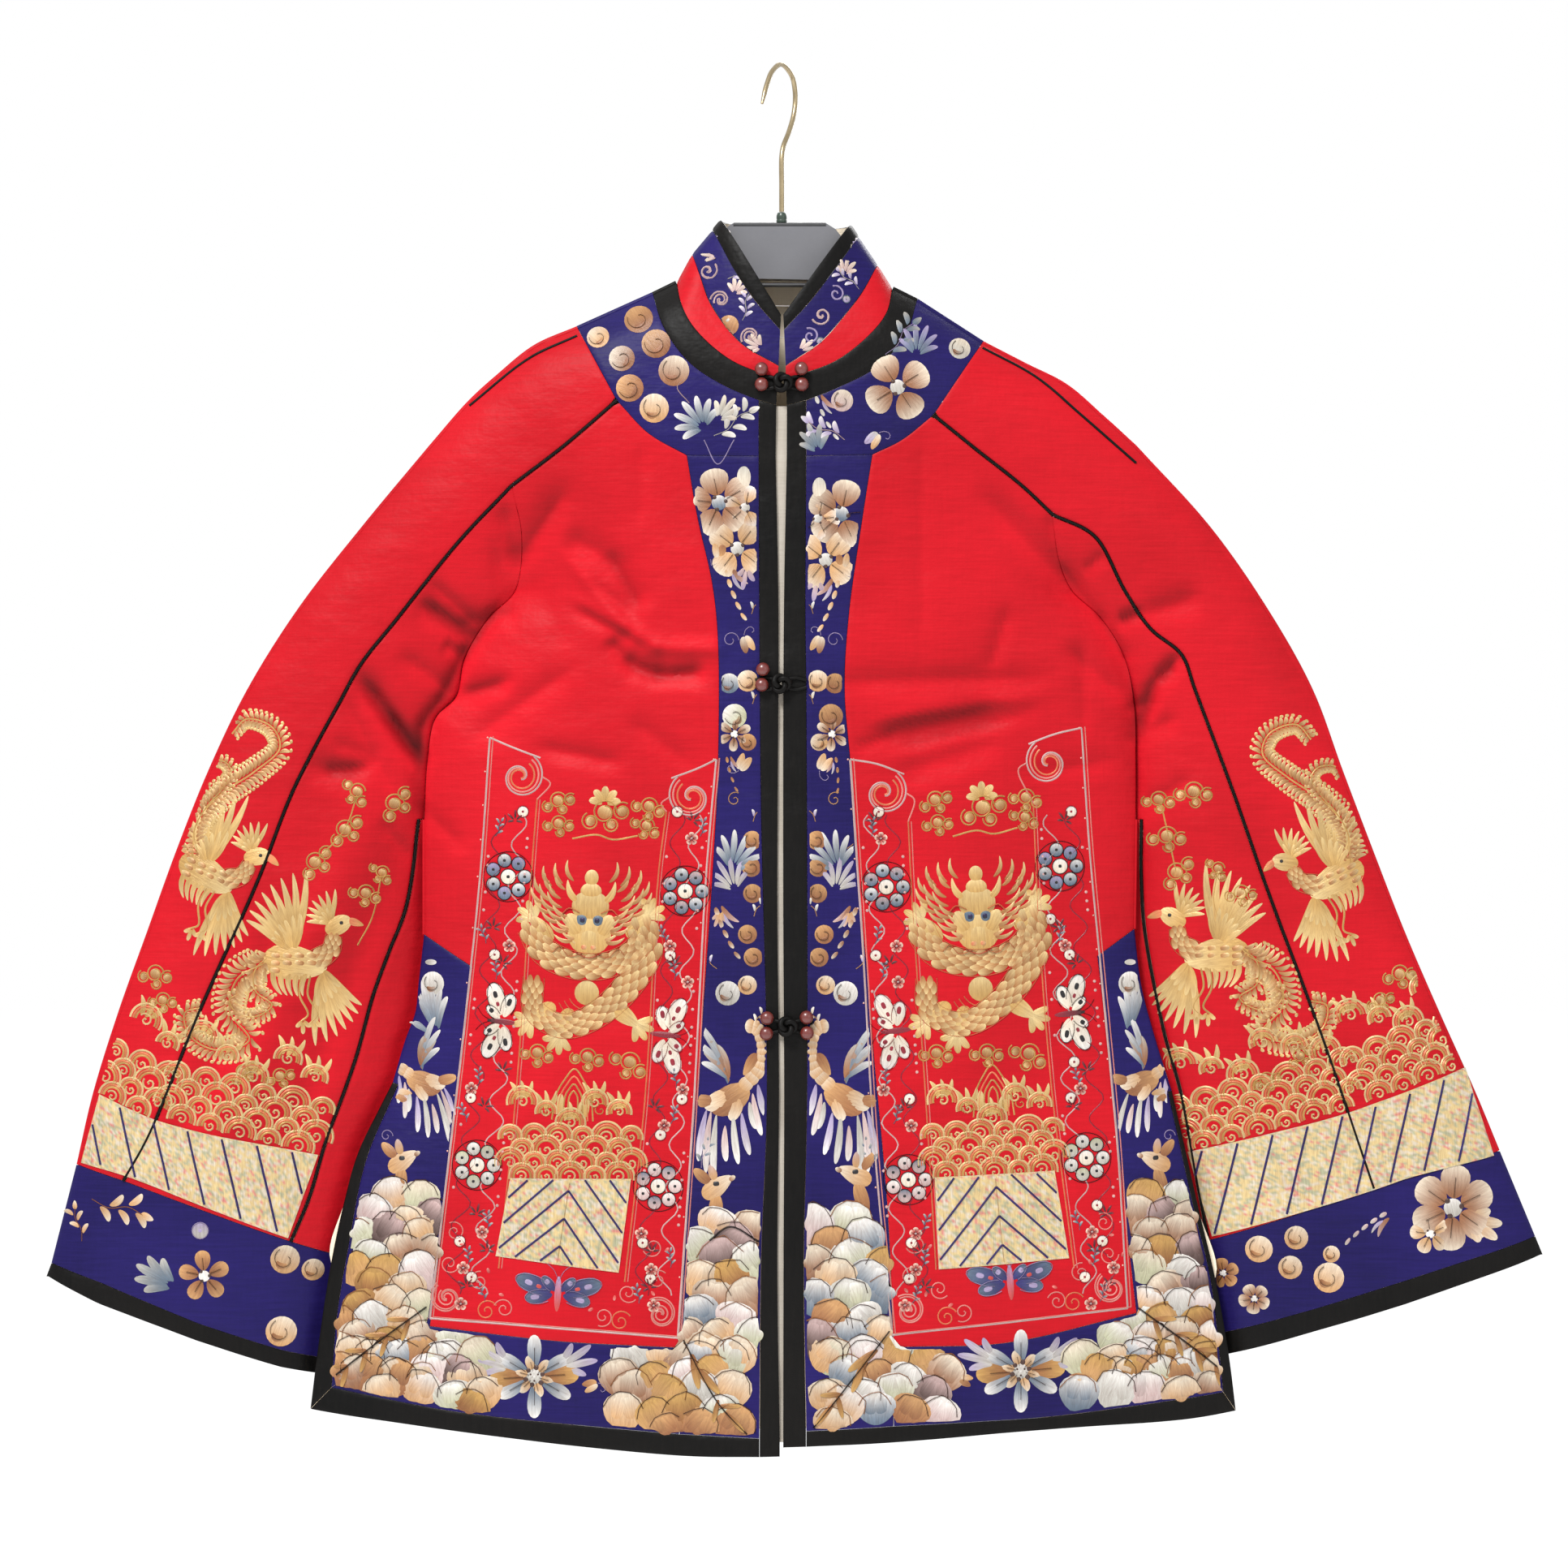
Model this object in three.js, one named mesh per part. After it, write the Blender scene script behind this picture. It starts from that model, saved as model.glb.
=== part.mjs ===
// A wide-sleeved silk jacket of the old Chinese cut, hanging on a hanger with a wire hook.
// Millimetres, +Z up, the front faces -Y. The origin is the inside of the hook's crown.
// Each cloth piece is a wall over a plan in X and Z. The front walls bulge to -Y, the back walls to +Y.
import * as THREE from "three";

const wall = 1.4;           // thickness of the cloth
const seam = 0.3;           // space between two pieces that meet
const edgeDepth = 1.8;      // from the middle of a folded edge to its outer face
const centreDepth = { front: 30, back: 20 };   // half depth of the body at its middle
const flankDepth = 12;      // half depth far out on the sleeves
const flankReach = 190;     // how far from the middle the depth has fallen by two thirds
const shoulderRound = 16;   // run of the rounding below the shoulder fold
const sideRound = 26;       // run of the rounding beside a side fold
const armpit = -446.9;      // height where the side seam starts
const creaseTop = -311;     // height where the armhole crease starts
const tuck = { crease: 4.5, side: 6, reach: 30, overlap: 8, run: 28 };
const pipingHalf = 1.2;     // half width of the piping in a seam
const pipingRise = 1.1;     // how far the piping stands out of the cloth
const ventOpen = 2.4;       // how far the front comes away at the open vents
const collarDepth = { collarBase: { front: 28, back: 18 }, collarTop: { front: 25, back: 16 } };
const bindingShare = 0.3;   // how much of the collar's height the black binding takes
// Steps that lie closer together beside one fold, and beside a fold at each end.
const neckCuts = [0, 0.04, 0.11, 0.22, 0.36, 0.5, 0.66, 0.83, 1];
const foldBoth = [0, 0.02, 0.06, 0.14, 0.26, 0.38, 0.5, 0.62, 0.74, 0.86, 0.94, 0.98, 1];

const colours = {
  red: 0xd8142a, blue: 0x2c2373, black: 0x1c1a18, grey: 0x6f6f74, brass: 0xcdbf94,
  cream: 0xc8b8a0, bead: 0x7a1c20, ferrule: 0x1d2a20,
};

// Outlines and seams of the left (-X) and right (+X) half. The columns of each table are x and z.
const left = {
  sign: -1,
  collarTop: [[-36, -91.2], [-0.4, -149.6]],
  collarBase: [[-53.3, -111.8], [-48.5, -124.8], [-41.8, -143], [-24, -166.6], [-1.8, -180.2]],
  seatEdge: [[-62.4, -128.6], [-59.5, -142.1], [-51.4, -157.4], [-30.2, -176.6], [-2.4, -188.2]],
  bandEdge: [[-76.3, -135.4], [-69.6, -156.5], [-54.2, -178.1], [-32.6, -192.5], [-13.4, -200.6]],
  bandEnd: [-3, -203.4],
  ringEdge: [[-97, -200.2], [-78.2, -219.8], [-55.7, -232.8]],
  sleeveTop: [[-121, -155.5], [-146.4, -166.6], [-168.5, -184.3], [-185.3, -199.7], [-208.3, -226.1]],
  sleeveOuter: [
    [-208.3, -226.1], [-248.2, -274.1], [-285.6, -322.1], [-315.8, -370.1], [-338.9, -418.1],
    [-358.1, -466.1], [-375.4, -514.1], [-392.6, -562.1], [-407.5, -610.1], [-417.1, -651.8],
  ],
  chestSeam: [[-97, -200.2], [-126.2, -225.1], [-159.4, -250.1]],
  sleeveSeam: [
    [-159.4, -250.1], [-190.1, -282.2], [-227, -327.8], [-249.1, -355.7], [-260.6, -376.3],
    [-288.5, -429.1], [-310.1, -484.3], [-344.2, -560.2], [-374.4, -634.1], [-389.3, -660.5],
  ],
  armhole: [
    [-159.4, -250.1], [-153.6, -278.9], [-157.9, -311], [-173.8, -327.4], [-188.2, -351.8],
    [-193, -373.9], [-205.4, -386.9], [-209.8, -408.5], [-212.2, -446.9],
  ],
  backArmhole: [[-168.5, -184.3], [-160, -250], [-166, -312], [-188, -366], [-206, -410], [-212.2, -446.9]],
  underSeam: [
    [-215.5, -446.9], [-223.2, -499.7], [-232.8, -525.1], [-241.9, -550.6], [-251.5, -585.6],
    [-258.2, -605.3], [-270.2, -637.4], [-280.3, -671.5], [-290.9, -697],
  ],
  sideUpper: [[-212.2, -446.9], [-212.2, -515]],
  sideMiddle: [[-212.2, -515], [-215.5, -543.8], [-217.4, -561.1], [-223.2, -577], [-230.9, -602.9]],
  sideLower: [
    [-230.9, -602.9], [-238.6, -618], [-251.5, -645], [-259.2, -672.5], [-267.4, -710.9],
    [-274.6, -757.9], [-279.4, -796.3],
  ],
  borderTop: [[-212.2, -515], [-182.9, -533.8]],
  borderInner: [
    [-182.9, -533.8], [-186.7, -567.8], [-192, -610.1], [-196.8, -653.8], [-200.6, -691.7],
    [-207.4, -745.4],
  ],
  ventInner: [[-227.4, -604], [-246.2, -648.5], [-256.3, -698.4], [-263.5, -742.1], [-266.4, -782.9]],
  hemTop: [[-207.4, -745.4], [-135.8, -753.1], [-60, -756.5]],
  hemSeam: [[-266.4, -782.9], [-193.4, -795.4], [-116.6, -803], [-60, -807.4], [-13, -809.8]],
  hemEdge: [[-279.4, -796.3], [-193.4, -806.9], [-107, -816.5], [-49.4, -820.4], [-13, -820.6]],
  hemFrontEnd: [-1, -820.3],
  placket: [
    [-55.7, -232.8], [-49.4, -269.3], [-40.8, -307.7], [-37.4, -340], [-37.4, -418.1],
    [-39.8, -466.1], [-44.6, -538.1], [-49.4, -600.5], [-54.2, -658.1], [-60, -756.5],
  ],
  frontSeam: [[-13.4, -233.3], [-13, -326.9], [-12, -442.1], [-8.6, -610.1], [-12, -706.1], [-13, -809.8]],
  frontEdge: [[-3.4, -233.3], [-1.7, -326.9], [-2.4, -490.1], [-1.4, -610.1], [-2.4, -706.1], [-1, -809.8]],
  cuffTop: [[-417.1, -651.8], [-389.3, -660.5], [-341.3, -678.2], [-290.9, -697], [-259.2, -708.5]],
  cuffSeam: [[-432, -710.4], [-402, -721], [-345, -745], [-295, -762], [-263.8, -770.4]],
  cuffEnd: [[-434.9, -718.1], [-404, -733], [-346, -755], [-297, -771.5], [-265.5, -779.5]],
};
const right = {
  sign: 1,
  collarTop: [[40.8, -94.1], [1, -149.6]],
  collarBase: [[57.1, -118.1], [47.5, -135.8], [38.4, -148.3], [23.5, -165.6], [2.4, -180.2]],
  seatEdge: [[65.8, -132], [62.4, -146.9], [54.2, -158.9], [32.2, -177.1], [2.4, -188.2]],
  bandEdge: [[80.2, -139.2], [73, -161.3], [56.2, -180.5], [32.2, -193.4], [14.4, -200.6]],
  bandEnd: [3, -203.4],
  ringEdge: [[89.3, -208.8], [70.6, -223.7], [53.3, -232.3]],
  sleeveTop: [[119, -164.2], [145, -177.6], [168.5, -189.6], [190, -208], [209.8, -226.1]],
  sleeveOuter: [
    [209.8, -226.1], [253.4, -274.1], [287, -322.1], [313.9, -370.1], [331.7, -418.1],
    [349.9, -466.1], [368.6, -514.1], [389.3, -562.1], [410.9, -610.1], [424.8, -643.7],
  ],
  chestSeam: [[89.3, -208.8], [113.8, -228.5], [141.6, -250.1], [159.8, -266.9]],
  sleeveSeam: [
    [159.8, -266.9], [184.8, -279.4], [203, -311.5], [218.4, -334.1], [236.6, -349.4],
    [244.3, -369.6], [265.9, -427.7], [290.4, -497.3], [311.5, -553.4], [326.9, -597.1], [349.9, -664.8],
  ],
  armhole: [
    [159.8, -266.9], [164, -293.3], [172, -311], [189, -327], [203, -350], [209, -377.3],
    [210.2, -412], [210.2, -446.9],
  ],
  backArmhole: [[168.5, -189.6], [162, -250], [168, -312], [190, -366], [206, -410], [210.2, -446.9]],
  underSeam: [
    [213.6, -446.9], [214.1, -485.3], [215.9, -513.1], [227, -571.7], [237.6, -610.1], [245.8, -654.2],
    [253.9, -697.4],
  ],
  sideUpper: [[210.2, -446.9], [209.3, -511.7]],
  sideMiddle: [[209.3, -511.7], [213.5, -545.3], [221.7, -576.5], [231.5, -607.7]],
  sideLower: [
    [231.5, -607.7], [237.6, -634.1], [247.2, -677.3], [257.3, -720], [265.4, -766.1], [269.3, -797.3],
  ],
  borderTop: [[209.3, -511.7], [186.7, -527.5]],
  borderInner: [
    [186.7, -527.5], [189.6, -552.5], [193, -586.1], [200.2, -653.3], [204, -691.7], [209.3, -737.8],
  ],
  ventInner: [[229.2, -608.4], [235, -634.6], [244.4, -677.8], [254.4, -720.6], [261.6, -786]],
  hemTop: [[209.3, -737.8], [133, -754.1], [65.8, -756.5]],
  hemSeam: [[261.6, -786], [161.8, -797.8], [110, -801], [65.8, -802.8], [14.4, -805.4]],
  hemEdge: [[269.3, -797.3], [238.6, -801.1], [161.8, -805.4], [75.4, -811.7], [14.4, -814.6]],
  hemFrontEnd: [0.8, -815],
  placket: [
    [53.3, -232.3], [47.5, -269.3], [39.4, -326.9], [37, -370.1], [40.8, -418.1], [45.6, -490.1],
    [50.4, -538.1], [54.2, -586.1], [62, -672.5], [65.8, -756.5],
  ],
  frontSeam: [[14.4, -233.3], [13.9, -326.9], [14.4, -370.1], [14.9, -610.1], [13, -706.1], [14.4, -805.4]],
  frontEdge: [[2.9, -233.3], [1.2, -326.9], [0.8, -490.1], [1.4, -610.1], [1, -706.1], [0.8, -805.4]],
  cuffTop: [[424.8, -643.7], [349.9, -664.8], [301.9, -681.1], [253.9, -697.4], [243.8, -701.3]],
  cuffSeam: [[445.9, -694.6], [364, -721], [312, -737.5], [263, -752.5], [252, -755]],
  cuffEnd: [[450.2, -705.1], [368, -733.5], [316, -749.5], [265, -765.5], [254.5, -768.5]],
};
const back = {
  collarTop: [[-36, -91.2], [0, -95.5], [40.8, -94.1]],
  collarBase: [[-53.3, -111.8], [0, -121.5], [57.1, -118.1]],
  seatEdge: [[-62.4, -128.6], [-35, -137], [0, -140], [36, -138.5], [65.8, -132]],
  bandEdge: [[-76.3, -135.4], [-48, -151], [0, -158.5], [50, -153], [80.2, -139.2]],
  ringEdge: [[-121, -155.5], [-92, -196], [0, -219], [90, -202], [119, -164.2]],
  hemTop: [[-207.4, -745.4], [0, -762], [209.3, -737.8]],
  hemSeam: [[-266.4, -782.9], [-120, -799], [0, -801], [120, -797], [261.6, -786]],
  hemEdge: [[-279.4, -796.3], [-120, -809], [0, -811], [120, -806], [269.3, -797.3]],
};

// The largest folds: columns x1, z1, x2, z2, depth (below 0 is a trough) and half width.
const folds = {
  front: [
    [-119.5, -320.6, -37.4, -348.5, -4.5, 8],
    [-123.8, -283.7, -84.5, -323.5, -2.5, 7],
    [-163.7, -265, -157.9, -294.2, -3, 6],
    [-187.2, -372, -160.8, -364.8, -2.5, 6],
    [-84.5, -391.2, -55.2, -413.3, -2, 7],
    [-210.7, -320.6, -181.4, -338.4, -4, 7],
    [-245.8, -366.2, -215, -409, -5, 8],
    [-277.4, -415.7, -251, -422.9, -2.5, 8],
    [123.4, -259.2, 170.9, -306.7, -3, 8],
    [40.8, -366.2, 143, -363.4, -2.5, 7],
    [63.8, -397, 124.8, -383, -5, 8],
    [68.2, -420, 121.9, -403.2, -2.5, 8],
    [216.5, -325, 244.3, -315.8, -3, 7],
    [-245, -450, -335, -640, 3, 16],
    [245, -450, 330, -640, 3, 16],
    [-120, -470, -135, -740, 2.5, 24],
    [110, -450, 125, -740, 2.5, 24],
  ],
  back: [
    [-90, -260, -110, -790, 4, 28],
    [80, -270, 100, -790, 4, 28],
    [0, -300, 0, -800, -4, 30],
    [-165, -330, -205, -440, -4, 12],
    [165, -335, 203, -440, -4, 12],
    [-250, -380, -345, -650, 3, 18],
    [250, -380, 345, -650, 3, 18],
  ],
};

function ease(value) {
  const t = Math.min(1, Math.max(0, value));
  return t * t * (3 - 2 * t);
}

function segmentDistance(x, z, a, b) {
  const dx = b[0] - a[0];
  const dz = b[1] - a[1];
  const along = ((x - a[0]) * dx + (z - a[1]) * dz) / (dx * dx + dz * dz);
  const t = Math.min(1, Math.max(0, along));
  return Math.hypot(x - a[0] - t * dx, z - a[1] - t * dz);
}

function lineDistance(x, z, line) {
  let least = Infinity;
  for (let i = 1; i < line.length; i += 1) {
    least = Math.min(least, segmentDistance(x, z, line[i - 1], line[i]));
  }
  return least;
}

// A smooth line through the rows, cut at the given fractions of its length or into equal steps.
function curve(rows, cuts) {
  const points = rows.map(([x, z]) => new THREE.Vector3(x, 0, z));
  const path = points.length > 2
    ? new THREE.CatmullRomCurve3(points, false, "centripetal")
    : new THREE.LineCurve3(points[0], points[1]);
  const fractions = Array.isArray(cuts) ? cuts : Array.from({ length: cuts + 1 }, (_, i) => i / cuts);
  return fractions.map((t) => {
    const p = path.getPointAt(t);
    return [p.x, p.z];
  });
}

function join(...lines) {
  return lines.reduce((whole, line) => whole.concat(line.slice(1)));
}

function between(a, b, t) {
  return a.map((value, axis) => value + (b[axis] - value) * t);
}

// A straight line in equal steps.
function straight(a, b, steps) {
  return Array.from({ length: steps + 1 }, (_, i) => between(a, b, i / steps));
}

// The points of a straight line at the given fractions.
function cut(a, b, fractions) {
  return fractions.map((t) => between(a, b, t));
}

// A line moved sideways, to the right of its direction of travel for a distance above 0.
function shift(line, distance) {
  return line.map((point, i) => {
    const before = line[Math.max(0, i - 1)];
    const after = line[Math.min(line.length - 1, i + 1)];
    const run = [after[0] - before[0], after[1] - before[1]];
    const length = Math.hypot(run[0], run[1]);
    return [point[0] + (run[1] / length) * distance, point[1] - (run[0] / length) * distance];
  });
}

const shoulderLines = [left, right].map((half) => join(
  [half.seatEdge[0], half.bandEdge[0]], [half.bandEdge[0], half.sleeveTop[0]],
  half.sleeveTop, half.sleeveOuter, [half.sleeveOuter.at(-1), half.cuffEnd[0]]));
const sideLines = [left, right].map((half) => join(
  half.armhole.filter(([, z]) => z <= creaseTop), half.sideUpper, half.sideMiddle, half.sideLower));

// How far out in X the crease or side fold of a half lies at a height.
function sideAt(half, z) {
  const line = sideLines[half === left ? 0 : 1];
  const row = line.findIndex((point) => point[1] <= z);
  if (row === 0) return line[0][0];
  if (row < 0) return line.at(-1)[0];
  const [a, b] = [line[row - 1], line[row]];
  return a[0] + ((b[0] - a[0]) * (a[1] - z)) / (a[1] - b[1]);
}

function foldSum(x, z, face) {
  return folds[face].reduce((sum, [x1, z1, x2, z2, depth, width]) => {
    const away = segmentDistance(x, z, [x1, z1], [x2, z2]) / width;
    return sum + depth * Math.exp(-away * away);
  }, 0);
}

// Half depth of the cloth at a place of the plan, for a given distance from the nearest side fold.
function halfDepth(x, z, face, fromFold) {
  const full = flankDepth + (centreDepth[face] - flankDepth) * Math.exp(-((x / flankReach) ** 2));
  const fromShoulder = Math.min(...shoulderLines.map((line) => lineDistance(x, z, line)));
  const rise = (1 - Math.exp(-fromShoulder / shoulderRound)) * (1 - Math.exp(-fromFold / sideRound));
  return edgeDepth + (full - edgeDepth + foldSum(x, z, face)) * rise;
}

function foldDistance(x, z, face) {
  const lines = face === "front" ? sideLines : sideLines.map((line) => line.filter((p) => p[1] <= armpit));
  return Math.min(...lines.map((line) => lineDistance(x, z, line)));
}

// The outer face of the body: Y at a place of the plan.
function bodyFace(face) {
  const outward = face === "front" ? -1 : 1;
  const at = (x, z) => {
    const vent = face === "front" ? ventOpen * ease((-z - 603) / 90) : 0;
    return outward * (halfDepth(x, z, face, foldDistance(x, z, face)) + vent);
  };
  return { outward, at };
}

// The outer face of a sleeve. Its inner edge lies behind the body's side fold.
function sleeveFace(half, face) {
  const outward = face === "front" ? -1 : 1;
  const at = (x, z) => {
    const beside = half.sign * (x - sideAt(half, z));
    const foldStart = face === "front" ? creaseTop : armpit;
    const fromFold = beside < 0 && z < foldStart ? 0 : foldDistance(x, z, face);
    const creaseRun = face === "front" ? (creaseTop - z) / 89 : (-425 - z) / 22;
    const behind = tuck.crease * ease(creaseRun) + tuck.side * ease((armpit - z) / tuck.run);
    return behind * Math.exp(-fromFold / tuck.reach) + outward * halfDepth(x, z, face, fromFold);
  };
  return { outward, at };
}

// Fills the space between four lines: top and bottom run one way, first and last the other.
function fill(top, bottom, first, last) {
  const rows = first.length - 1;
  const columns = top.length - 1;
  return first.map((start, j) => top.map((_, i) => [0, 1].map((axis) => {
    const u = share(top, i);
    const v = j / rows;
    const across = (1 - u) * start[axis] + u * last[j][axis];
    const along = (1 - v) * top[i][axis] + v * bottom[i][axis];
    const corners = (1 - v) * ((1 - u) * top[0][axis] + u * top[columns][axis])
      + v * ((1 - u) * bottom[0][axis] + u * bottom[columns][axis]);
    return across + along - corners;
  })));
}

// How far along a line one of its points lies, from 0 to 1.
function share(line, index) {
  let run = 0;
  let whole = 0;
  for (let i = 1; i < line.length; i += 1) {
    const step = Math.hypot(line[i][0] - line[i - 1][0], line[i][1] - line[i - 1][1]);
    whole += step;
    if (i <= index) run += step;
  }
  return run / whole;
}

// A closed solid between an outer and an inner grid of points. A round grid meets itself.
function solid(outer, inner, round = false) {
  const rows = outer.length;
  const columns = outer[0].length;
  const positions = [...outer.flat(), ...inner.flat()].flat();
  const at = (j, i, layer) => layer * rows * columns + j * columns + (i % columns);
  const index = [];
  const quad = (a, b, c, d) => index.push(a, b, c, a, c, d);
  const lastColumn = round ? columns : columns - 1;
  for (let j = 0; j + 1 < rows; j += 1) {
    for (let i = 0; i < lastColumn; i += 1) {
      quad(at(j, i, 0), at(j + 1, i, 0), at(j + 1, i + 1, 0), at(j, i + 1, 0));
      quad(at(j, i, 1), at(j, i + 1, 1), at(j + 1, i + 1, 1), at(j + 1, i, 1));
    }
  }
  for (let i = 0; i < lastColumn; i += 1) {
    quad(at(0, i, 0), at(0, i + 1, 0), at(0, i + 1, 1), at(0, i, 1));
    quad(at(rows - 1, i, 0), at(rows - 1, i, 1), at(rows - 1, i + 1, 1), at(rows - 1, i + 1, 0));
  }
  if (!round) {
    for (let j = 0; j + 1 < rows; j += 1) {
      quad(at(j, 0, 0), at(j, 0, 1), at(j + 1, 0, 1), at(j + 1, 0, 0));
      quad(at(j, columns - 1, 0), at(j + 1, columns - 1, 0), at(j + 1, columns - 1, 1), at(j, columns - 1, 1));
    }
  }
  const geometry = new THREE.BufferGeometry();
  geometry.setAttribute("position", new THREE.Float32BufferAttribute(positions, 3));
  geometry.setIndex(volume(positions, index) < 0 ? index.reverse() : index);
  geometry.computeVertexNormals();
  return geometry;
}

function volume(positions, index) {
  const corner = (k) => new THREE.Vector3().fromArray(positions, 3 * index[k]);
  let sum = 0;
  for (let k = 0; k < index.length; k += 3) {
    sum += corner(k).dot(corner(k + 1).cross(corner(k + 2)));
  }
  return sum / 6;
}

const jacket = new THREE.Group();

function add(name, geometry, colour, roughness = 0.5, metalness = 0) {
  const material = new THREE.MeshStandardMaterial({ color: colours[colour], roughness, metalness });
  const mesh = new THREE.Mesh(geometry, material);
  mesh.name = name;
  jacket.add(mesh);
  return mesh;
}

// Draws the edges of a plan grid in, so that neighbours on the same line stay a seam apart.
function inset(grid, distance = seam / 2) {
  const rows = grid.length - 1;
  const columns = grid[0].length - 1;
  const inward = (a, b, inside) => {
    const run = [b[0] - a[0], b[1] - a[1]];
    const length = Math.hypot(run[0], run[1]) || 1;
    const normal = [-run[1] / length, run[0] / length];
    const faces = normal[0] * (inside[0] - a[0]) + normal[1] * (inside[1] - a[1]) > 0 ? 1 : -1;
    return normal.map((value) => value * faces);
  };
  return grid.map((row, j) => row.map((point, i) => {
    const moves = [];
    if (i === 0 || i === columns) {
      const above = grid[Math.max(0, j - 1)][i];
      const below = grid[Math.min(rows, j + 1)][i];
      moves.push(inward(above, below, grid[j][i === 0 ? 1 : columns - 1]));
    }
    if (j === 0 || j === rows) {
      const before = row[Math.max(0, i - 1)];
      const after = row[Math.min(columns, i + 1)];
      moves.push(inward(before, after, grid[j === 0 ? 1 : rows - 1][i]));
    }
    const [first, second] = moves;
    if (!first) return point;
    if (!second) return [point[0] + first[0] * distance, point[1] + first[1] * distance];
    const reach = distance / Math.max(0.15, 1 + first[0] * second[0] + first[1] * second[1]);
    return [point[0] + (first[0] + second[0]) * reach, point[1] + (first[1] + second[1]) * reach];
  }));
}

// A cloth wall over a plan grid: the outer face follows the surface, raised if wanted.
function cloth(name, plan, surface, colour, rise = 0, thickness = wall) {
  const layer = (offset) => inset(plan).map((row) => row.map(
    ([x, z]) => [x, surface.at(x, z) + surface.outward * offset, z]));
  return add(name, solid(layer(rise), layer(-thickness)), colour);
}

// The two short lines that close the space between two long ones.
function ends(a, b) {
  return [[a[0], b[0]], [a.at(-1), b.at(-1)]];
}

// The seams of one half, each as one line that its neighbours share.
function seamsOf(half) {
  const out = half.sign;
  const pipe = pipingHalf + seam / 2;
  const chest = curve(half.chestSeam, [0, 0.15, 0.3, 0.44, 0.58, 0.72, 0.84, 0.92, 0.97, 1]);
  const sleeve = curve(half.sleeveSeam, [0, ...straight([0.01], [1, 1], 20).map(([t]) => t)]);
  const under = curve(half.underSeam, 12);
  const upperPipe = shift(join(chest, sleeve), -out * pipe);
  const lowerPipe = shift(join(chest, sleeve), out * pipe);
  upperPipe[0] = between(half.ringEdge[0], half.sleeveTop[0], 0.04);
  lowerPipe[0] = between(half.ringEdge[0], half.ringEdge[1], 0.08);
  const armhole = curve(half.armhole, [0, 0.02, 0.14, 0.28, 0.42, 0.56, 0.7, 0.85, 1]);
  armhole[0] = lowerPipe[9];
  const underOuter = shift(under, -out * pipe);
  const underInner = shift(under, out * pipe);
  const cuff = half.cuffTop;
  const step = (i, j) => pipe / Math.hypot(cuff[j][0] - cuff[i][0], cuff[j][1] - cuff[i][1]);
  upperPipe[30] = between(cuff[1], cuff[0], step(0, 1));
  lowerPipe[30] = between(cuff[1], cuff[2], step(1, 2));
  underOuter[12] = between(cuff[3], cuff[2], step(2, 3));
  underInner[12] = between(cuff[3], cuff[4], step(3, 4));
  const cuffTop = join(
    cut(cuff[0], upperPipe[30], [0, 0.1, 0.25, 0.45, 0.7, 1]), [upperPipe[30], lowerPipe[30]],
    straight(lowerPipe[30], cuff[2], 3), straight(cuff[2], underOuter[12], 3),
    [underOuter[12], underInner[12]], cut(underInner[12], cuff[4], [0, 0.5, 0.85, 1]));
  const innerEdge = straight([0, armpit], [0, cuff[4][1]], 12).map(([, z]) => {
    const overlap = tuck.overlap * ease((armpit - z) / tuck.run);
    return [sideAt(half, z) - out * overlap, z];
  });
  innerEdge[12] = cuff[4];
  const ringTop = cut(half.sleeveTop[0], upperPipe[0], [0, 0.06, 0.16, 0.32, 0.6, 1]);
  const ringLow = curve([lowerPipe[0], ...half.ringEdge.slice(1)], 5);
  const hemCorner = half.ventInner.at(-1);
  return {
    upperPipe, lowerPipe, armhole, underOuter, underInner, cuffTop, innerEdge, ringTop, ringLow,
    sleeveTop: curve(half.sleeveTop, 9),
    sleeveOuter: curve(half.sleeveOuter, 21),
    side: curve(half.sideUpper, 3),
    middle: curve(half.sideMiddle, 4),
    lower: curve(half.sideLower, 8),
    vent: curve(half.ventInner, 8),
    borderTop: curve(half.borderTop, 2),
    borderInner: curve(half.borderInner, 13),
    hemTop: curve(half.hemTop, 9),
    mitre: straight(hemCorner, half.borderInner.at(-1), 2),
    hemSeam: curve(half.hemSeam.slice(0, 4), 9),
    hemSeamEnd: straight(half.hemSeam[3], half.hemSeam[4], 4),
    hemEdge: curve(half.hemEdge, 13),
    placket: curve(half.placket, 21),
    placketEnd: straight(half.placket.at(-1), half.hemSeam[3], 2),
    frontSeam: curve(half.frontSeam, 23),
    frontEdge: curve(half.frontEdge, 23),
    seatEdge: curve(half.seatEdge, neckCuts),
    bandEdge: curve(half.bandEdge, neckCuts),
    bandFoot: straight(half.bandEdge.at(-1), half.frontSeam[0], 3),
    ringFoot: straight(half.ringEdge.at(-1), half.frontSeam[0], 4),
  };
}

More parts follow.
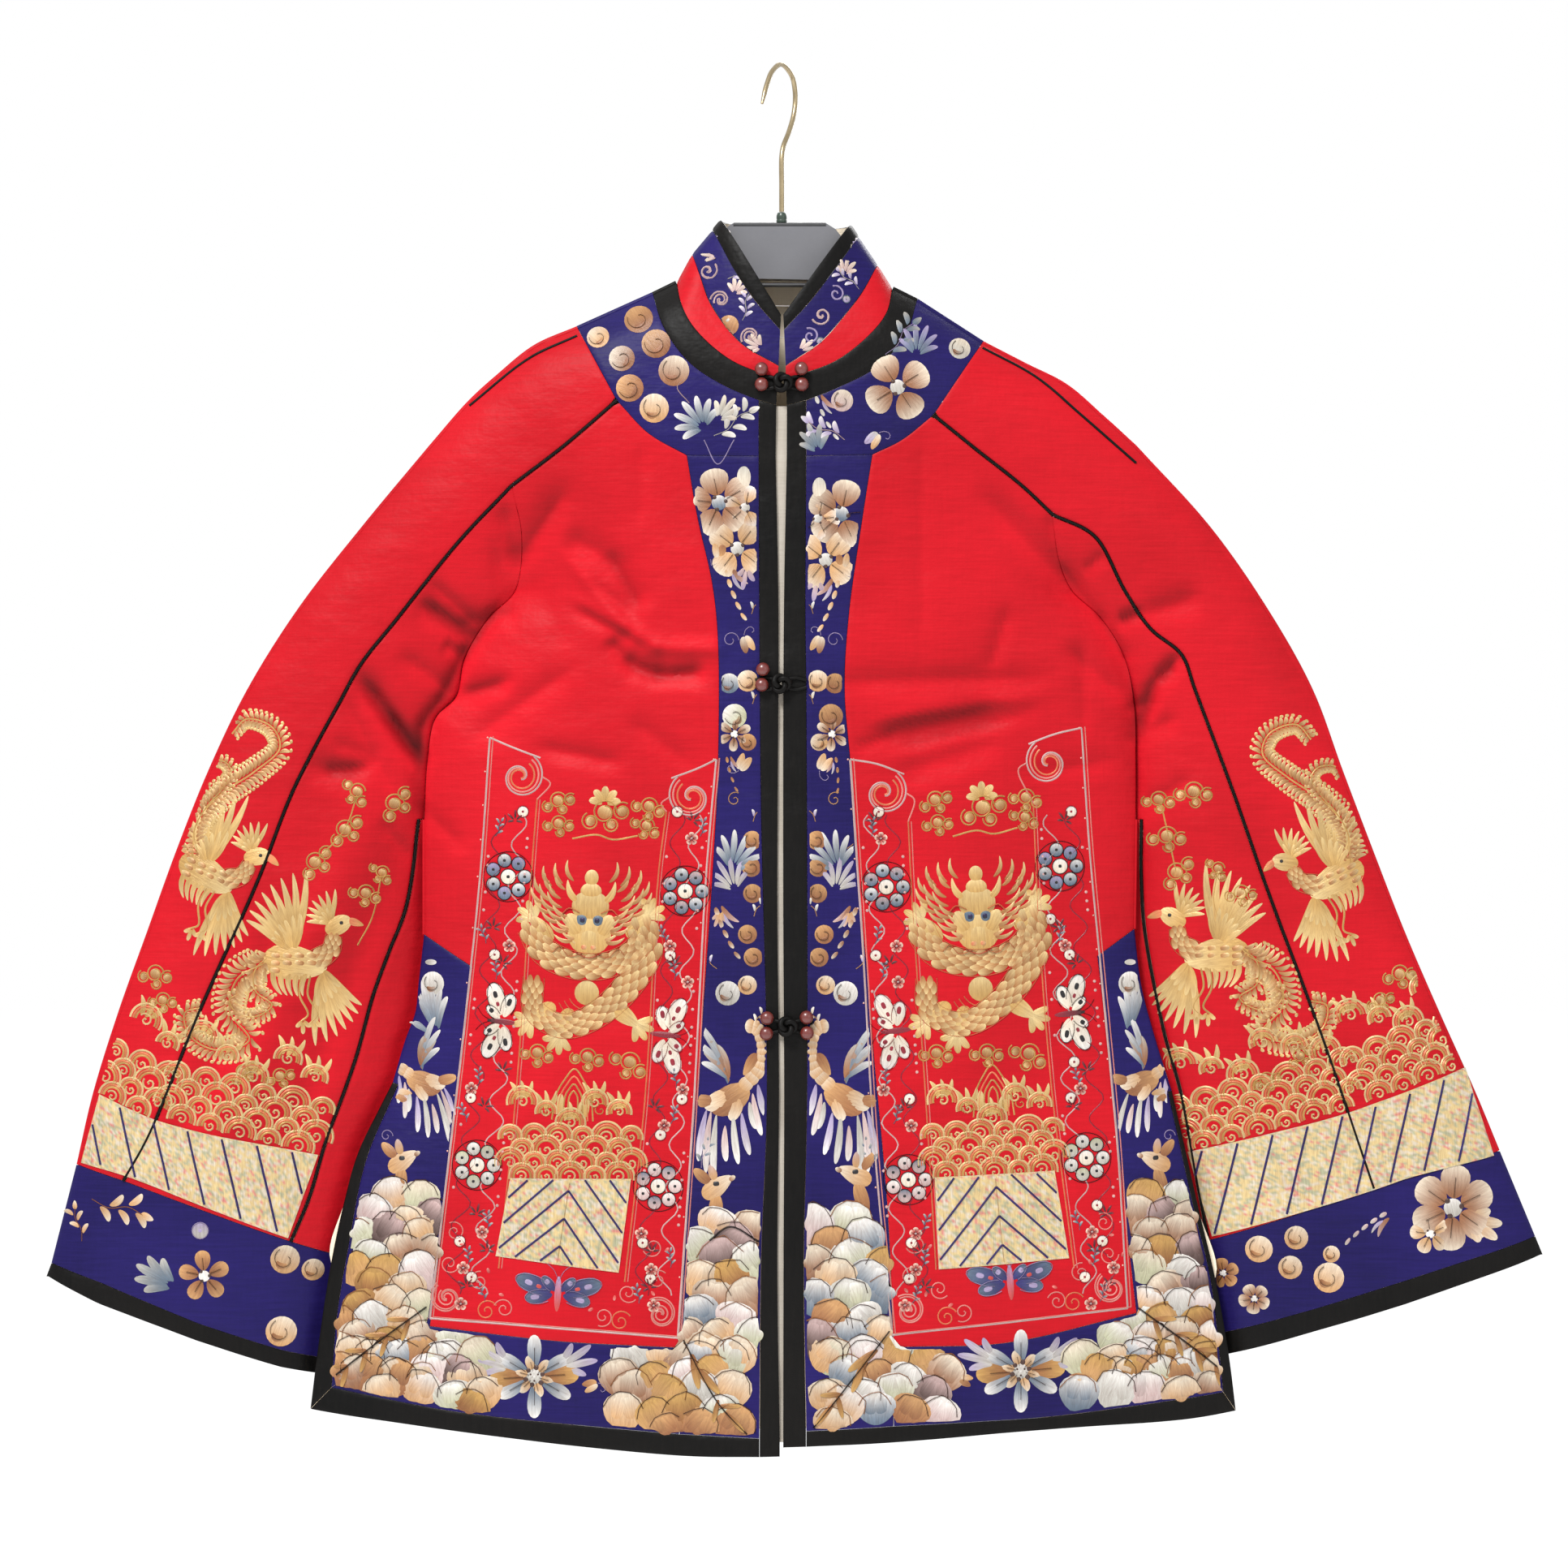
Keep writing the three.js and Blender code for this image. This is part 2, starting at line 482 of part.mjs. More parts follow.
function addFront(half, line, name) {
  const face = bodyFace("front");
  const chest = line.lowerPipe.slice(0, 10).reverse();
  const borderLine = join(line.armhole, line.side, line.borderTop, line.borderInner);
  const ringAndPlacket = join(line.ringLow, line.placket);
  cloth(`front_panel_${name}`, fill(chest, line.hemTop, borderLine, ringAndPlacket), face, "red");
  const borderOuter = join(line.middle, [line.middle.at(-1), line.vent[0]], line.vent);
  cloth(`side_border_${name}`, fill(line.borderTop, line.mitre, borderOuter, line.borderInner), face, "blue");
  cloth(`vent_binding_${name}`, fill(...ends(line.lower, line.vent), line.lower, line.vent), face, "black");
  cloth(`hem_border_${name}`, fill(line.hemTop, line.hemSeam, [...line.mitre].reverse(), line.placketEnd),
    face, "blue");
  const bindingTop = join(line.hemSeam, line.hemSeamEnd);
  const bindingPlan = fill(bindingTop, line.hemEdge, ...ends(bindingTop, line.hemEdge));
  cloth(`hem_binding_${name}`, bindingPlan, face, "black");
  cloth(`placket_${name}`, fill(line.ringFoot, line.hemSeamEnd, join(line.placket, line.placketEnd),
    line.frontSeam), face, "blue");
  const bandLine = join(line.bandFoot, line.frontSeam, [line.frontSeam.at(-1), line.hemEdge.at(-1)]);
  const frontLine = join(straight(half.bandEnd, line.frontEdge[0], 3), line.frontEdge,
    [line.frontEdge.at(-1), half.hemFrontEnd]);
  cloth(`edge_band_${name}`, fill(...ends(bandLine, frontLine), bandLine, frontLine), face, "black");
  const neckLow = [...line.bandEdge.slice(0, -1), half.bandEnd];
  cloth(`neck_band_${name}`, fill(line.seatEdge, neckLow, ...ends(line.seatEdge, neckLow)), face, "black");
  const ringOuter = join(line.ringTop, [line.ringTop.at(-1), line.ringLow[0]], line.ringLow);
  const ringInner = join(line.bandEdge, line.bandFoot);
  cloth(`cloud_ring_${name}`, fill(straight(ringOuter[0], ringInner[0], 4), line.ringFoot,
    ringOuter, ringInner), face, "blue");
}

function addSleeve(half, line, name) {
  const front = sleeveFace(half, "front");
  const rear = sleeveFace(half, "back");
  const outerFold = join(line.sleeveTop, line.sleeveOuter);
  cloth(`sleeve_upper_${name}`, fill(line.ringTop, line.cuffTop.slice(0, 6), outerFold, line.upperPipe),
    front, "red");
  const inner = join(line.armhole.slice(1), [line.armhole.at(-1), line.underOuter[0]], line.underOuter);
  const outer = line.lowerPipe.slice(10);
  cloth(`sleeve_lower_${name}`, fill(straight(outer[0], inner[0], 6), line.cuffTop.slice(6, 13), outer, inner),
    front, "red");
  cloth(`sleeve_gusset_${name}`, fill(cut(line.underInner[0], line.innerEdge[0], [0, 0.5, 0.85, 1]),
    line.cuffTop.slice(13), line.underInner, line.innerEdge), front, "red");
  addPiping(`sleeve_piping_${name}`, line.upperPipe, line.lowerPipe, front);
  addPiping(`gusset_piping_${name}`, line.underOuter, line.underInner, front);
  const start = between(half.sleeveTop[2], half.sleeveTop[3], 0.35);
  const shoulder = between(half.backArmhole[0], start, 0.15);
  const fold = curve([start, ...half.sleeveTop.slice(3), ...half.sleeveOuter.slice(1)], 24);
  const armholeLine = curve(half.backArmhole, 12);
  armholeLine[0] = shoulder;
  const bottom = [0, 1, 2, 5, 6, 9, 12, 13, 15, 16].map((i) => line.cuffTop[i]);
  const shares = bottom.map((_, i) => share(bottom, i));
  cloth(`sleeve_back_${name}`, fill(cut(start, shoulder, shares), bottom, fold,
    join(armholeLine, line.innerEdge)), rear, "red");
  const seamLine = alongLine(half.cuffSeam, line.cuffTop);
  const endLine = alongLine(half.cuffEnd, line.cuffTop);
  cuff(`cuff_band_${name}`, [line.cuffTop, seamLine], 2, front, rear, "blue");
  cuff(`cuff_binding_${name}`, [seamLine, endLine], 1, front, rear, "black");
}

function addPiping(name, one, other, surface) {
  cloth(name, fill(...ends(one, other), one, other), surface, "black", pipingRise);
}

// The points of a table's line at the shares that a pattern line has.
function alongLine(rows, pattern) {
  const path = new THREE.CurvePath();
  rows.slice(1).forEach(([x, z], i) => path.add(new THREE.LineCurve3(
    new THREE.Vector3(rows[i][0], 0, rows[i][1]), new THREE.Vector3(x, 0, z))));
  return pattern.map((_, i) => {
    const p = path.getPointAt(share(pattern, i));
    return [p.x, p.z];
  });
}

// A band that runs round the end of a sleeve, between two plan lines.
function cuff(name, [top, bottom], steps, front, rear, colour) {
  const height = Math.hypot(top[8][0] - bottom[8][0], top[8][1] - bottom[8][1]);
  const rows = straight([seam / 2 / height], [1 - seam / 2 / height], steps).map(([t]) => top.map(
    (point, i) => between(point, bottom[i], t)));
  const loop = (row, offset) => {
    const last = row.length - 1;
    const plan = row.map((point, i) => {
      const inside = i === 0 ? row[1] : row[last - 1];
      const away = Math.hypot(inside[0] - point[0], inside[1] - point[1]);
      return i === 0 || i === last ? between(point, inside, offset / away) : point;
    });
    const wrap = (surface) => plan.map(([x, z], i) => [x, surface.at(...row[i]) - surface.outward * offset, z]);
    return [...wrap(front), ...wrap(rear).reverse()];
  };
  add(name, solid(rows.map((row) => loop(row, 0)), rows.map((row) => loop(row, wall)), true), colour);
}

function addBack() {
  const face = bodyFace("back");
  const edges = [left, right].map((half) => {
    const hemStart = half === left ? back.hemTop[0] : back.hemTop.at(-1);
    const side = join(half.sideUpper, half.sideMiddle, half.sideLower);
    const sideRows = side.filter(([, z]) => z > hemStart[1] + 5);
    const shoulder = curve(half.sleeveTop.slice(0, 3), 3);
    return join(shoulder, curve(half.backArmhole, 12), curve([...sideRows, hemStart], 12));
  });
  const ring = curve(back.ringEdge, foldBoth);
  const hemTop = curve(back.hemTop, foldBoth);
  const hemSeam = curve(back.hemSeam, foldBoth);
  cloth("back_panel", fill(ring, hemTop, edges[0], edges[1]), face, "red");
  cloth("back_hem_border", fill(hemTop, hemSeam, ...ends(hemTop, hemSeam)), face, "blue");
  const hemEdge = curve(back.hemEdge, foldBoth);
  cloth("back_hem_binding", fill(hemSeam, hemEdge, ...ends(hemSeam, hemEdge)), face, "black");
  const band = curve(back.bandEdge, foldBoth);
  const seat = curve(back.seatEdge, foldBoth);
  cloth("back_neck_band", fill(seat, band, ...ends(seat, band)), face, "black");
  const shoulders = [straight(band[0], ring[0], 3), straight(band.at(-1), ring.at(-1), 3)];
  cloth("back_cloud_ring", fill(band, ring, ...shoulders), face, "blue");
}

// The collar stands on the neck band. Its loops run from the left front edge round the back.
function addCollar() {
  const onCloth = (face) => {
    const surface = bodyFace(face);
    return ([x, z]) => [x, surface.at(x, z), z];
  };
  const oval = (table) => (face) => ([x, z]) => {
    const end = (x < 0 ? left : right)[table][0][0];
    const round = collarDepth[table][face] * Math.sqrt(Math.max(0, 1 - (x / end) ** 2));
    return [x, (face === "front" ? -1 : 1) * (edgeDepth + round), z];
  };
  const loopOf = (table, place) => [
    ...curve(left[table], neckCuts).reverse().map(place("front")),
    ...curve(back[table], foldBoth).map(place("back")),
    ...curve(right[table], neckCuts).map(place("front")),
  ];
  const seat = loopOf("seatEdge", onCloth);
  const base = loopOf("collarBase", oval("collarBase"));
  const top = loopOf("collarTop", oval("collarTop"));
  const bind = top.map((point, i) => between(point, base[i], bindingShare));
  loopWall("collar_seat", seat, base, "red", 1);
  loopWall("collar_band", base, bind, "blue", 2);
  loopWall("collar_binding", bind, top, "black", 1, 0.5);
}

// A wall between two loops of points, drawn in by half a seam at both.
function loopWall(name, low, high, colour, steps, rise = 0) {
  const rows = straight([0], [1], steps).map(([t]) => low.map((point, i) => {
    const height = Math.hypot(...point.map((value, axis) => high[i][axis] - value));
    const margin = (0.9 * seam) / height;
    return between(point, high[i], margin + t * (1 - 2 * margin));
  }));
  const vector = (p) => new THREE.Vector3(...p);
  const offset = (distance) => rows.map((row, j) => row.map((point, i) => {
    const along = vector(row[Math.min(row.length - 1, i + 1)]).sub(vector(row[Math.max(0, i - 1)]));
    const up = vector(rows[rows.length - 1][i]).sub(vector(rows[0][i]));
    const normal = up.cross(along).normalize();
    if (normal.dot(new THREE.Vector3(point[0], point[1], 0)) < 0) normal.negate();
    return vector(point).addScaledVector(normal, distance).toArray();
  }));
  add(name, solid(offset(rise), offset(-wall)), colour);
}

// The strip of lining that backs the slit between the front edges.
function addUnderlap() {
  const face = bodyFace("front");
  const reach = 9;
  const below = wall + 0.8;
  const edge = (x) => straight([x, -204], [x, -812], 24);
  const plan = fill(...ends(edge(-reach), edge(reach)), edge(-reach), edge(reach));
  const layer = (depth) => plan.map((row) => row.map(([x, z]) => [x, face.at(0, z) + depth, z]));
  add("underlap_lining", solid(layer(below), layer(below + wall)), "cream");
}

// Knots over the slit and the beads beside them: columns x, z and radius.
function addClosures() {
  const face = bodyFace("front");
  const knots = [[0.6, -190.5, 6.2], [-0.4, -367, 6.2], [3.4, -568, 6.2]];
  const beads = [
    [-11.8, -182.6, 4.1], [-11.8, -191.6, 4.1], [11.6, -182.4, 4.1], [11.9, -191.6, 4.1],
    [-11, -358.6, 4.1], [-11.6, -367.7, 4.1],
    [-8.6, -563, 4.1], [-9, -572.1, 4.1], [14.6, -562.6, 4.1], [14.9, -571.8, 4.1],
  ];
  const ball = (name, [x, z, radius], flat, colour, lift) => {
    const ahead = Math.min(...[-1, 0, 1].map((i) => face.at(x + i * radius, z)));
    const sphere = new THREE.SphereGeometry(radius, 10, 6).scale(1, flat, 1);
    sphere.translate(x, ahead - radius * flat - lift, z);
    add(name, sphere, colour, 0.35);
  };
  knots.forEach((row, i) => ball(`knot_${i + 1}`, row, 0.75, "black", 0.1));
  beads.forEach((row, i) => ball(`bead_${String(i + 1).padStart(2, "0")}`, row, 0.8, "bead", 0.4));
}

// The hanger: its body lies inside the shoulders and stays half a millimetre from the cloth.
function addHanger() {
  const halfThick = 5;
  const armCuts = [0, 0.15, 0.3, 0.45, 0.6, 0.75, 0.88, 0.96];
  const drop = 2.8;
  const neck = [
    [-57, -131.5], [-47, -114.5], [-31.5, -95.2], [-29, -93.6],
    [26.5, -93.6], [32, -97], [50, -120], [60, -135],
  ];
  const arm = (side) => curve([side.bandEdge[0], ...side.sleeveTop.slice(0, 3)], armCuts);
  const leftTop = shift(arm(left), -drop).reverse();
  const rightTop = shift(arm(right), drop);
  const top = [...leftTop, ...neck, ...rightTop];
  const lower = top.map(([x, z]) => {
    const middle = Math.exp(-((x / 34) ** 4));
    return [x, -130.5 * middle + (1 - middle) * (z - 26 + 8 * ease((Math.abs(x) - 110) / 60))];
  });
  const face = bodyFace("front");
  const rear = bodyFace("back");
  const halfAt = (x, z) => {
    const inside = Math.min(Math.abs(face.at(x, z)), rear.at(x, z)) - wall;
    const inNeck = Math.abs(x) < 55;
    return inNeck ? halfThick : Math.min(halfThick, 0.6 * inside - 0.2);
  };
  const grid = [0, 0.12, 0.3, 0.6, 1].map((t) => top.map((point, i) => between(point, lower[i], t)));
  const layer = (sign) => grid.map((row) => row.map(([x, z]) => [x, sign * halfAt(x, z), z]));
  add("hanger_body", solid(layer(-1), layer(1)), "grey", 0.5);

  const ferrule = new THREE.CylinderGeometry(3.1, 3.1, 6.6, 16).rotateX(Math.PI / 2).translate(0, 0, -89.8);
  add("hanger_ferrule", ferrule, "ferrule", 0.4, 0.3);

  const wire = 1.5;
  const turn = 2.05;          // the hook's plane is turned: Y grows this much faster than X
  const route = [
    [-11.5, -25.4], [-8.6, -13], [-5.3, -4], [0, 1.5], [5.6, -2.6], [8, -12], [7.4, -25], [4.4, -37],
    [1, -47], [0, -54], [0, -70], [0, -86.1],
  ];
  const path = new THREE.CatmullRomCurve3(route.map(([x, z]) => new THREE.Vector3(x, turn * x, z)));
  const circle = new THREE.Shape().absarc(0, 0, wire, 0, 2 * Math.PI);
  const hook = new THREE.ExtrudeGeometry(circle, { steps: 30, extrudePath: path, curveSegments: 4 });
  add("hanger_hook", hook, "brass", 0.3, 0.6);
}

const lines = [seamsOf(left), seamsOf(right)];
addHanger();
addCollar();
[[left, "left"], [right, "right"]].forEach(([half, name], i) => {
  addFront(half, lines[i], name);
  addSleeve(half, lines[i], name);
});
addBack();
addUnderlap();
addClosures();

export default jacket;
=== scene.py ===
import bpy
import numpy as np
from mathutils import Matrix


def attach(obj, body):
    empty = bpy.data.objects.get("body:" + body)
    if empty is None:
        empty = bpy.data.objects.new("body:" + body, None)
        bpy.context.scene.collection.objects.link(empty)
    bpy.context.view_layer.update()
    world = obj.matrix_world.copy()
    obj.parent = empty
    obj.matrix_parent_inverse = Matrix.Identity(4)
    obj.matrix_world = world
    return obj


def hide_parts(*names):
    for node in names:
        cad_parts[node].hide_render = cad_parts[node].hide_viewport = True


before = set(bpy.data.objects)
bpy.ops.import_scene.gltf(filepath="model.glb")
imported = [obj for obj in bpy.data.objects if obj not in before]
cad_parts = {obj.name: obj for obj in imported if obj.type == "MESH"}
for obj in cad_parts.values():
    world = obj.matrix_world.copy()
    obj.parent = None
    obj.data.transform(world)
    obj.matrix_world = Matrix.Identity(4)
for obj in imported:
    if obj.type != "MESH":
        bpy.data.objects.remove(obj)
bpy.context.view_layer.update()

# ---- Plan of the jacket ------------------------------------------------------------------------
# The jacket hangs flat, so every edge and seam is a line in X and Z, in millimetres, and the
# cloth is a wall over that plan. Each half has its own lines; the back has lines of its own.
LEFT = {
    "sign": -1,
    "collar_top": [[-36, -91.2], [-0.4, -149.6]],
    "collar_base": [[-53.3, -111.8], [-48.5, -124.8], [-41.8, -143], [-24, -166.6], [-1.8, -180.2]],
    "seat_edge": [[-62.4, -128.6], [-59.5, -142.1], [-51.4, -157.4], [-30.2, -176.6], [-2.4, -188.2]],
    "band_edge": [[-76.3, -135.4], [-69.6, -156.5], [-54.2, -178.1], [-32.6, -192.5], [-13.4, -200.6]],
    "band_end": [-3, -203.4],
    "ring_edge": [[-97, -200.2], [-78.2, -219.8], [-55.7, -232.8]],
    "sleeve_top": [[-121, -155.5], [-146.4, -166.6], [-168.5, -184.3], [-185.3, -199.7], [-208.3, -226.1]],
    "sleeve_outer": [[-208.3, -226.1], [-248.2, -274.1], [-285.6, -322.1], [-315.8, -370.1],
        [-338.9, -418.1], [-358.1, -466.1], [-375.4, -514.1], [-392.6, -562.1], [-407.5, -610.1],
        [-417.1, -651.8]],
    "chest_seam": [[-97, -200.2], [-126.2, -225.1], [-159.4, -250.1]],
    "sleeve_seam": [[-159.4, -250.1], [-190.1, -282.2], [-227, -327.8], [-249.1, -355.7],
        [-260.6, -376.3], [-288.5, -429.1], [-310.1, -484.3], [-344.2, -560.2], [-374.4, -634.1],
        [-389.3, -660.5]],
    "armhole": [[-159.4, -250.1], [-153.6, -278.9], [-157.9, -311], [-173.8, -327.4], [-188.2, -351.8],
        [-193, -373.9], [-205.4, -386.9], [-209.8, -408.5], [-212.2, -446.9]],
    "back_armhole": [[-168.5, -184.3], [-160, -250], [-166, -312], [-188, -366], [-206, -410],
        [-212.2, -446.9]],
    "under_seam": [[-215.5, -446.9], [-223.2, -499.7], [-232.8, -525.1], [-241.9, -550.6],
        [-251.5, -585.6], [-258.2, -605.3], [-270.2, -637.4], [-280.3, -671.5], [-290.9, -697]],
    "side_upper": [[-212.2, -446.9], [-212.2, -515]],
    "side_middle": [[-212.2, -515], [-215.5, -543.8], [-217.4, -561.1], [-223.2, -577], [-230.9, -602.9]],
    "side_lower": [[-230.9, -602.9], [-238.6, -618], [-251.5, -645], [-259.2, -672.5], [-267.4, -710.9],
        [-274.6, -757.9], [-279.4, -796.3]],
    "border_top": [[-212.2, -515], [-182.9, -533.8]],
    "border_inner": [[-182.9, -533.8], [-186.7, -567.8], [-192, -610.1], [-196.8, -653.8],
        [-200.6, -691.7], [-207.4, -745.4]],
    "vent_inner": [[-227.4, -604], [-246.2, -648.5], [-256.3, -698.4], [-263.5, -742.1], [-266.4, -782.9]],
    "hem_top": [[-207.4, -745.4], [-135.8, -753.1], [-60, -756.5]],
    "hem_seam": [[-266.4, -782.9], [-193.4, -795.4], [-116.6, -803], [-60, -807.4], [-13, -809.8]],
    "hem_edge": [[-279.4, -796.3], [-193.4, -806.9], [-107, -816.5], [-49.4, -820.4], [-13, -820.6]],
    "hem_front_end": [-1, -820.3],
    "placket": [[-55.7, -232.8], [-49.4, -269.3], [-40.8, -307.7], [-37.4, -340], [-37.4, -418.1],
        [-39.8, -466.1], [-44.6, -538.1], [-49.4, -600.5], [-54.2, -658.1], [-60, -756.5]],
    "front_seam": [[-13.4, -233.3], [-13, -326.9], [-12, -442.1], [-8.6, -610.1], [-12, -706.1],
        [-13, -809.8]],
    "front_edge": [[-3.4, -233.3], [-1.7, -326.9], [-2.4, -490.1], [-1.4, -610.1], [-2.4, -706.1],
        [-1, -809.8]],
    "cuff_top": [[-417.1, -651.8], [-389.3, -660.5], [-341.3, -678.2], [-290.9, -697], [-259.2, -708.5]],
    "cuff_seam": [[-432, -710.4], [-402, -721], [-345, -745], [-295, -762], [-263.8, -770.4]],
    "cuff_end": [[-434.9, -718.1], [-404, -733], [-346, -755], [-297, -771.5], [-265.5, -779.5]],
}
RIGHT = {
    "sign": 1,
    "collar_top": [[40.8, -94.1], [1, -149.6]],
    "collar_base": [[57.1, -118.1], [47.5, -135.8], [38.4, -148.3], [23.5, -165.6], [2.4, -180.2]],
    "seat_edge": [[65.8, -132], [62.4, -146.9], [54.2, -158.9], [32.2, -177.1], [2.4, -188.2]],
    "band_edge": [[80.2, -139.2], [73, -161.3], [56.2, -180.5], [32.2, -193.4], [14.4, -200.6]],
    "band_end": [3, -203.4],
    "ring_edge": [[89.3, -208.8], [70.6, -223.7], [53.3, -232.3]],
    "sleeve_top": [[119, -164.2], [145, -177.6], [168.5, -189.6], [190, -208], [209.8, -226.1]],
    "sleeve_outer": [[209.8, -226.1], [253.4, -274.1], [287, -322.1], [313.9, -370.1], [331.7, -418.1],
        [349.9, -466.1], [368.6, -514.1], [389.3, -562.1], [410.9, -610.1], [424.8, -643.7]],
    "chest_seam": [[89.3, -208.8], [113.8, -228.5], [141.6, -250.1], [159.8, -266.9]],
    "sleeve_seam": [[159.8, -266.9], [184.8, -279.4], [203, -311.5], [218.4, -334.1], [236.6, -349.4],
        [244.3, -369.6], [265.9, -427.7], [290.4, -497.3], [311.5, -553.4], [326.9, -597.1],
        [349.9, -664.8]],
    "armhole": [[159.8, -266.9], [164, -293.3], [172, -311], [189, -327], [203, -350], [209, -377.3],
        [210.2, -412], [210.2, -446.9]],
    "back_armhole": [[168.5, -189.6], [162, -250], [168, -312], [190, -366], [206, -410], [210.2, -446.9]],
    "under_seam": [[213.6, -446.9], [214.1, -485.3], [215.9, -513.1], [227, -571.7], [237.6, -610.1],
        [245.8, -654.2], [253.9, -697.4]],
    "side_upper": [[210.2, -446.9], [209.3, -511.7]],
    "side_middle": [[209.3, -511.7], [213.5, -545.3], [221.7, -576.5], [231.5, -607.7]],
    "side_lower": [[231.5, -607.7], [237.6, -634.1], [247.2, -677.3], [257.3, -720], [265.4, -766.1],
        [269.3, -797.3]],
    "border_top": [[209.3, -511.7], [186.7, -527.5]],
    "border_inner": [[186.7, -527.5], [189.6, -552.5], [193, -586.1], [200.2, -653.3], [204, -691.7],
        [209.3, -737.8]],
    "vent_inner": [[229.2, -608.4], [235, -634.6], [244.4, -677.8], [254.4, -720.6], [261.6, -786]],
    "hem_top": [[209.3, -737.8], [133, -754.1], [65.8, -756.5]],
    "hem_seam": [[261.6, -786], [161.8, -797.8], [110, -801], [65.8, -802.8], [14.4, -805.4]],
    "hem_edge": [[269.3, -797.3], [238.6, -801.1], [161.8, -805.4], [75.4, -811.7], [14.4, -814.6]],
    "hem_front_end": [0.8, -815],
    "placket": [[53.3, -232.3], [47.5, -269.3], [39.4, -326.9], [37, -370.1], [40.8, -418.1],
        [45.6, -490.1], [50.4, -538.1], [54.2, -586.1], [62, -672.5], [65.8, -756.5]],
    "front_seam": [[14.4, -233.3], [13.9, -326.9], [14.4, -370.1], [14.9, -610.1], [13, -706.1],
        [14.4, -805.4]],
    "front_edge": [[2.9, -233.3], [1.2, -326.9], [0.8, -490.1], [1.4, -610.1], [1, -706.1], [0.8, -805.4]],
    "cuff_top": [[424.8, -643.7], [349.9, -664.8], [301.9, -681.1], [253.9, -697.4], [243.8, -701.3]],
    "cuff_seam": [[445.9, -694.6], [364, -721], [312, -737.5], [263, -752.5], [252, -755]],
    "cuff_end": [[450.2, -705.1], [368, -733.5], [316, -749.5], [265, -765.5], [254.5, -768.5]],
}
BACK = {
    "collar_top": [[-36, -91.2], [0, -95.5], [40.8, -94.1]],
    "collar_base": [[-53.3, -111.8], [0, -121.5], [57.1, -118.1]],
    "seat_edge": [[-62.4, -128.6], [-35, -137], [0, -140], [36, -138.5], [65.8, -132]],
    "band_edge": [[-76.3, -135.4], [-48, -151], [0, -158.5], [50, -153], [80.2, -139.2]],
    "ring_edge": [[-121, -155.5], [-92, -196], [0, -219], [90, -202], [119, -164.2]],
    "hem_top": [[-207.4, -745.4], [0, -762], [209.3, -737.8]],
    "hem_seam": [[-266.4, -782.9], [-120, -799], [0, -801], [120, -797], [261.6, -786]],
    "hem_edge": [[-279.4, -796.3], [-120, -809], [0, -811], [120, -806], [269.3, -797.3]],
}
HALVES = ((LEFT, "left"), (RIGHT, "right"))
SHOULDERS = [[half["seat_edge"][0], half["band_edge"][0], *half["sleeve_top"], *half["sleeve_outer"][1:],
    half["cuff_end"][0]] for half in (LEFT, RIGHT)]
CREASE_TOP, ARMPIT = -311, -446.9
SIDES = [[p for p in half["armhole"] if p[1] <= CREASE_TOP] + half["side_upper"][1:] + half["side_middle"][1:]
    + half["side_lower"][1:] for half in (LEFT, RIGHT)]
WALL, EDGE_DEPTH, FLANK = 1.4, 1.8, 12

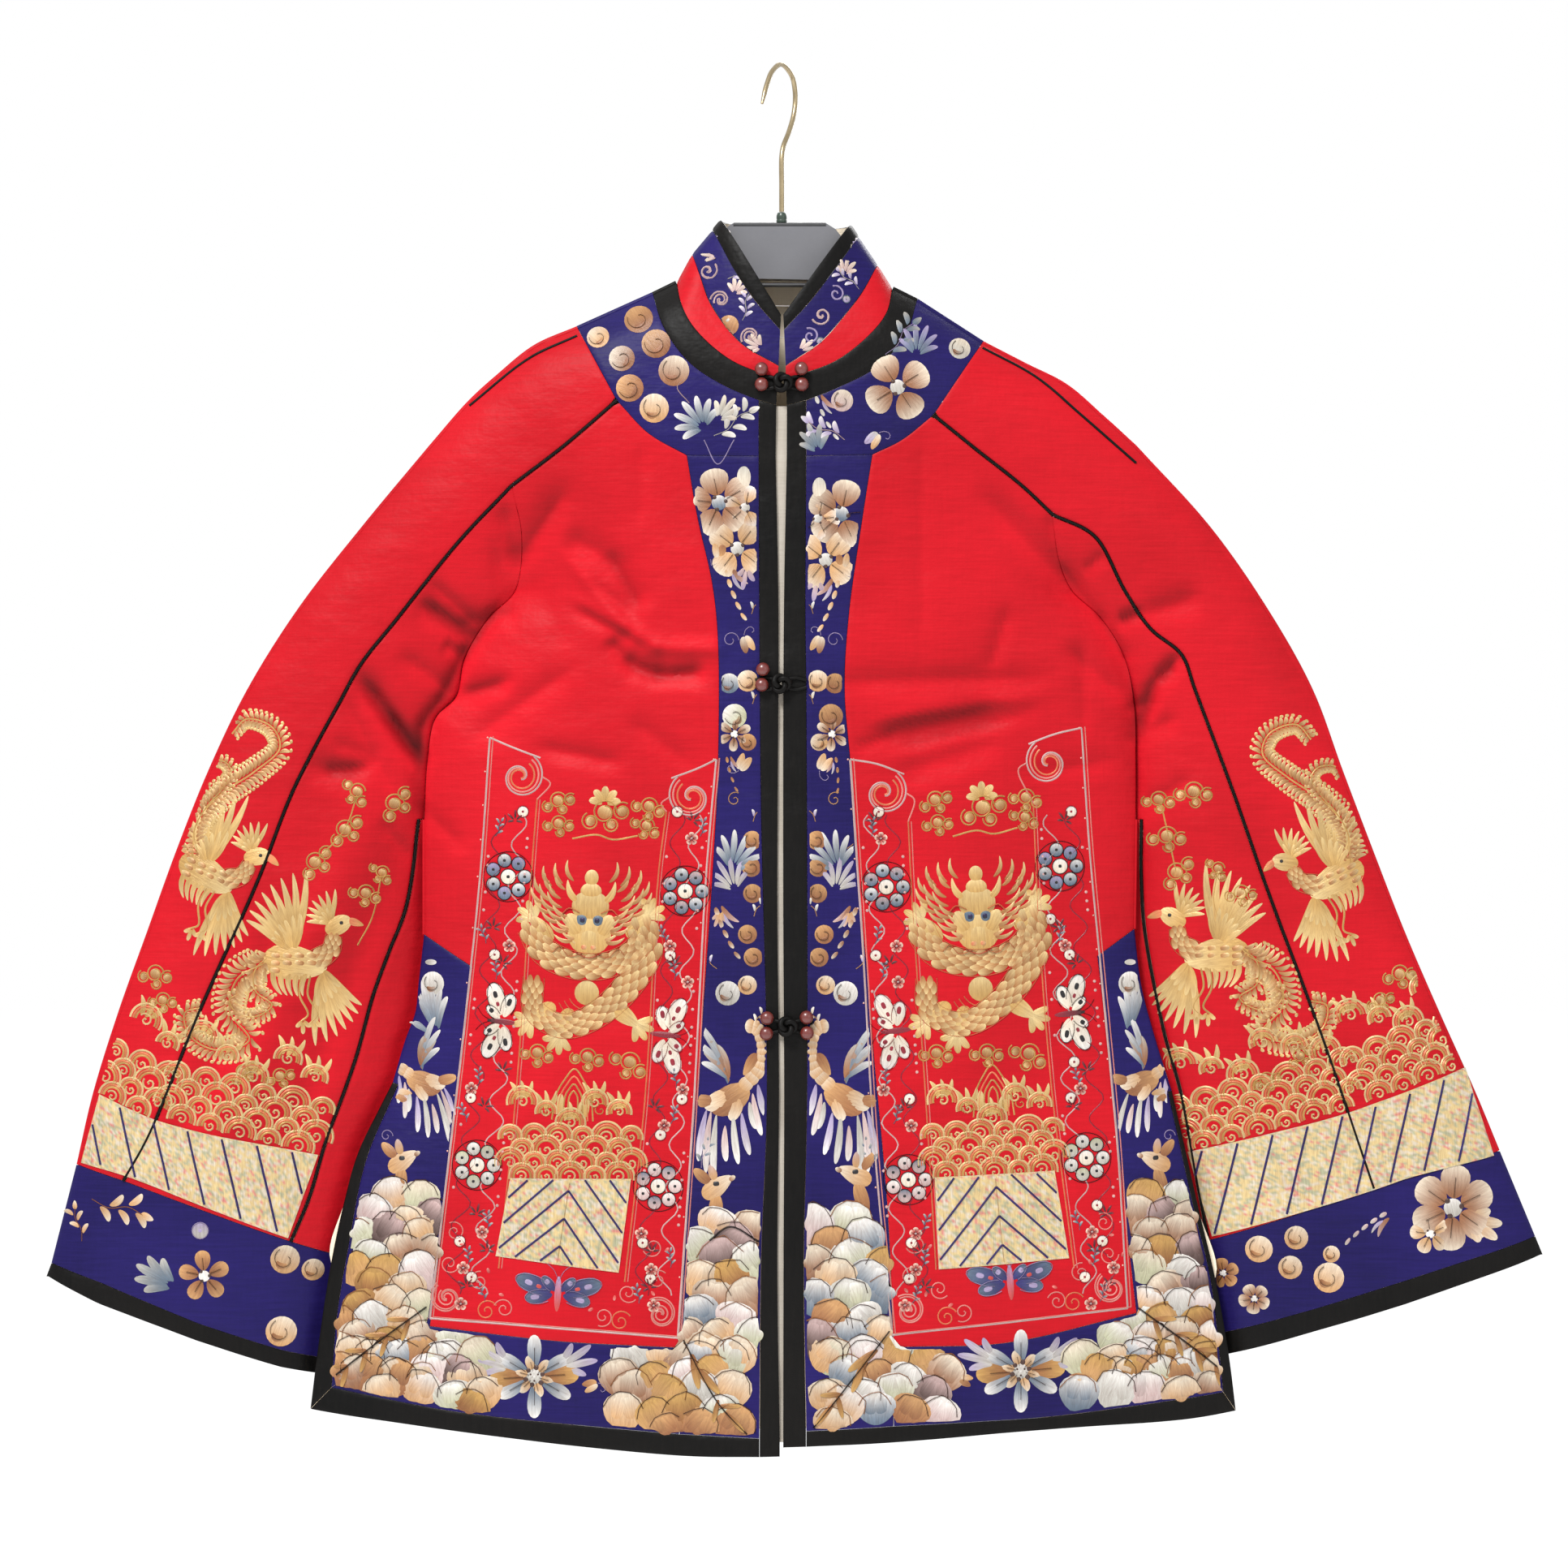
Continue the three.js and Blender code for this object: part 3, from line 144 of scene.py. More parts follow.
# Folds: x1, z1, x2, z2, depth outwards (a trough is below 0) and half width.
FOLDS = {
    "front": [
        (-99.8, -342, -90, -355, -3.6, 5), (-90, -355, -71, -362.5, -5.2, 6), (-71, -362.5, -48, -360.5, -4.6, 5),
        (-118.6, -319.7, -86.4, -338.4, 1.8, 4), (-86.4, -338.4, -71.5, -346, 2.2, 4),
        (-71.5, -346, -37.4, -347, 2, 4), (-123.4, -281.3, -99, -294, -2.6, 7), (-99, -294, -84, -321, -4.2, 7),
        (-129.6, -254, -160, -299.5, -2.2, 9), (-187.7, -373.2, -165.7, -367.2, -2, 4),
        (-163.7, -265, -157.9, -294.2, -3, 6), (-187.2, -372, -160.8, -364.8, -2.5, 6),
        (-84.5, -391.2, -55.2, -413.3, -2, 7), (-210.7, -320.6, -181.4, -338.4, -4, 7),
        (-245.8, -366.2, -215, -409, -5, 8), (-277.4, -415.7, -251, -422.9, -2.5, 8),
        (123.4, -259.2, 170.9, -306.7, -3, 8), (40.8, -366.2, 143, -363.4, -2.5, 7),
        (63.8, -397, 124.8, -383, -5, 8), (68.2, -420, 121.9, -403.2, -2.5, 8),
        (216.5, -325, 244.3, -315.8, -3, 7), (-245, -450, -335, -640, 3, 16),
        (245, -450, 330, -640, 3, 16), (-120, -470, -135, -740, 2.5, 24), (110, -450, 125, -740, 2.5, 24),
        (-128, -292, -92, -333, 1.6, 4), (-120, -323, -84, -343, -2.6, 3.2), (-209, -321, -184.5, -337.5, -3.6, 4),
        (-110, -309, -84, -329, -1.8, 3), (-140, -405, -98, -413, -2.2, 5), (-188, -330, -161, -326, -2, 4),
        (-180, -397, -128, -361, -2, 7), (-205, -309, -181, -329, -3.2, 4), (-199, -344, -187, -349, -3, 3.4),
        (-232, -387, -213, -413, -3.4, 4), (-222, -352, -196, -370, -2.6, 5), (-256, -380, -230, -430, -2.2, 5),
        (-170, -289, -160, -330, -2, 4), (-131, -259, -157, -296, -1.6, 4), (-214, -440, -190, -462, -2.2, 5),
        (234, -352, 219, -369, -4.5, 4.5), (219, -369, 213, -393, -5.5, 4.5), (201, -329, 211, -325, -3, 4),
        (-246, -367, -215, -409, -3.5, 4), (-269, -418, -244, -416.5, -3.2, 4),
        (-236, -450, -220, -470, -2.2, 5), (-262, -402, -240, -411, -1.6, 4), (-150, -300, -128, -345, -1.4, 9),
        (60, -388, 145, -374, 1.6, 4), (70, -405, 140, -385, -2, 3.4), (45, -405, 66, -397, -1.8, 4),
        (133, -325, 124, -355, -2, 5), (158, -270, 163, -292, -2, 3.6), (180, -300, 190, -291, -2.4, 4),
        (200, -331, 214, -324, -2.6, 4), (223, -363, 232, -357, -2.2, 4), (205, -382, 222, -375, -2.4, 4),
        (170, -347, 200, -372, -2, 6), (176, -345, 180, -390, -1.2, 5), (206, -400, 232, -388, -2, 5),
        (214, -440, 240, -424, -2, 5), (150, -420, 196, -412, -1.4, 6), (82, -231, 82, -340, -0.9, 2.6),
        (-83, -231, -83, -270, -0.8, 2.6), (178, -348, 178, -393, -0.8, 2.6), (232, -470, 300, -640, -1.5, 9),
        (-170, -323, -188, -349, -4.5, 3.8), (-188, -349, -201, -375, -5, 3.8), (-201, -375, -213, -390, -5, 3.8),
        (-213, -390, -215, -409, -5, 4), (-215, -409, -214, -450, -4, 4), (164, -296, 188, -327, -3, 4),
        (188, -327, 203, -350, -3.2, 4), (203, -350, 209, -377, -3, 4), (209, -377, 212, -440, -3, 4),
        (-232, -480, -300, -660, -1.5, 9), (-290, -500, -370, -660, -1.4, 9), (292, -480, 372, -660, -1.4, 9),
    ],
    "back": [
        (-90, -260, -110, -790, 4, 28), (80, -270, 100, -790, 4, 28), (0, -300, 0, -800, -4, 30),
        (-165, -330, -205, -440, -4, 12), (165, -335, 203, -440, -4, 12), (-250, -380, -345, -650, 3, 18),
        (250, -380, 345, -650, 3, 18), (-150, -300, -60, -330, -1.6, 8), (60, -345, 150, -300, -1.6, 8),
        (-190, -380, -120, -360, -2, 6), (120, -372, 188, -395, -2, 6), (-196, -420, -140, -392, -1.8, 5),
        (140, -404, 200, -436, -1.8, 5), (-60, -420, 70, -410, -1.4, 7), (-240, -330, -200, -380, -2.2, 7),
        (235, -330, 200, -385, -2.2, 7), (-60, -240, -75, -420, 1.2, 12), (64, -250, 70, -430, 1.2, 12),
        (-290, -480, -370, -660, -1.4, 9), (290, -480, 370, -660, -1.4, 9),
    ],
}
# Slow waves of the cloth: height, and waves for each metre along X and Z, and where they start.
WAVES = [(0.5, 9, 4, 0.3), (0.4, -5, 11, 1.9), (0.22, 17, 15, 4.1), (0.13, 6, 34, 2.2), (0.08, -21, 41, 5.0)]


def line_distance(x, z, line):
    """Distance in the plan from each place to the nearest of a line's straight runs."""
    least = np.full(np.shape(x), np.inf)
    for (ax, az), (bx, bz) in zip(line[:-1], line[1:]):
        dx, dz = bx - ax, bz - az
        along = np.clip(((x - ax) * dx + (z - az) * dz) / (dx * dx + dz * dz), 0, 1)
        least = np.minimum(least, np.hypot(x - ax - along * dx, z - az - along * dz))
    return least


def ease(t):
    """Smooth step from 0 to 1: 3 t squared less 2 t cubed."""
    t = np.clip(t, 0, 1)
    return t * t * (3 - 2 * t)


def folds(x, z, face):
    """Sum of the folds: each is a bell over the distance from its line that fades at both ends; a
    narrow one has a sharper crease."""
    total = np.zeros(np.shape(x))
    for x1, z1, x2, z2, depth, width in FOLDS[face]:
        dx, dz = x2 - x1, z2 - z1
        along = ((x - x1) * dx + (z - z1) * dz) / (dx * dx + dz * dz)
        apart = np.abs((x - x1) * dz - (z - z1) * dx) / np.hypot(dx, dz)
        fade = ease((along + 0.25) / 0.45) * ease((1.25 - along) / 0.45)
        total = total + depth * fade * np.exp(-((apart / max(width, 4)) ** (1.5 if width < 8 else 2)))
    return total


def half_depth(x, z, face, from_fold):
    """Depth of the wall from the middle plane: a bell over X, with the folds and waves added,
    that rises from a folded edge as 1 less e to the minus distance."""
    middle, bell = {"front": 30, "back": 20}[face], 190
    full = FLANK + (middle - FLANK) * np.exp(-((x / bell) ** 2)) + folds(x, z, face)
    for height, across, up, start in WAVES:
        full = full + height * np.sin((x * across + z * up) * 0.002 * np.pi + start)
    from_shoulder = np.minimum(*[line_distance(x, z, line) for line in SHOULDERS])
    rise = (1 - np.exp(-from_shoulder / 16)) * (1 - np.exp(-from_fold / 26))
    return EDGE_DEPTH + (full - EDGE_DEPTH) * rise


def fold_distance(x, z, face):
    """Distance to the nearer side fold; behind, the fold starts only at the armpit."""
    lines = SIDES if face == "front" else [[p for p in line if p[1] <= ARMPIT] for line in SIDES]
    return np.minimum(*[line_distance(x, z, line) for line in lines])


def body(face):
    """Y of the body's outer face at places of the plan; the vents let the front come forward."""
    out = -1 if face == "front" else 1

    def place(x, z):
        vent = 2.4 * ease((-z - 603) / 90) if face == "front" else 0
        return out * (half_depth(x, z, face, fold_distance(x, z, face)) + vent)
    return place, out


def side_at(half, z):
    """X of a half's side fold at each height."""
    return x_at(np.array(SIDES[0 if half is LEFT else 1]), z)


def sleeve(half, face):
    """Y of a sleeve's outer face: it sinks behind the body's side fold by an amount that fades out."""
    out = -1 if face == "front" else 1

    def place(x, z):
        beside = half["sign"] * (x - side_at(half, z))
        start = CREASE_TOP if face == "front" else ARMPIT
        from_fold = np.where((beside < 0) & (z < start), 0, fold_distance(x, z, face))
        run = (CREASE_TOP - z) / 89 if face == "front" else (-425 - z) / 22
        behind = 4.5 * ease(run) + 6 * ease((ARMPIT - z) / 28)
        return behind * np.exp(-from_fold / 30) + out * half_depth(x, z, face, from_fold)
    return place, out


def smooth(rows):
    """Dense points of the centripetal Catmull-Rom line through the rows."""
    p = np.array(rows, float)
    if len(p) < 3:
        return p
    p = np.vstack([2 * p[0] - p[1], p, 2 * p[-1] - p[-2]])
    knots = np.concatenate([[0], np.cumsum(np.sqrt(np.hypot(*np.diff(p, axis=0).T)))])
    found = [p[1:2]]
    for i in range(1, len(p) - 2):
        t = np.linspace(knots[i], knots[i + 1], 13)[1:, None]

        def mix(a, b, i0, i1):
            return ((knots[i1] - t) * a + (t - knots[i0]) * b) / (knots[i1] - knots[i0])
        a1, a2, a3 = (mix(p[k], p[k + 1], k, k + 1) for k in (i - 1, i, i + 1))
        found.append(mix(mix(a1, a2, i - 1, i + 1), mix(a2, a3, i, i + 2), i, i + 1))
    return np.vstack(found)


def spread(line, fractions):
    """Points of a line at fractions of its length."""
    line = np.asarray(line, float)
    run = np.concatenate([[0], np.cumsum(np.linalg.norm(np.diff(line, axis=0), axis=1))])
    return np.stack([np.interp(np.asarray(fractions) * run[-1], run, line[:, k]) for k in range(line.shape[1])], 1)


def curves(half):
    """Every line of a half, made smooth."""
    return {key: smooth(rows) for key, rows in half.items() if np.ndim(rows) == 2}


def x_at(line, z):
    """X of a line of the plan at a height; the line runs downwards."""
    return np.interp(z, line[::-1, 1], line[::-1, 0])


def in_plan(rows):
    """Rows of X and Z as complex places of the plan."""
    rows = np.asarray(rows)
    return rows[:, 0] + 1j * rows[:, 1]


def length_of(line):
    """Sum of the distances between a line's neighbouring points."""
    return np.linalg.norm(np.diff(np.asarray(line, float), axis=0), axis=1).sum()


def chain(lines, steps):
    """One line of the given number of steps through several lines, with their corners kept."""
    lengths = np.array([length_of(line) for line in lines])
    ends = np.round(np.cumsum(lengths) / lengths.sum() * (steps - len(lines))).astype(int)
    counts = np.diff(np.concatenate([[0], ends])) + 1
    parts = [spread(line, np.linspace(0, 1, n + 1)) for line, n in zip(lines, counts)]
    return np.vstack([parts[0]] + [part[1:] for part in parts[1:]])


def fill(top, bottom, first, last, step=4.0):
    """Coons patch between four chains of plan lines: the two blends less the corners' blend.
    An extra row 0.9 mm inside each edge carries the roll of a sewn edge."""
    roll_width, gap = 0.9, 0.12
    columns = max(2, int(max(sum(map(length_of, top)), sum(map(length_of, bottom))) / step), len(top), len(bottom))
    rows = max(2, int(max(sum(map(length_of, first)), sum(map(length_of, last))) / step), len(first), len(last))
    t, b = chain(top, columns), chain(bottom, columns)
    f, l = chain(first, rows), chain(last, rows)
    u = np.linspace(0, 1, columns + 1)[None, :, None]
    v = np.linspace(0, 1, rows + 1)[:, None, None]
    corners = (1 - v) * ((1 - u) * t[0] + u * t[-1]) + v * ((1 - u) * b[0] + u * b[-1])
    grid = (1 - u) * f[:, None] + u * l[:, None] + (1 - v) * t[None] + v * b[None] - corners
    for turned in (False, True):
        grid = grid.swapaxes(0, 1) if turned else grid
        reach = [roll_width / np.maximum(np.linalg.norm(grid[k] - grid[n], axis=1, keepdims=True), 2 * roll_width)
            for k, n in ((0, 1), (-1, -2))]
        near, far = grid[0] + (grid[1] - grid[0]) * reach[0], grid[-1] + (grid[-2] - grid[-1]) * reach[1]
        grid = np.concatenate([grid[:1] + (near - grid[0])[None] * gap, near[None], grid[1:-1], far[None],
            grid[-1:] + (far - grid[-1])[None] * gap])
        grid = grid.swapaxes(0, 1) if turned else grid
    return grid


def make(name, points, faces, materials, slot, kinds=None, colours=None, uv=None, sharp=50):
    """A piece from points in millimetres and arrays of faces with three or four corners each. Its
    faces are turned outwards by the sign of the volume that they enclose. It replaces the node
    that has its name, if there is one."""
    points = np.asarray(points, float).reshape(-1, 3) / 1000
    faces = [np.asarray(group, int).reshape(-1, np.shape(group)[-1]) for group in faces]
    volume = sum(np.einsum("ij,ij->", points[g[:, 0]], np.cross(points[g[:, k]], points[g[:, k + 1]])) for g in faces
        for k in range(1, g.shape[1] - 1))
    if volume < 0:
        faces = [g[:, ::-1] for g in faces]
    corners = np.concatenate([g.ravel() for g in faces])
    sizes = np.concatenate([np.full(len(g), g.shape[1]) for g in faces])
    is_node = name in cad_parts
    made_name = f"{name}_made" if is_node else name
    mesh = bpy.data.meshes.new(made_name)
    mesh.vertices.add(len(points))
    mesh.vertices.foreach_set("co", points.ravel())
    mesh.loops.add(len(corners))
    mesh.loops.foreach_set("vertex_index", corners)
    mesh.polygons.add(len(sizes))
    mesh.polygons.foreach_set("loop_start", np.concatenate([[0], np.cumsum(sizes)[:-1]]))
    mesh.polygons.foreach_set("use_smooth", np.ones(len(sizes), bool))
    if kinds is not None:
        mesh.polygons.foreach_set("material_index", np.concatenate(kinds))
    mesh.update(calc_edges=True)
    if uv is not None:
        mesh.uv_layers.new(name="threads").data.foreach_set("uv", uv[corners].ravel())
    # The tone attribute holds the thread colours of the embroidery, and on the satin panels the painted light and
    # shade of their folds; without colours it is one.
    colours = np.ones((len(points), 3)) if colours is None else colours
    tone = mesh.color_attributes.new("tone", "FLOAT_COLOR", "POINT")
    tone.data.foreach_set("color", np.column_stack([colours, np.ones(len(colours))]).ravel())
    mesh.set_sharp_from_angle(angle=np.radians(sharp))
    for material in materials:
        mesh.materials.append(material)
    piece = bpy.data.objects.new(made_name, mesh)
    bpy.context.scene.collection.objects.link(piece)
    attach(piece, "root")
    if is_node:
        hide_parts(name)
    return piece


def grid_faces(rows, columns, start=0, round_=False):
    """Quads of a grid of points that are numbered row by row."""
    j, i = np.meshgrid(np.arange(rows - 1), np.arange(columns if round_ else columns - 1), indexing="ij")
    n = (i + 1) % columns
    return start + np.stack([j * columns + i, (j + 1) * columns + i, (j + 1) * columns + n, j * columns + n],
        -1).reshape(-1, 4)


def rim_faces(rows, columns, round_=False):
    """Quads that join the edge of one grid to the edge of a second one that is numbered after it."""
    across = np.arange(columns + 1) % columns if round_ else np.arange(columns)
    loops = [(across, 1), (((rows - 1) * columns + across), -1)]
    if not round_:
        down = np.arange(rows) * columns
        loops += [(down, -1), (down + columns - 1, 1)]
    quads = []
    for line, way in loops:
        line = line[::way]
        low = line + rows * columns
        quads.append(np.stack([line[:-1], line[1:], low[1:], low[:-1]], 1))
    return np.concatenate(quads)


def painted_fold_shading(x, z, face):
    """Painted light and shade of the satin's folds, put into its colour: darker on the sides of folds that face down
    and in troughs, a little lighter on the sides that face up or towards -X.
    """
    reach = 2.5
    down = (folds(x, z + reach, face) - folds(x, z - reach, face)) / (2 * reach)
    across = (folds(x + reach, z, face) - folds(x - reach, z, face)) / (2 * reach)
    light = np.clip(1 - 0.85 * down + 0.25 * across, 0.5, 1.12)
    return light * np.exp(-0.13 * np.maximum(0, -folds(x, z, face) - 2.4))


def wall(name, outer, inner, cloth, round_=False, shade=None):
    """A closed wall between two grids of points, lined inside. A cloth is its material and
    its slot."""
    smallest, least_share = 0.0101, 0.301
    rows, columns = outer.shape[:2]
    faces = [grid_faces(rows, columns, 0, round_), grid_faces(rows, columns, rows * columns, round_)[:, ::-1],
        rim_faces(rows, columns, round_)]
    kinds = [np.full(len(group), kind) for group, kind in zip(faces, (0, 1, 0))]
    piece = make(name, np.concatenate([outer.reshape(-1, 3), inner.reshape(-1, 3)]), faces,
        [cloth[0], lining_cotton], cloth[1], kinds, shade)
    across, down = (np.linalg.norm(np.diff(outer, axis=axis), axis=2).sum(axis).max() / 1000 for axis in (1, 0))
    right, below = outer[:-1, 1:] - outer[:-1, :-1], outer[1:, :-1] - outer[:-1, :-1]
    area = np.linalg.norm(np.cross(right, below), axis=2).sum() / 1e6
    width, length = max(smallest, across), max(smallest, down)
    area = min(max(area, least_share * width * length), width * length)
    return piece


def panel(name, plan, surface, cloth, rise=0.0):
    """A wall over a plan grid. Its outer face rolls in by a third of a millimetre at the seams, and its outer points
    carry the painted light and shade of the folds.
    """
    place, out = surface
    x, z = plan[..., 0], plan[..., 1]
    y = place(x, z)
    roll = np.full(x.shape, 0.35)
    roll[1:-1, 1:-1] = 0
    outer = np.stack([x, y + out * (rise - roll), z], -1)
    inner = np.stack([x, y - out * WALL, z], -1)
    # Painted light and shade of the folds for the outer points; the lining's points stay at one.
    shade = np.repeat(painted_fold_shading(x, z, "front" if out < 0 else "back").ravel(), 3).reshape(-1, 3)
    return wall(name, outer, inner, cloth, shade=np.concatenate([shade, np.ones(shade.shape)]))



class Thread:
    """A node's output. Sums, differences and products of it add their Math nodes."""

    def __init__(self, dye, link):
        self.dye, self.link = dye, link

    def _math(self, operation, a, b):
        return self.dye.add("ShaderNodeMath", {"operation": operation}, {0: a, 1: b})

    def __add__(self, other): return self._math("ADD", self, other)
    def __radd__(self, other): return self._math("ADD", other, self)
    def __sub__(self, other): return self._math("SUBTRACT", self, other)
    def __rsub__(self, other): return self._math("SUBTRACT", other, self)
    def __mul__(self, other): return self._math("MULTIPLY", self, other)
    def __rmul__(self, other): return self._math("MULTIPLY", other, self)


class Dye:
    def __init__(self, name):
        self.material = bpy.data.materials.new(name)
        self.material.use_nodes = True
        self.tree = self.material.node_tree
        self.tree.nodes.clear()
        self.place = self.add("ShaderNodeTexCoord", output="Object")

    def add(self, kind, settings=None, inputs=None, output=0):
        """Adds a node: its settings first, a ramp's stops among them, then its inputs."""
        node = self.tree.nodes.new(kind)
        for key, value in (settings or {}).items():
            if key == "stops":
                for i, (position, colour) in enumerate(value):
                    stops = node.color_ramp.elements
                    stop = stops[i] if i < 2 else stops.new(position)
                    stop.position, stop.color = position, (*colour, 1)
            else:
                setattr(node, key, value)
        for key, value in (inputs or {}).items():
            if isinstance(value, Thread):
                self.tree.links.new(value.link, node.inputs[key])
            else:
                node.inputs[key].default_value = value
        return Thread(self, node.outputs[output]) if node.outputs else None

    def stretched(self, across, deep, up, place=None):
        """Coordinates scaled along each axis."""
        return self.add("ShaderNodeMapping", None, {"Vector": place or self.place, "Scale": (across, deep, up)})

    def noise(self, vector, scale, detail=2.0, rough=0.5):
        """Fractal noise over the coordinates."""
        return self.add("ShaderNodeTexNoise", None,
            {"Vector": vector, "Scale": scale, "Detail": detail, "Roughness": rough})

    def ranged(self, value, low, high, to_low, to_high):
        """A value whose range from low to high is carried over to another range."""
        return self.add("ShaderNodeMapRange", None, {0: value, 1: low, 2: high, 3: to_low, 4: to_high})

    def blend(self, share, a, b, how="MIX"):
        """Mixes two colours by a share from 0 to 1."""
        a, b = [(*c, 1) if isinstance(c, tuple) else c for c in (a, b)]
        return self.add("ShaderNodeMix", {"data_type": "RGBA", "blend_type": how}, {0: share, 6: a, 7: b}, 2)

    def relief(self, height, depth, strength=1.0, under=None):
        """Bump of a height field, depth metres high."""
        inputs = {"Height": height, "Distance": depth, "Strength": strength}
        if under:
            inputs["Normal"] = under
        return self.add("ShaderNodeBump", None, inputs)

    def finish(self, colour, roughness, normal=None, **fixed):
        """Wires the surface; an underscore in a fixed value's name stands for a space."""
        inputs = {"Base Color": (*colour, 1) if isinstance(colour, tuple) else colour, "Roughness": roughness}
        if normal:
            inputs["Normal"] = normal
        inputs.update({key.replace("_", " "): value for key, value in fixed.items()})
        surface = self.add("ShaderNodeBsdfPrincipled", None, inputs)
        self.add("ShaderNodeOutputMaterial", None, {"Surface": surface})
        return self.material


def silk(name, deep, bright, rough, specular, sheen, ribs=(45, 45, 900)):
    """Satin: long fine ribs, slow changes of tone, small crumples, and a soft sheen."""
    dye = Dye(name)
    rib = dye.noise(dye.stretched(*ribs), 1.0, 3.0, 0.6)
    warp = dye.noise(dye.stretched(700, 700, 40), 1.0, 2.0)
    slow = dye.noise(dye.place, 9.0, 3.0)
    crumple = dye.noise(dye.stretched(1, 1, 1.5), 55.0, 3.0, 0.55)
    tone = slow * 0.55 + rib * 0.35 + warp * 0.1
    colour = dye.blend(dye.ranged(tone, 0.35, 0.65, 0, 1), deep, bright)
    # The tone attribute multiplies in the painted light and shade of the folds.
    colour = dye.blend(1.0, colour, dye.add("ShaderNodeAttribute", {"attribute_name": "tone"}), "MULTIPLY")
    normal = dye.relief(rib * 0.6 + warp * 0.4, 0.00035, 0.35, dye.relief(crumple, 0.0022, 0.5))
    return dye.finish(colour, rough + 0.14 * (rib - 0.5), normal, Specular_IOR_Level=specular, Sheen_Weight=sheen,
        Sheen_Roughness=0.4)


# ---- Lining ------------------------------------------------------------------------------------
# Beige glazed cotton lies inside every panel, streaky and a little yellowed. It shows in the neck,
# through the slit between the fronts and in the cuffs and hem.
def cotton(name, deep, bright):
    """Plain weave: two crossed ribs, with long stains down the cloth."""
    dye = Dye(name)
    across, down = dye.noise(dye.stretched(60, 60, 1100), 1.0), dye.noise(dye.stretched(1100, 1100, 60), 1.0)
    stains = dye.noise(dye.stretched(1, 1, 0.25), 70.0, 4.0, 0.6)
    colour = dye.blend(stains * 0.8 + across * 0.2, deep, bright)
    return dye.finish(colour, 0.8, dye.relief(across + down, 0.0005, 0.4), Specular_IOR_Level=0.2)


lining_cotton = cotton("lining cotton", (0.50, 0.40, 0.28), (0.86, 0.78, 0.64))

# ---- Red silk sleeves, fronts and back ---------------------------------------------------------
# Heavy red silk satin, cut with wide sleeves. Each sleeve front is an upper and a lower panel and
# a narrow gusset with piping between them; the body front is one panel and the back is one panel.
red_silk = silk("red silk satin", (0.26, 0.0025, 0.006), (0.36, 0.0035, 0.009), 0.5, 0.09, 0.0), "red_silk"


def between(a, b, t):
    """The point a share t of the way from a to b."""
    return np.asarray(a, float) + (np.asarray(b, float) - np.asarray(a, float)) * t


def line(*points):
    """A line straight from point to point."""
    return np.array(points, float)


def beside(path, distance):
    """A line moved sideways, to the right of its direction of travel."""
    run = np.gradient(path, axis=0)
    run /= np.linalg.norm(run, axis=1, keepdims=True)
    return path + np.stack([run[:, 1], -run[:, 0]], 1) * distance


pipe = 0.95                  # half the width that a piping takes between two panels
sleeve_seams = {}            # for each half: its pipings' centre lines and its other seams

for half, name in HALVES:
    side, curve = half["sign"], curves(half)
    front, rear = sleeve(half, "front"), sleeve(half, "back")
    chest, seam, under = curve["chest_seam"], curve["sleeve_seam"], curve["under_seam"]
    piping = np.vstack([chest, seam[1:]])
    upper, lower = beside(piping, -side * pipe), beside(piping, side * pipe)
    joint = len(chest) - 1
    cuff = np.array(half["cuff_top"], float)

    def on_cuff(i, j):
        """The point of the cuff's upper edge one piping width from point i towards point j."""
        return between(cuff[i], cuff[j], pipe / np.hypot(*(cuff[j] - cuff[i])))
    outer_under, inner_under = beside(under, -side * pipe), beside(under, side * pipe)
    upper[-1], lower[-1] = on_cuff(1, 0), on_cuff(1, 2)
    outer_under[-1], inner_under[-1] = on_cuff(3, 2), on_cuff(3, 4)
    upper[0] = between(half["ring_edge"][0], half["sleeve_top"][0], 0.04)
    lower[0] = between(half["ring_edge"][0], half["ring_edge"][1], 0.08)
    armhole = curve["armhole"]
    armhole[0] = lower[joint]
    heights = np.linspace(ARMPIT, cuff[4][1], 40)
    inner = np.stack([side_at(half, heights) - side * 8 * ease((ARMPIT - heights) / 28), heights], 1)
    inner[-1] = cuff[4]
    top, fold = curve["sleeve_top"], curve["sleeve_outer"]
    panel(f"sleeve_upper_{name}", fill([line(top[0], upper[0])], [line(cuff[0], upper[-1])], [top, fold], [upper],
        3.2), front, red_silk)
    start = lower[joint]
    panel(f"sleeve_lower_{name}", fill([line(start, armhole[8])],
        [line(lower[-1], cuff[2]), line(cuff[2], outer_under[-1])], [lower[joint:]],
        [armhole[8:], line(armhole[-1], outer_under[0]), outer_under], 2.8), front, red_silk)
    panel(f"sleeve_gusset_{name}", fill([line(inner_under[0], inner[0])], [line(inner_under[-1], cuff[4])],
        [inner_under], [inner]), front, red_silk)
    begin = between(half["sleeve_top"][2], half["sleeve_top"][3], 0.35)
    shoulder = between(half["back_armhole"][0], begin, 0.15)
    back_fold = smooth([list(begin), *half["sleeve_top"][3:], *half["sleeve_outer"][1:]])
    back_hole = curve["back_armhole"]
    back_hole[0] = shoulder
    panel(f"sleeve_back_{name}", fill([line(begin, shoulder)], [line(*cuff)], [back_fold], [back_hole, inner], 5.0),
        rear, red_silk)
    ring_low = smooth([list(lower[0]), *half["ring_edge"][1:]])
    panel(f"front_panel_{name}", fill([lower[:joint + 1][::-1]], [curve["hem_top"]],
        [armhole, curve["side_upper"], curve["border_top"], curve["border_inner"]],
        [ring_low, curve["placket"]], 2.6), body("front"), red_silk)
    sleeve_seams[name] = dict(piping=piping, under=under, inner=inner, front=front, rear=rear,
        ring_top=line(top[0], upper[0]), ring_low=ring_low, fold=np.vstack([top, fold[1:]]))

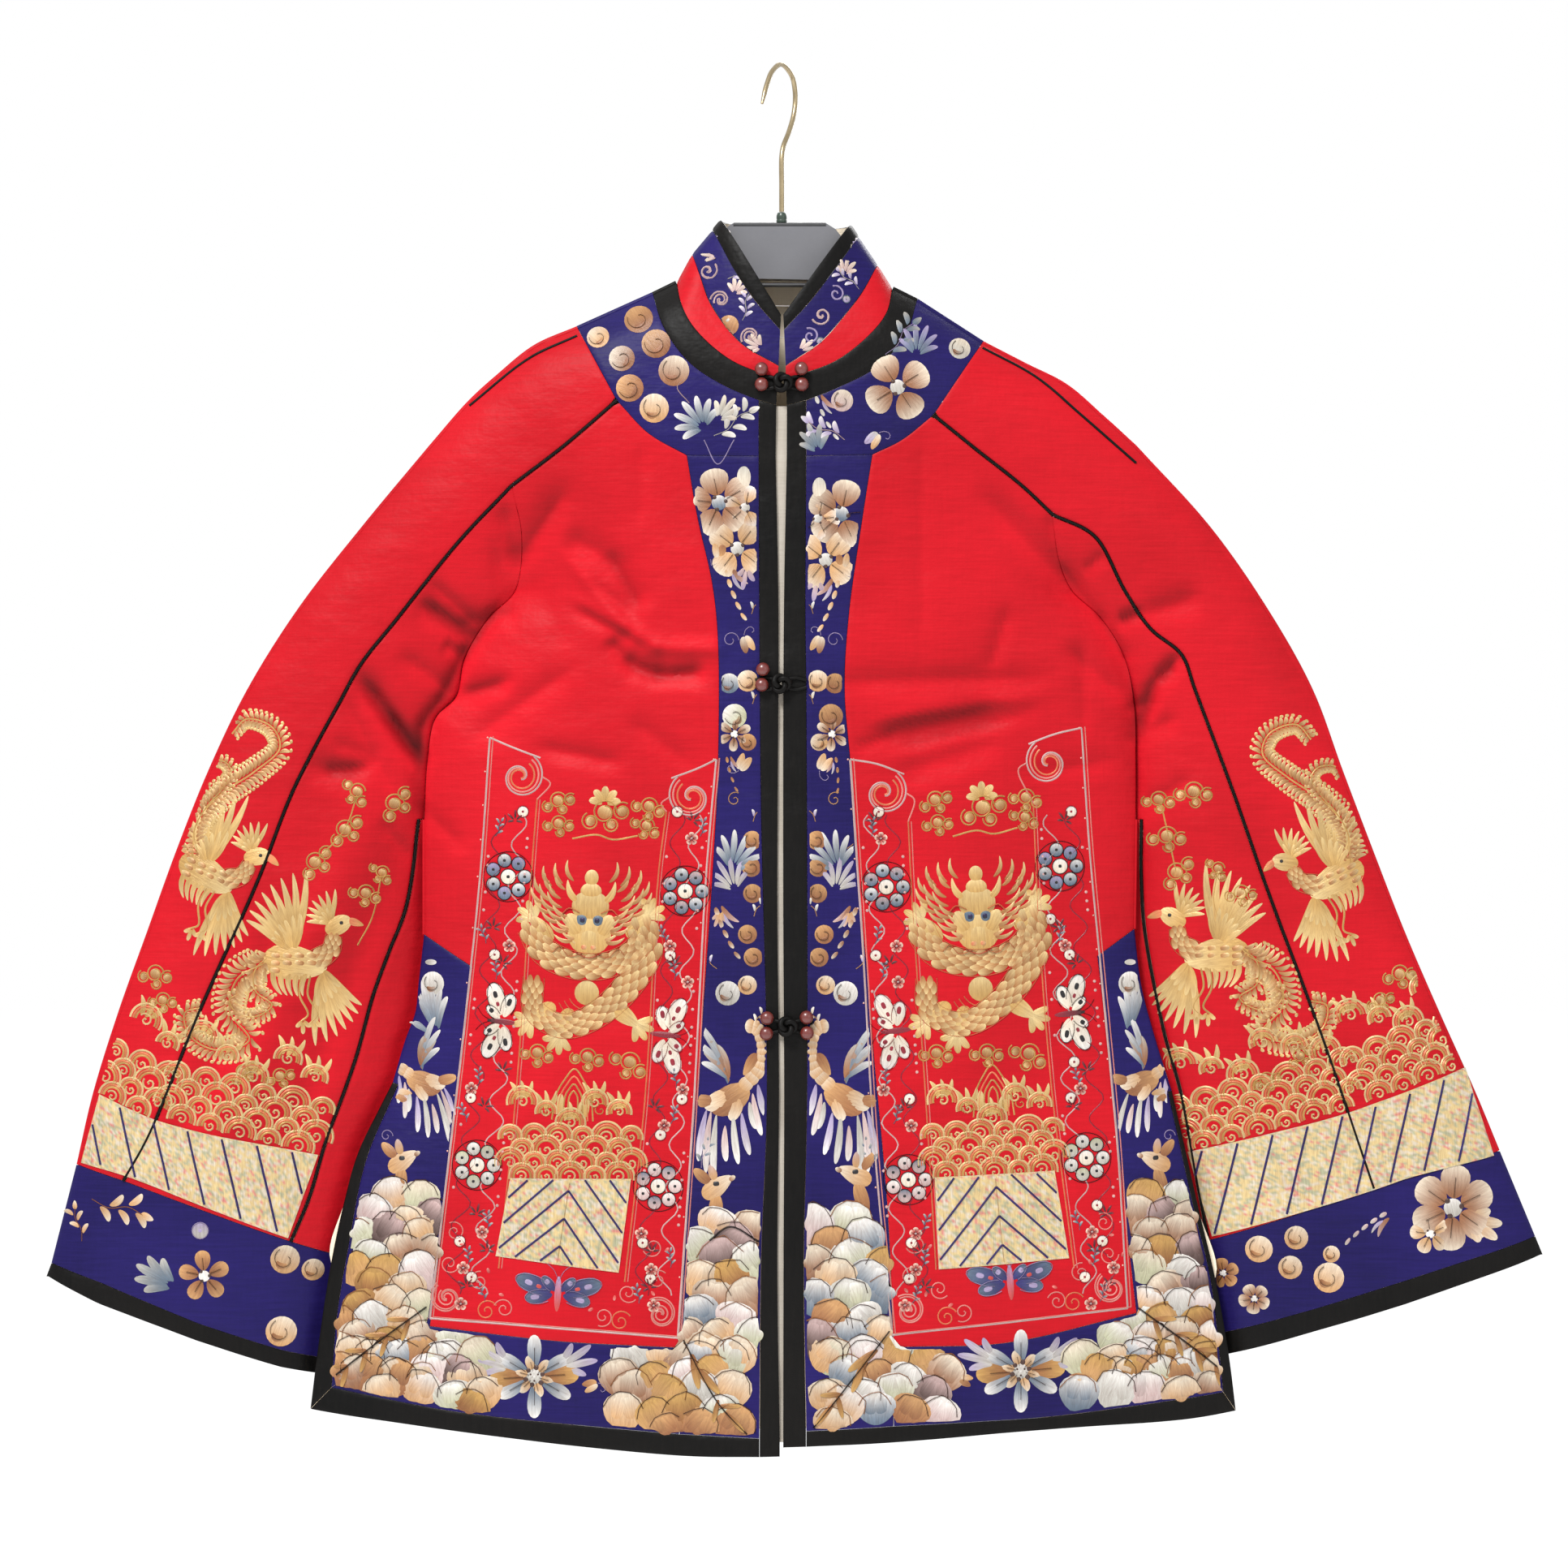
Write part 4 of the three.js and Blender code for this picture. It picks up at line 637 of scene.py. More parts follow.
back_sides = []
for half, name in HALVES:
    hem_start = BACK["hem_top"][0 if half is LEFT else -1]
    side_rows = [p for p in half["side_upper"] + half["side_middle"][1:] + half["side_lower"][1:]
        if p[1] > hem_start[1] + 5]
    back_sides.append([smooth(half["sleeve_top"][:3]), smooth(half["back_armhole"]), smooth([*side_rows, hem_start])])
back_lines = {key: smooth(rows) for key, rows in BACK.items()}
panel("back_panel", fill([back_lines["ring_edge"]], [back_lines["hem_top"]], *back_sides, 5.0), body("back"),
    red_silk)

# ---- Blue satin borders ------------------------------------------------------------------------
# Navy silk satin: the plackets beside the front opening, the ring round the neck, the borders of
# hem, side vents and cuffs. All of it is sewn to the red silk with a flat seam.
blue_satin = silk("navy silk satin", (0.005, 0.003, 0.038), (0.010, 0.006, 0.070), 0.48, 0.1, 0.0), "blue_satin"
black_satin = silk("black silk satin", (0.0016, 0.0015, 0.0014), (0.004, 0.0034, 0.003), 0.5, 0.09, 0.0,
    (500, 500, 90)), "black_satin"

for half, name in HALVES:
    seams, face, curve = sleeve_seams[name], body("front"), curves(half)
    vent, placket, front_seam = curve["vent_inner"], curve["placket"], curve["front_seam"]
    hem_top, hem_seam = curve["hem_top"], smooth(half["hem_seam"][:4])
    mitre = line(vent[-1], half["border_inner"][-1])
    side_middle = curve["side_middle"]
    ring_foot = line(half["ring_edge"][-1], front_seam[0])
    placket_end = line(placket[-1], half["hem_seam"][3])
    hem_seam_end = line(half["hem_seam"][3], half["hem_seam"][4])
    band_edge, band_foot = curve["band_edge"], line(half["band_edge"][-1], front_seam[0])

    def blue(kind, plan):
        """A border sewn flat to the red silk."""
        panel(f"{kind}_{name}", plan, face, blue_satin)

    def black(kind, plan):
        """A binding, raised a little over the cloth."""
        panel(f"{kind}_{name}", plan, face, black_satin, 0.15)
    blue("side_border", fill([curve["border_top"]], [mitre],
        [side_middle, line(side_middle[-1], vent[0]), vent], [curve["border_inner"]]))
    blue("hem_border", fill([hem_top], [hem_seam], [mitre[::-1]], [placket_end]))
    blue("placket", fill([ring_foot], [hem_seam_end], [placket, placket_end], [front_seam]))
    ring_outer = [seams["ring_top"], line(seams["ring_top"][-1], seams["ring_low"][0]), seams["ring_low"]]
    blue("cloud_ring", fill([line(ring_outer[0][0], band_edge[0])], [ring_foot], ring_outer, [band_edge, band_foot]))

    # Black satin binds the vents, hem and front edges and the neck, folded over the raw edges.
    lower_side = curve["side_lower"]
    black("vent_binding", fill([line(lower_side[0], vent[0])], [line(lower_side[-1], vent[-1])], [lower_side],
        [vent]))
    hem_edge = curve["hem_edge"]
    black("hem_binding", fill([hem_seam, hem_seam_end], [hem_edge], [line(hem_seam[0], hem_edge[0])],
        [line(hem_seam_end[-1], hem_edge[-1])]))
    front_edge = curve["front_edge"]
    band_line = [band_foot, front_seam, line(front_seam[-1], hem_edge[-1])]
    edge_line = [line(half["band_end"], front_edge[0]), front_edge, line(front_edge[-1], half["hem_front_end"])]
    black("edge_band", fill([line(band_foot[0], half["band_end"])], [line(hem_edge[-1], half["hem_front_end"])],
        band_line, edge_line, 3.0))
    seat = curve["seat_edge"]
    neck_low = band_edge.copy()
    neck_low[-1] = half["band_end"]
    black("neck_band", fill([seat], [neck_low], [line(seat[0], neck_low[0])], [line(seat[-1], neck_low[-1])]))

back_face = body("back")
for kind, top, bottom, cloth in (("back_neck_band", "seat_edge", "band_edge", black_satin),
        ("back_cloud_ring", "band_edge", "ring_edge", blue_satin)):
    high, low = back_lines[top], back_lines[bottom]
    panel(kind, fill([high], [low], [line(high[0], low[0])], [line(high[-1], low[-1])], 5.0), back_face, cloth)

# At both ends the border behind and its binding turn up the side vent to the red panel's corner.
corners, tips, outers = [], [], []
for half, lines in ((LEFT, back_sides[0]), (RIGHT, back_sides[1])):
    joint = lines[2][-13:]
    binding_wide = 12 / length_of(joint)
    corners.append(spread(joint, np.linspace(binding_wide, 1, 14)))
    tips.append(spread(joint, [binding_wide, 0]))
    outers.append(smooth([joint[0], *[p for p in half["side_lower"] if p[1] < joint[0][1] - 5]]))
high, low, edge = (back_lines[key] for key in ("hem_top", "hem_seam", "hem_edge"))
vents = [line(corners[0][0], low[0]), line(low[-1], corners[1][0])]
panel("back_hem_border", fill([corners[0], high, corners[1][::-1]], [low], [vents[0]], [vents[1][::-1]], 5.0),
    back_face, blue_satin)
panel("back_hem_binding", fill([vents[0], low, vents[1]], [outers[0], edge, outers[1][::-1]], [tips[0]], [tips[1]],
    5.0), back_face, black_satin)

# ---- Cuffs -------------------------------------------------------------------------------------
# A navy satin band and a black satin binding run right round the end of each sleeve. The band is
# sewn to the red silk and the binding to the band, and both are hollow like the sleeve.
for half, name in HALVES:
    seams = sleeve_seams[name]
    shares = np.linspace(0, 1, 46)
    edge, seam, end = [spread(half[key], shares) for key in ("cuff_top", "cuff_seam", "cuff_end")]
    for kind, top, bottom, steps, cloth in (("cuff_band", edge, seam, 14, blue_satin),
            ("cuff_binding", seam, end, 5, black_satin)):
        rows = top + (bottom - top) * np.linspace(0.003, 0.997, steps)[:, None, None]
        x, z = rows[..., 0], rows[..., 1]
        roll = np.zeros(x.shape)
        roll[0], roll[-1] = 0.3, 0.3

        def loop(depth):
            """Front points from the outer fold inwards, then the back points outwards again."""
            plan = x.copy()
            plan[:, 0] += half["sign"] * (1.6 - depth)
            plan[:, -1] -= half["sign"] * (0.6 - depth)
            middle = [(seams["front"][0](x[:, [k]], z[:, [k]]) + seams["rear"][0](x[:, [k]], z[:, [k]])) / 2
                for k in (0, -1)]
            front_y, rear_y = seams["front"][0](x, z) + depth + roll, seams["rear"][0](x, z) - depth - roll
            ends = [np.stack([plan[:, [k]], m, z[:, [k]]], -1) for k, m in zip((0, -1), middle)]
            face_x = x.copy()
            face_x[:, 0] -= half["sign"] * depth * 0.4
            face_x[:, -1] += half["sign"] * depth * 0.4
            return np.concatenate([ends[0], np.stack([face_x, front_y, z], -1), ends[1],
                np.stack([face_x, rear_y, z], -1)[:, ::-1]], 1)
        wall(f"{kind}_{name}", loop(0.0), loop(WALL), cloth, True)


# ---- Stand collar ------------------------------------------------------------------------------
# A red strip at its seat, a navy band and a black binding over its top edge, in one loop from the
# left front edge round the back of the neck to the right. Its inside is lined.
def collar_loop(key, front_place, back_place):
    """Points of a collar line in space: left front, back, right front."""
    front_rows, back_rows = np.linspace(0, 1, 26), np.linspace(0, 1, 50)
    left, rear, right = (spread(smooth(half[key]), rows) for half,
        rows in ((LEFT, front_rows), (BACK, back_rows), (RIGHT, front_rows)))
    return np.concatenate([front_place(left[::-1]), back_place(rear)[1:-1], front_place(right)])


def on_cloth(face):
    """Y follows the body's outer face."""
    return lambda plan: np.column_stack([plan[:, 0], body(face)[0](plan[:, 0], plan[:, 1]), plan[:, 1]])


def on_oval(key, face, depth):
    """Y follows half an oval of the neck: depth times the root of 1 less x over its end squared."""
    def place(plan):
        end = np.where(plan[:, 0] < 0, LEFT[key][0][0], RIGHT[key][0][0])
        bow = depth * np.sqrt(np.maximum(0, 1 - (plan[:, 0] / end) ** 2))
        return np.column_stack([plan[:, 0], (-1 if face == "front" else 1) * (EDGE_DEPTH + bow), plan[:, 1]])
    return place


seat_loop = collar_loop("seat_edge", on_cloth("front"), on_cloth("back"))
base_loop = collar_loop("collar_base", on_oval("collar_base", "front", 28), on_oval("collar_base", "back", 18))
top_loop = collar_loop("collar_top", on_oval("collar_top", "front", 25), on_oval("collar_top", "back", 16))
bind_loop = top_loop + (base_loop - top_loop) * 0.3


def collar_wall(name, low, high, steps, cloth, rise=0.0, round_edge=0.3):
    """A wall between two loops; the outside is moved along the cross product of up and along."""
    tall = np.linalg.norm(high - low, axis=1, keepdims=True)
    margin = 0.2 / tall
    rows = np.stack([low + (high - low) * (margin + t * (1 - 2 * margin)) for t in np.linspace(0, 1, steps)])
    along, up = np.gradient(rows, axis=1), np.broadcast_to(rows[-1] - rows[0], rows.shape)
    normal = np.cross(up, along)
    normal /= np.linalg.norm(normal, axis=2, keepdims=True)
    normal *= np.where((normal[..., 0] * rows[..., 0] + normal[..., 1] * rows[..., 1]) < 0, -1, 1)[..., None]
    roll = np.zeros(rows.shape[:2] + (1,))
    roll[0], roll[-1] = round_edge, round_edge
    wall(name, rows + normal * (rise - roll), rows - normal * WALL, cloth)
    return rows, normal


collar_wall("collar_seat", seat_loop, base_loop, 7, red_silk)
collar_rows, collar_normal = collar_wall("collar_band", base_loop, bind_loop, 10, blue_satin)
collar_wall("collar_binding", bind_loop, top_loop, 6, black_satin, 0.5, 0.6)

# ---- Underlap ----------------------------------------------------------------------------------
# A strip of pale lining cotton backs the slit between the two front edges, sewn in behind one of them
# from the neck to the hem. Its cotton is a darker, greyer copy of the lining cotton: painted shade
# for the narrow slit.
underlap_cotton_in_painted_shade = cotton("underlap cotton in painted shade", (0.16, 0.13, 0.10), (0.42, 0.39, 0.34)), "lining"
grid_x, grid_z = np.meshgrid(np.linspace(-9, 9, 7), np.linspace(-204, -812, 140))
strip_y = body("front")[0](0 * grid_x, grid_z) + WALL + 0.8 + 0.25 * np.sin(grid_z * 0.11) * np.cos(grid_x * 0.3)
wall("underlap_lining", np.stack([grid_x, strip_y, grid_z], -1), np.stack([grid_x, strip_y + WALL, grid_z], -1),
    underlap_cotton_in_painted_shade)


# ---- Piping and folded edges -------------------------------------------------------------------
# Thin black satin piping is caught in the sleeve seams and along the shoulder. Where the front and
# the back of the cloth are one piece, the fold between them is rounded.
def tube(name, path, across, deep, cloth, sides=10, up=(0, -1, 0)):
    """A closed tube: an oval of the given half widths carried along a path of points in space."""
    path = np.asarray(path, float)
    run = np.gradient(path, axis=0)
    run /= np.linalg.norm(run, axis=1, keepdims=True)
    wide = np.cross(run, np.asarray(up, float))
    wide /= np.linalg.norm(wide, axis=1, keepdims=True)
    high = np.cross(wide, run)
    turn = np.linspace(0, 2 * np.pi, sides, endpoint=False)
    across, deep = (np.broadcast_to(value, len(path))[:, None, None] for value in (across, deep))
    rings = (path[:, None] + wide[:, None] * across * np.cos(turn)[None, :, None] + high[:, None] * deep
        * np.sin(turn)[None, :, None])
    count = len(path)
    caps = np.array([[0, k, k + 1] for k in range(1, sides - 1)])
    faces = [grid_faces(count, sides, 0, True), caps, caps[:, ::-1] + (count - 1) * sides]
    make(name, rings.reshape(-1, 3), faces, [cloth[0]], cloth[1])


def along_cloth(plan, place):
    """A plan line as points in space on the cloth, at even steps of about 2.5 mm."""
    plan = spread(plan, np.linspace(0, 1, max(3, int(length_of(plan) / 2.5))))
    return np.column_stack([plan[:, 0], place(plan[:, 0], plan[:, 1]), plan[:, 1]])


def in_middle(plan):
    """A plan line as points in space in the middle plane."""
    return np.insert(plan, 1, 0, axis=1)


for half, name in HALVES:
    seams, fold_round = sleeve_seams[name], 1.75
    place, inner = seams["front"][0], seams["inner"]
    shoulder_line = {"left": [(-121, -160.5), (-150, -174), (-185, -201.5)], "right": [(119, -167.5), (150, -184.3),
        (176, -206.4), (209.8, -235.7)]}[name]
    for kind, path, across, deep in (("sleeve_piping", seams["piping"], 0.85, 0.95),
            ("gusset_piping", seams["under"], 0.85, 0.95), ("shoulder_piping", smooth(shoulder_line), 0.9, 0.9)):
        tube(f"{kind}_{name}", along_cloth(path, place), across, deep, black_satin)
    sleeve_fold = in_middle(spread(seams["fold"], np.linspace(0, 1, 260))) - np.array([half["sign"] * 0.2, 0, 0])
    middle = (place(inner[:, 0], inner[:, 1]) + seams["rear"][0](inner[:, 0], inner[:, 1])) / 2
    for kind, path, across, cloth in (("sleeve_fold", sleeve_fold, fold_round, red_silk),
            ("sleeve_inner_fold", np.column_stack([inner[:, 0], middle, inner[:, 1]]), 1.2, red_silk),
            ("side_seam", in_middle(spread(half["side_upper"], np.linspace(0, 1, 24))), 1.2, red_silk),
            ("neck_fold", in_middle(spread([half["seat_edge"][0], half["band_edge"][0]], np.linspace(0, 1, 16))),
            fold_round, black_satin), ("ring_fold", in_middle(spread([half["band_edge"][0], half["sleeve_top"][0]],
            np.linspace(0, 1, 16))), fold_round, blue_satin)):
        tube(f"{kind}_{name}", path, across, fold_round, cloth)


# ---- Hanger ------------------------------------------------------------------------------------
# A slim dark grey hanger with a bare plate and black rails, a dark ferrule and a wire hook with a
# pale brass plating. Its arms lie inside the shoulders.
def plain(name, colour, other, rough, grain=400.0, **fixed):
    """A smooth material with faint mottling and fine wear."""
    dye = Dye(name)
    mottle, wear = dye.noise(dye.place, 60.0, 3.0), dye.noise(dye.place, grain, 3.0, 0.7)
    return dye.finish(dye.blend(mottle * 0.7 + wear * 0.3, colour, other), rough + 0.12 * (wear - 0.5),
        dye.relief(wear, 0.0002, 0.15), **fixed)


hanger_grey = plain("hanger grey", (0.075, 0.075, 0.082), (0.105, 0.105, 0.115), 0.42)
hanger_black = plain("hanger black", (0.012, 0.012, 0.014), (0.022, 0.022, 0.024), 0.38), "hanger"
brass_wire = plain("pale brass wire", (0.20, 0.155, 0.09), (0.42, 0.34, 0.21), 0.3, 900.0, Metallic=0.9), "hook_wire"
ferrule_green = plain("dark green ferrule", (0.010, 0.022, 0.014), (0.020, 0.034, 0.024), 0.35), "ferrule"
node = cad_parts["hanger_body"]
node.data.materials.clear()
node.data.materials.append(hanger_grey)

route = np.array([(-11.5, -25.4), (-8.6, -13), (-5.3, -4), (0, 1.5), (5.6, -2.6), (8, -12), (7.4, -25), (4.4, -37),
    (1, -47), (0, -54), (0, -70), (0, -86.1)])
wire = spread(smooth(route), np.linspace(0, 1, 150))
wire = np.column_stack([wire[:, 0], 2.05 * wire[:, 0], wire[:, 1]])
taper = 1.5 * np.clip(np.linspace(0.55, 8, 150), 0, 1)
tube("hanger_hook", wire, taper, taper, brass_wire, 14, (0.9, -0.43, 0.02))

heights = np.array([-93.3, -93.0, -92.2, -91.2, -90.6, -90.2, -88.6, -88.0, -87.2, -86.7, -86.5])
radii = np.array([2.3, 2.9, 3.15, 3.15, 2.9, 3.1, 3.1, 2.9, 2.7, 2.3, 1.6])
tube("hanger_ferrule", np.column_stack([0 * heights, 0 * heights, heights]), radii, radii, ferrule_green, 28)
rim = np.linspace(-28.6, 26.2, 40)
for name, points in (("hanger_top_rail", np.column_stack([rim, 0 * rim - 4.2, 0 * rim - 94.3])),
        ("hanger_low_rail", np.column_stack([rim * 1.12, 0 * rim - 4.2, -130.0 - 0.0006 * rim ** 2]))):
    tube(name, points, 1.3, 1.3, hanger_black)


# ---- Knots and beads ---------------------------------------------------------------------------
# Three knot fastenings of black satin cord hold the fronts, with a strap to each side. A pair of dark
# red beads ends each strap.
front_place = body("front")[0]
KNOTS = [(0.6, -190.5), (-0.4, -367), (3.4, -568)]
BEADS = [(-11.8, -182.6), (-11.8, -191.6), (11.6, -182.4), (11.9, -191.6), (-11, -358.6), (-11.6, -367.7),
    (-8.6, -563), (-9, -572.1), (14.6, -562.6), (14.9, -571.8)]
for number, (x, z) in enumerate(KNOTS, 1):
    ahead = min(front_place(np.array([x + k]), np.array([z]))[0] for k in (-6, 0, 6))
    turn = np.linspace(0, 4 * np.pi, 121)
    radius = 3.5 + 1.35 * np.cos(1.5 * turn)
    knot = np.column_stack([x + radius * np.cos(turn), ahead - 4.6 - 1.6 * np.sin(1.5 * turn),
        z + radius * np.sin(turn)])
    tube(f"knot_{number}", knot, 1.65, 1.65, black_satin, 12, (0.02, -1, 0.03))
    for side in (-1, 1):
        for drop in (-1.9, 1.9):
            s = np.linspace(0, 1, 18)
            px, pz = x + side * (2.5 + 12.5 * s), z + drop + 0.8 * drop * np.sin(np.pi * s)
            py = front_place(px, pz) - 0.9 - 1.3 * (1 - s) ** 2
            tube(f"knot_{number}_strap_{'left' if side < 0 else 'right'}_{'low' if drop < 0 else 'high'}",
                np.column_stack([px, py, pz]), 1.15, 1.0, black_satin)

bead_red = plain("dark red bead", (0.05, 0.006, 0.005), (0.13, 0.018, 0.013), 0.35, 300.0, Coat_Weight=0.15), "bead"
bead_radius = 4.1
for number, (x, z) in enumerate(BEADS, 1):
    ahead = min(front_place(np.array([x + k * bead_radius]), np.array([z]))[0] for k in (-1, 0, 1))
    s = np.linspace(0.04, 0.96, 15) * np.pi
    radius = bead_radius * np.sin(s) * (1 - 0.05 * np.cos(6 * s) ** 2)
    centre = ahead - bead_radius * 0.8 - 0.4
    core = np.column_stack([x + 0 * s, centre + 3.4 * np.cos(s), z + 0 * s])
    tube(f"bead_{number:02d}", core, radius, radius, bead_red, 18, (0, 0, 1))


# ---- Embroidery --------------------------------------------------------------------------------
# Silk is laid in satin stitch, padded a little, and gold and coloured cords are couched on the
# cloth. A motif is a set of patches and cords in the plan, held as complex numbers x + iz.
def srgb(*rgb):
    """A thread's colour from its display values of 0 to 255, at the strength it has in this light."""
    strength = 0.52
    return tuple(strength * ((c / 255 + 0.055) / 1.055) ** 2.4 for c in rgb)


TONES = {
    "cream": srgb(242, 228, 205), "white": srgb(250, 246, 240), "tan": srgb(216, 165, 108),
    "brown": srgb(158, 100, 58), "dark": srgb(78, 50, 42), "grey": srgb(196, 192, 182), "green": srgb(196, 196, 160),
    "mauve": srgb(212, 182, 178), "lilac": srgb(176, 160, 200), "slate": srgb(98, 118, 138), "navy": srgb(40, 30, 112),
    "black": srgb(24, 20, 24), "rose": srgb(214, 74, 66), "pink": srgb(240, 150, 140), "wine": srgb(150, 20, 45),
    "ochre": srgb(186, 120, 62), "gold": srgb(218, 172, 98), "pale": srgb(246, 218, 156), "salmon": srgb(244, 140, 96),
}
GOLDEN = {"gold", "pale", "salmon"}


def thread(name, metallic, rough):
    """Laid threads: fine streaks along the piece's own thread map, in the tone of each patch."""
    dye = Dye(name)
    tone = dye.add("ShaderNodeAttribute", {"attribute_name": "tone"})
    threads = dye.add("ShaderNodeUVMap", {"uv_map": "threads"})
    streak = dye.noise(dye.stretched(9, 0.9, 1, threads), 1.0, 4.0, 0.7)
    soil = dye.noise(dye.place, 90.0, 2.0)
    # The streaks darken the tone between the laid threads: partly bands of thread colour, partly painted shade along
    # the threads' ridges. The soil noise is dirt.
    shade = dye.ranged(streak * 0.75 + soil * 0.25, 0.32, 0.62, 0.6, 0.0)
    colour = dye.blend(shade, tone, dye.blend(1.0, tone, (0.42, 0.33, 0.30), "MULTIPLY"))
    return dye.finish(colour, rough + 0.2 * (streak - 0.5), dye.relief(streak, 0.0006, 0.6), Metallic=metallic,
        Specular_IOR_Level=0.35)


silk_thread, gold_thread = thread("embroidery silk", 0.0, 0.42), thread("couched gold thread", 0.25, 0.38)


def within(places, border):
    """Whether each place lies inside a closed line: an odd count of edges to its right."""
    inside = np.zeros(places.shape, bool)
    for a, b in zip(border, np.roll(border, -1)):
        if a.imag != b.imag:
            crossing = a.real + (places.imag - a.imag) * (b.real - a.real) / (b.imag - a.imag)
            inside ^= ((a.imag > places.imag) != (b.imag > places.imag)) & (places.real < crossing)
    return inside


class Needlework:
    """Patches and cords of embroidery in the plan, to be sewn on a cloth in one piece."""

    def __init__(self):
        self.petals, self.cords = [], []

    def petal(self, centre, axis, width, low, high=None, taper=0.0, bend=0.0, rise=0.7, tilt=0.0):
        """An oval patch: axis is half its length, taper widens its tip, bend curves it and tilt
        lifts its tip. Its tone goes from low at the root to high at the tip."""
        self.petals.append((centre, axis, width, taper, bend, rise, tilt, low, high or low))

    def cord(self, points, tone="gold", width=0.9, rise=0.45):
        """A cord through points of the plan."""
        self.cords.append((np.asarray(points, complex), tone, width, rise))

    def lay(self, *rows):
        """Patches, one for each row of what petal takes."""
        for row in rows:
            self.petal(*row)

    def couch(self, *rows):
        """Cords, one for each row of what cord takes."""
        for row in rows:
            self.cord(*row)

    def put(self, motif, place, factor=1.0, mirror=False):
        """Adds a motif, flipped from side to side if mirrored, then turned and scaled by a factor."""
        for centre, axis, width, taper, bend, *rest in motif.petals:
            if mirror:
                centre, axis, bend = -np.conj(centre), -np.conj(axis), -bend
            self.petals.append((place + factor * centre, factor * axis, abs(factor) * width, taper, bend, *rest))
        for points, *rest in motif.cords:
            self.cords.append((place + factor * (-points.conj() if mirror else points), *rest))

    def sew(self, name, place, slot, out=-1, border=None):
        """Lays everything on the cloth: a patch is a dome over a disc grid, closed by a fan inside
        the cloth, and a cord is a three-sided tube. A border is a closed line that nothing crosses:
        patches centred outside it are left out, and the others shrink towards their centres."""
        fine, step, shrink, tries = 6, 1.5, 0.93, 14
        if border is not None:
            self.petals = [p for p in self.petals if within(np.array([p[0]]), border)[0]]
        chance = np.random.default_rng(11 + len(self.petals))
        points, quads, triangles, colours, uv, start = [], [], [], [], [], 0
        golden = []
        if self.petals:
            c, a, w, taper, bend, rise, tilt = (np.array([p[k] for p in self.petals])[:, None, None]
                for k in range(7))
            b_, a_ = np.meshgrid(*[np.linspace(-1, 1, fine)] * 2, indexing="ij")
            across, along = a_ * np.sqrt(1 - b_ ** 2 / 2), b_ * np.sqrt(1 - a_ ** 2 / 2)
            plan = c + a * along + 1j * a / abs(a) * (w / 2 * across * (1 + taper * along) + bend * abs(a)
                * (along ** 2 - 0.35))
            dome = (1 - (across ** 2 + along ** 2) ** 2).clip(0) ** 0.6
            lift = 0.34 * rise * dome + 0.4 * tilt * (along + 1) / 2 + 0.1
            for _ in range(tries if border is not None else 0):
                plan = np.where(within(plan, border), plan, c + shrink * (plan - c))
            x, z = plan.real, plan.imag
            y = place(x, z) + out * lift
            count, size = len(self.petals), fine * fine
            root_y = place(c.real[:, 0], c.imag[:, 0]) - out * 0.6
            domes = np.stack([x, y, z], -1).reshape(count, size, 3)
            roots = np.stack([c.real[:, 0], root_y, c.imag[:, 0]], -1)
            points.append(np.concatenate([domes, roots], 1).reshape(-1, 3))
            base = (np.arange(count) * (size + 1))[:, None, None]
            quads.append((grid_faces(fine, fine)[None] + base).reshape(-1, 4))
            side = np.arange(fine)
            loop = np.concatenate([side, side[1:] * fine + fine - 1, size - 1 - side[1:],
                (size - fine) - side[1:] * fine])
            fan = np.stack([loop[:-1], loop[1:], np.full(len(loop) - 1, size)], 1)
            triangles.append((fan[None] + base).reshape(-1, 3))
            share = (((along + 1) / 2) ** 1.7).reshape(1, size, 1)
            low_tone, high_tone = (np.array([TONES[p[k]] for p in self.petals])[:, None] for k in (7, 8))
            tones = low_tone * (1 - share) + high_tone * share
            tones = np.concatenate([tones, low_tone], 1) * chance.uniform(0.86, 1.12, (count, 1, 1))
            colours.append(tones.reshape(-1, 3))
            maps = np.stack([w / 20 * across + chance.uniform(0, 9, (count, 1, 1)), abs(a) / 10 * along + 0 * w], -1)
            uv.append(np.concatenate([maps.reshape(count, size, 2), np.zeros((count, 1, 2))], 1).reshape(-1, 2))
            gold = np.array([p[8] in GOLDEN for p in self.petals])
            golden += [np.repeat(gold, (fine - 1) ** 2), np.repeat(gold, len(fan))]
            start = count * (size + 1)
        gold_quads, gold_ends = [], []
        for path, tone, width, rise in self.cords:
            rows = np.column_stack([path.real, path.imag])
            rows = spread(rows, np.linspace(0, 1, max(2, int(length_of(rows) / step)) + 1))
            path = in_plan(rows)
            if border is not None:
                path = path[within(path, border)]
                if len(path) < 4 or abs(np.diff(path)).max() > 2.5 * step:
                    continue
            run = np.gradient(path)
            run /= np.maximum(abs(run), 1e-9)
            ring = np.stack([path + 0.5j * width * run, path, path - 0.5j * width * run], 1)
            y = place(ring.real, ring.imag) + out * np.array([-0.15, rise, -0.15])
            points.append(np.stack([ring.real, y, ring.imag], -1).reshape(-1, 3))
            quads.append(grid_faces(len(path), 3, start, True))
            last = start + 3 * (len(path) - 1)
            triangles.append(np.array([[start, start + 1, start + 2], [last + 2, last + 1, last]]))
            colours.append(np.tile(np.array(TONES[tone]), (3 * len(path), 1)) * chance.uniform(0.9, 1.08))
            uv.append(np.column_stack([np.tile([0, 0.05, 0.1], len(path)),
                np.repeat(np.arange(len(path)) * 0.15, 3)]))
            gold_quads.append(np.full(3 * (len(path) - 1), tone in GOLDEN))
            gold_ends.append(np.full(2, tone in GOLDEN))
            start += 3 * len(path)
        quad_kinds = np.concatenate(golden[:1] + gold_quads)
        end_kinds = np.concatenate(golden[1:2] + gold_ends)
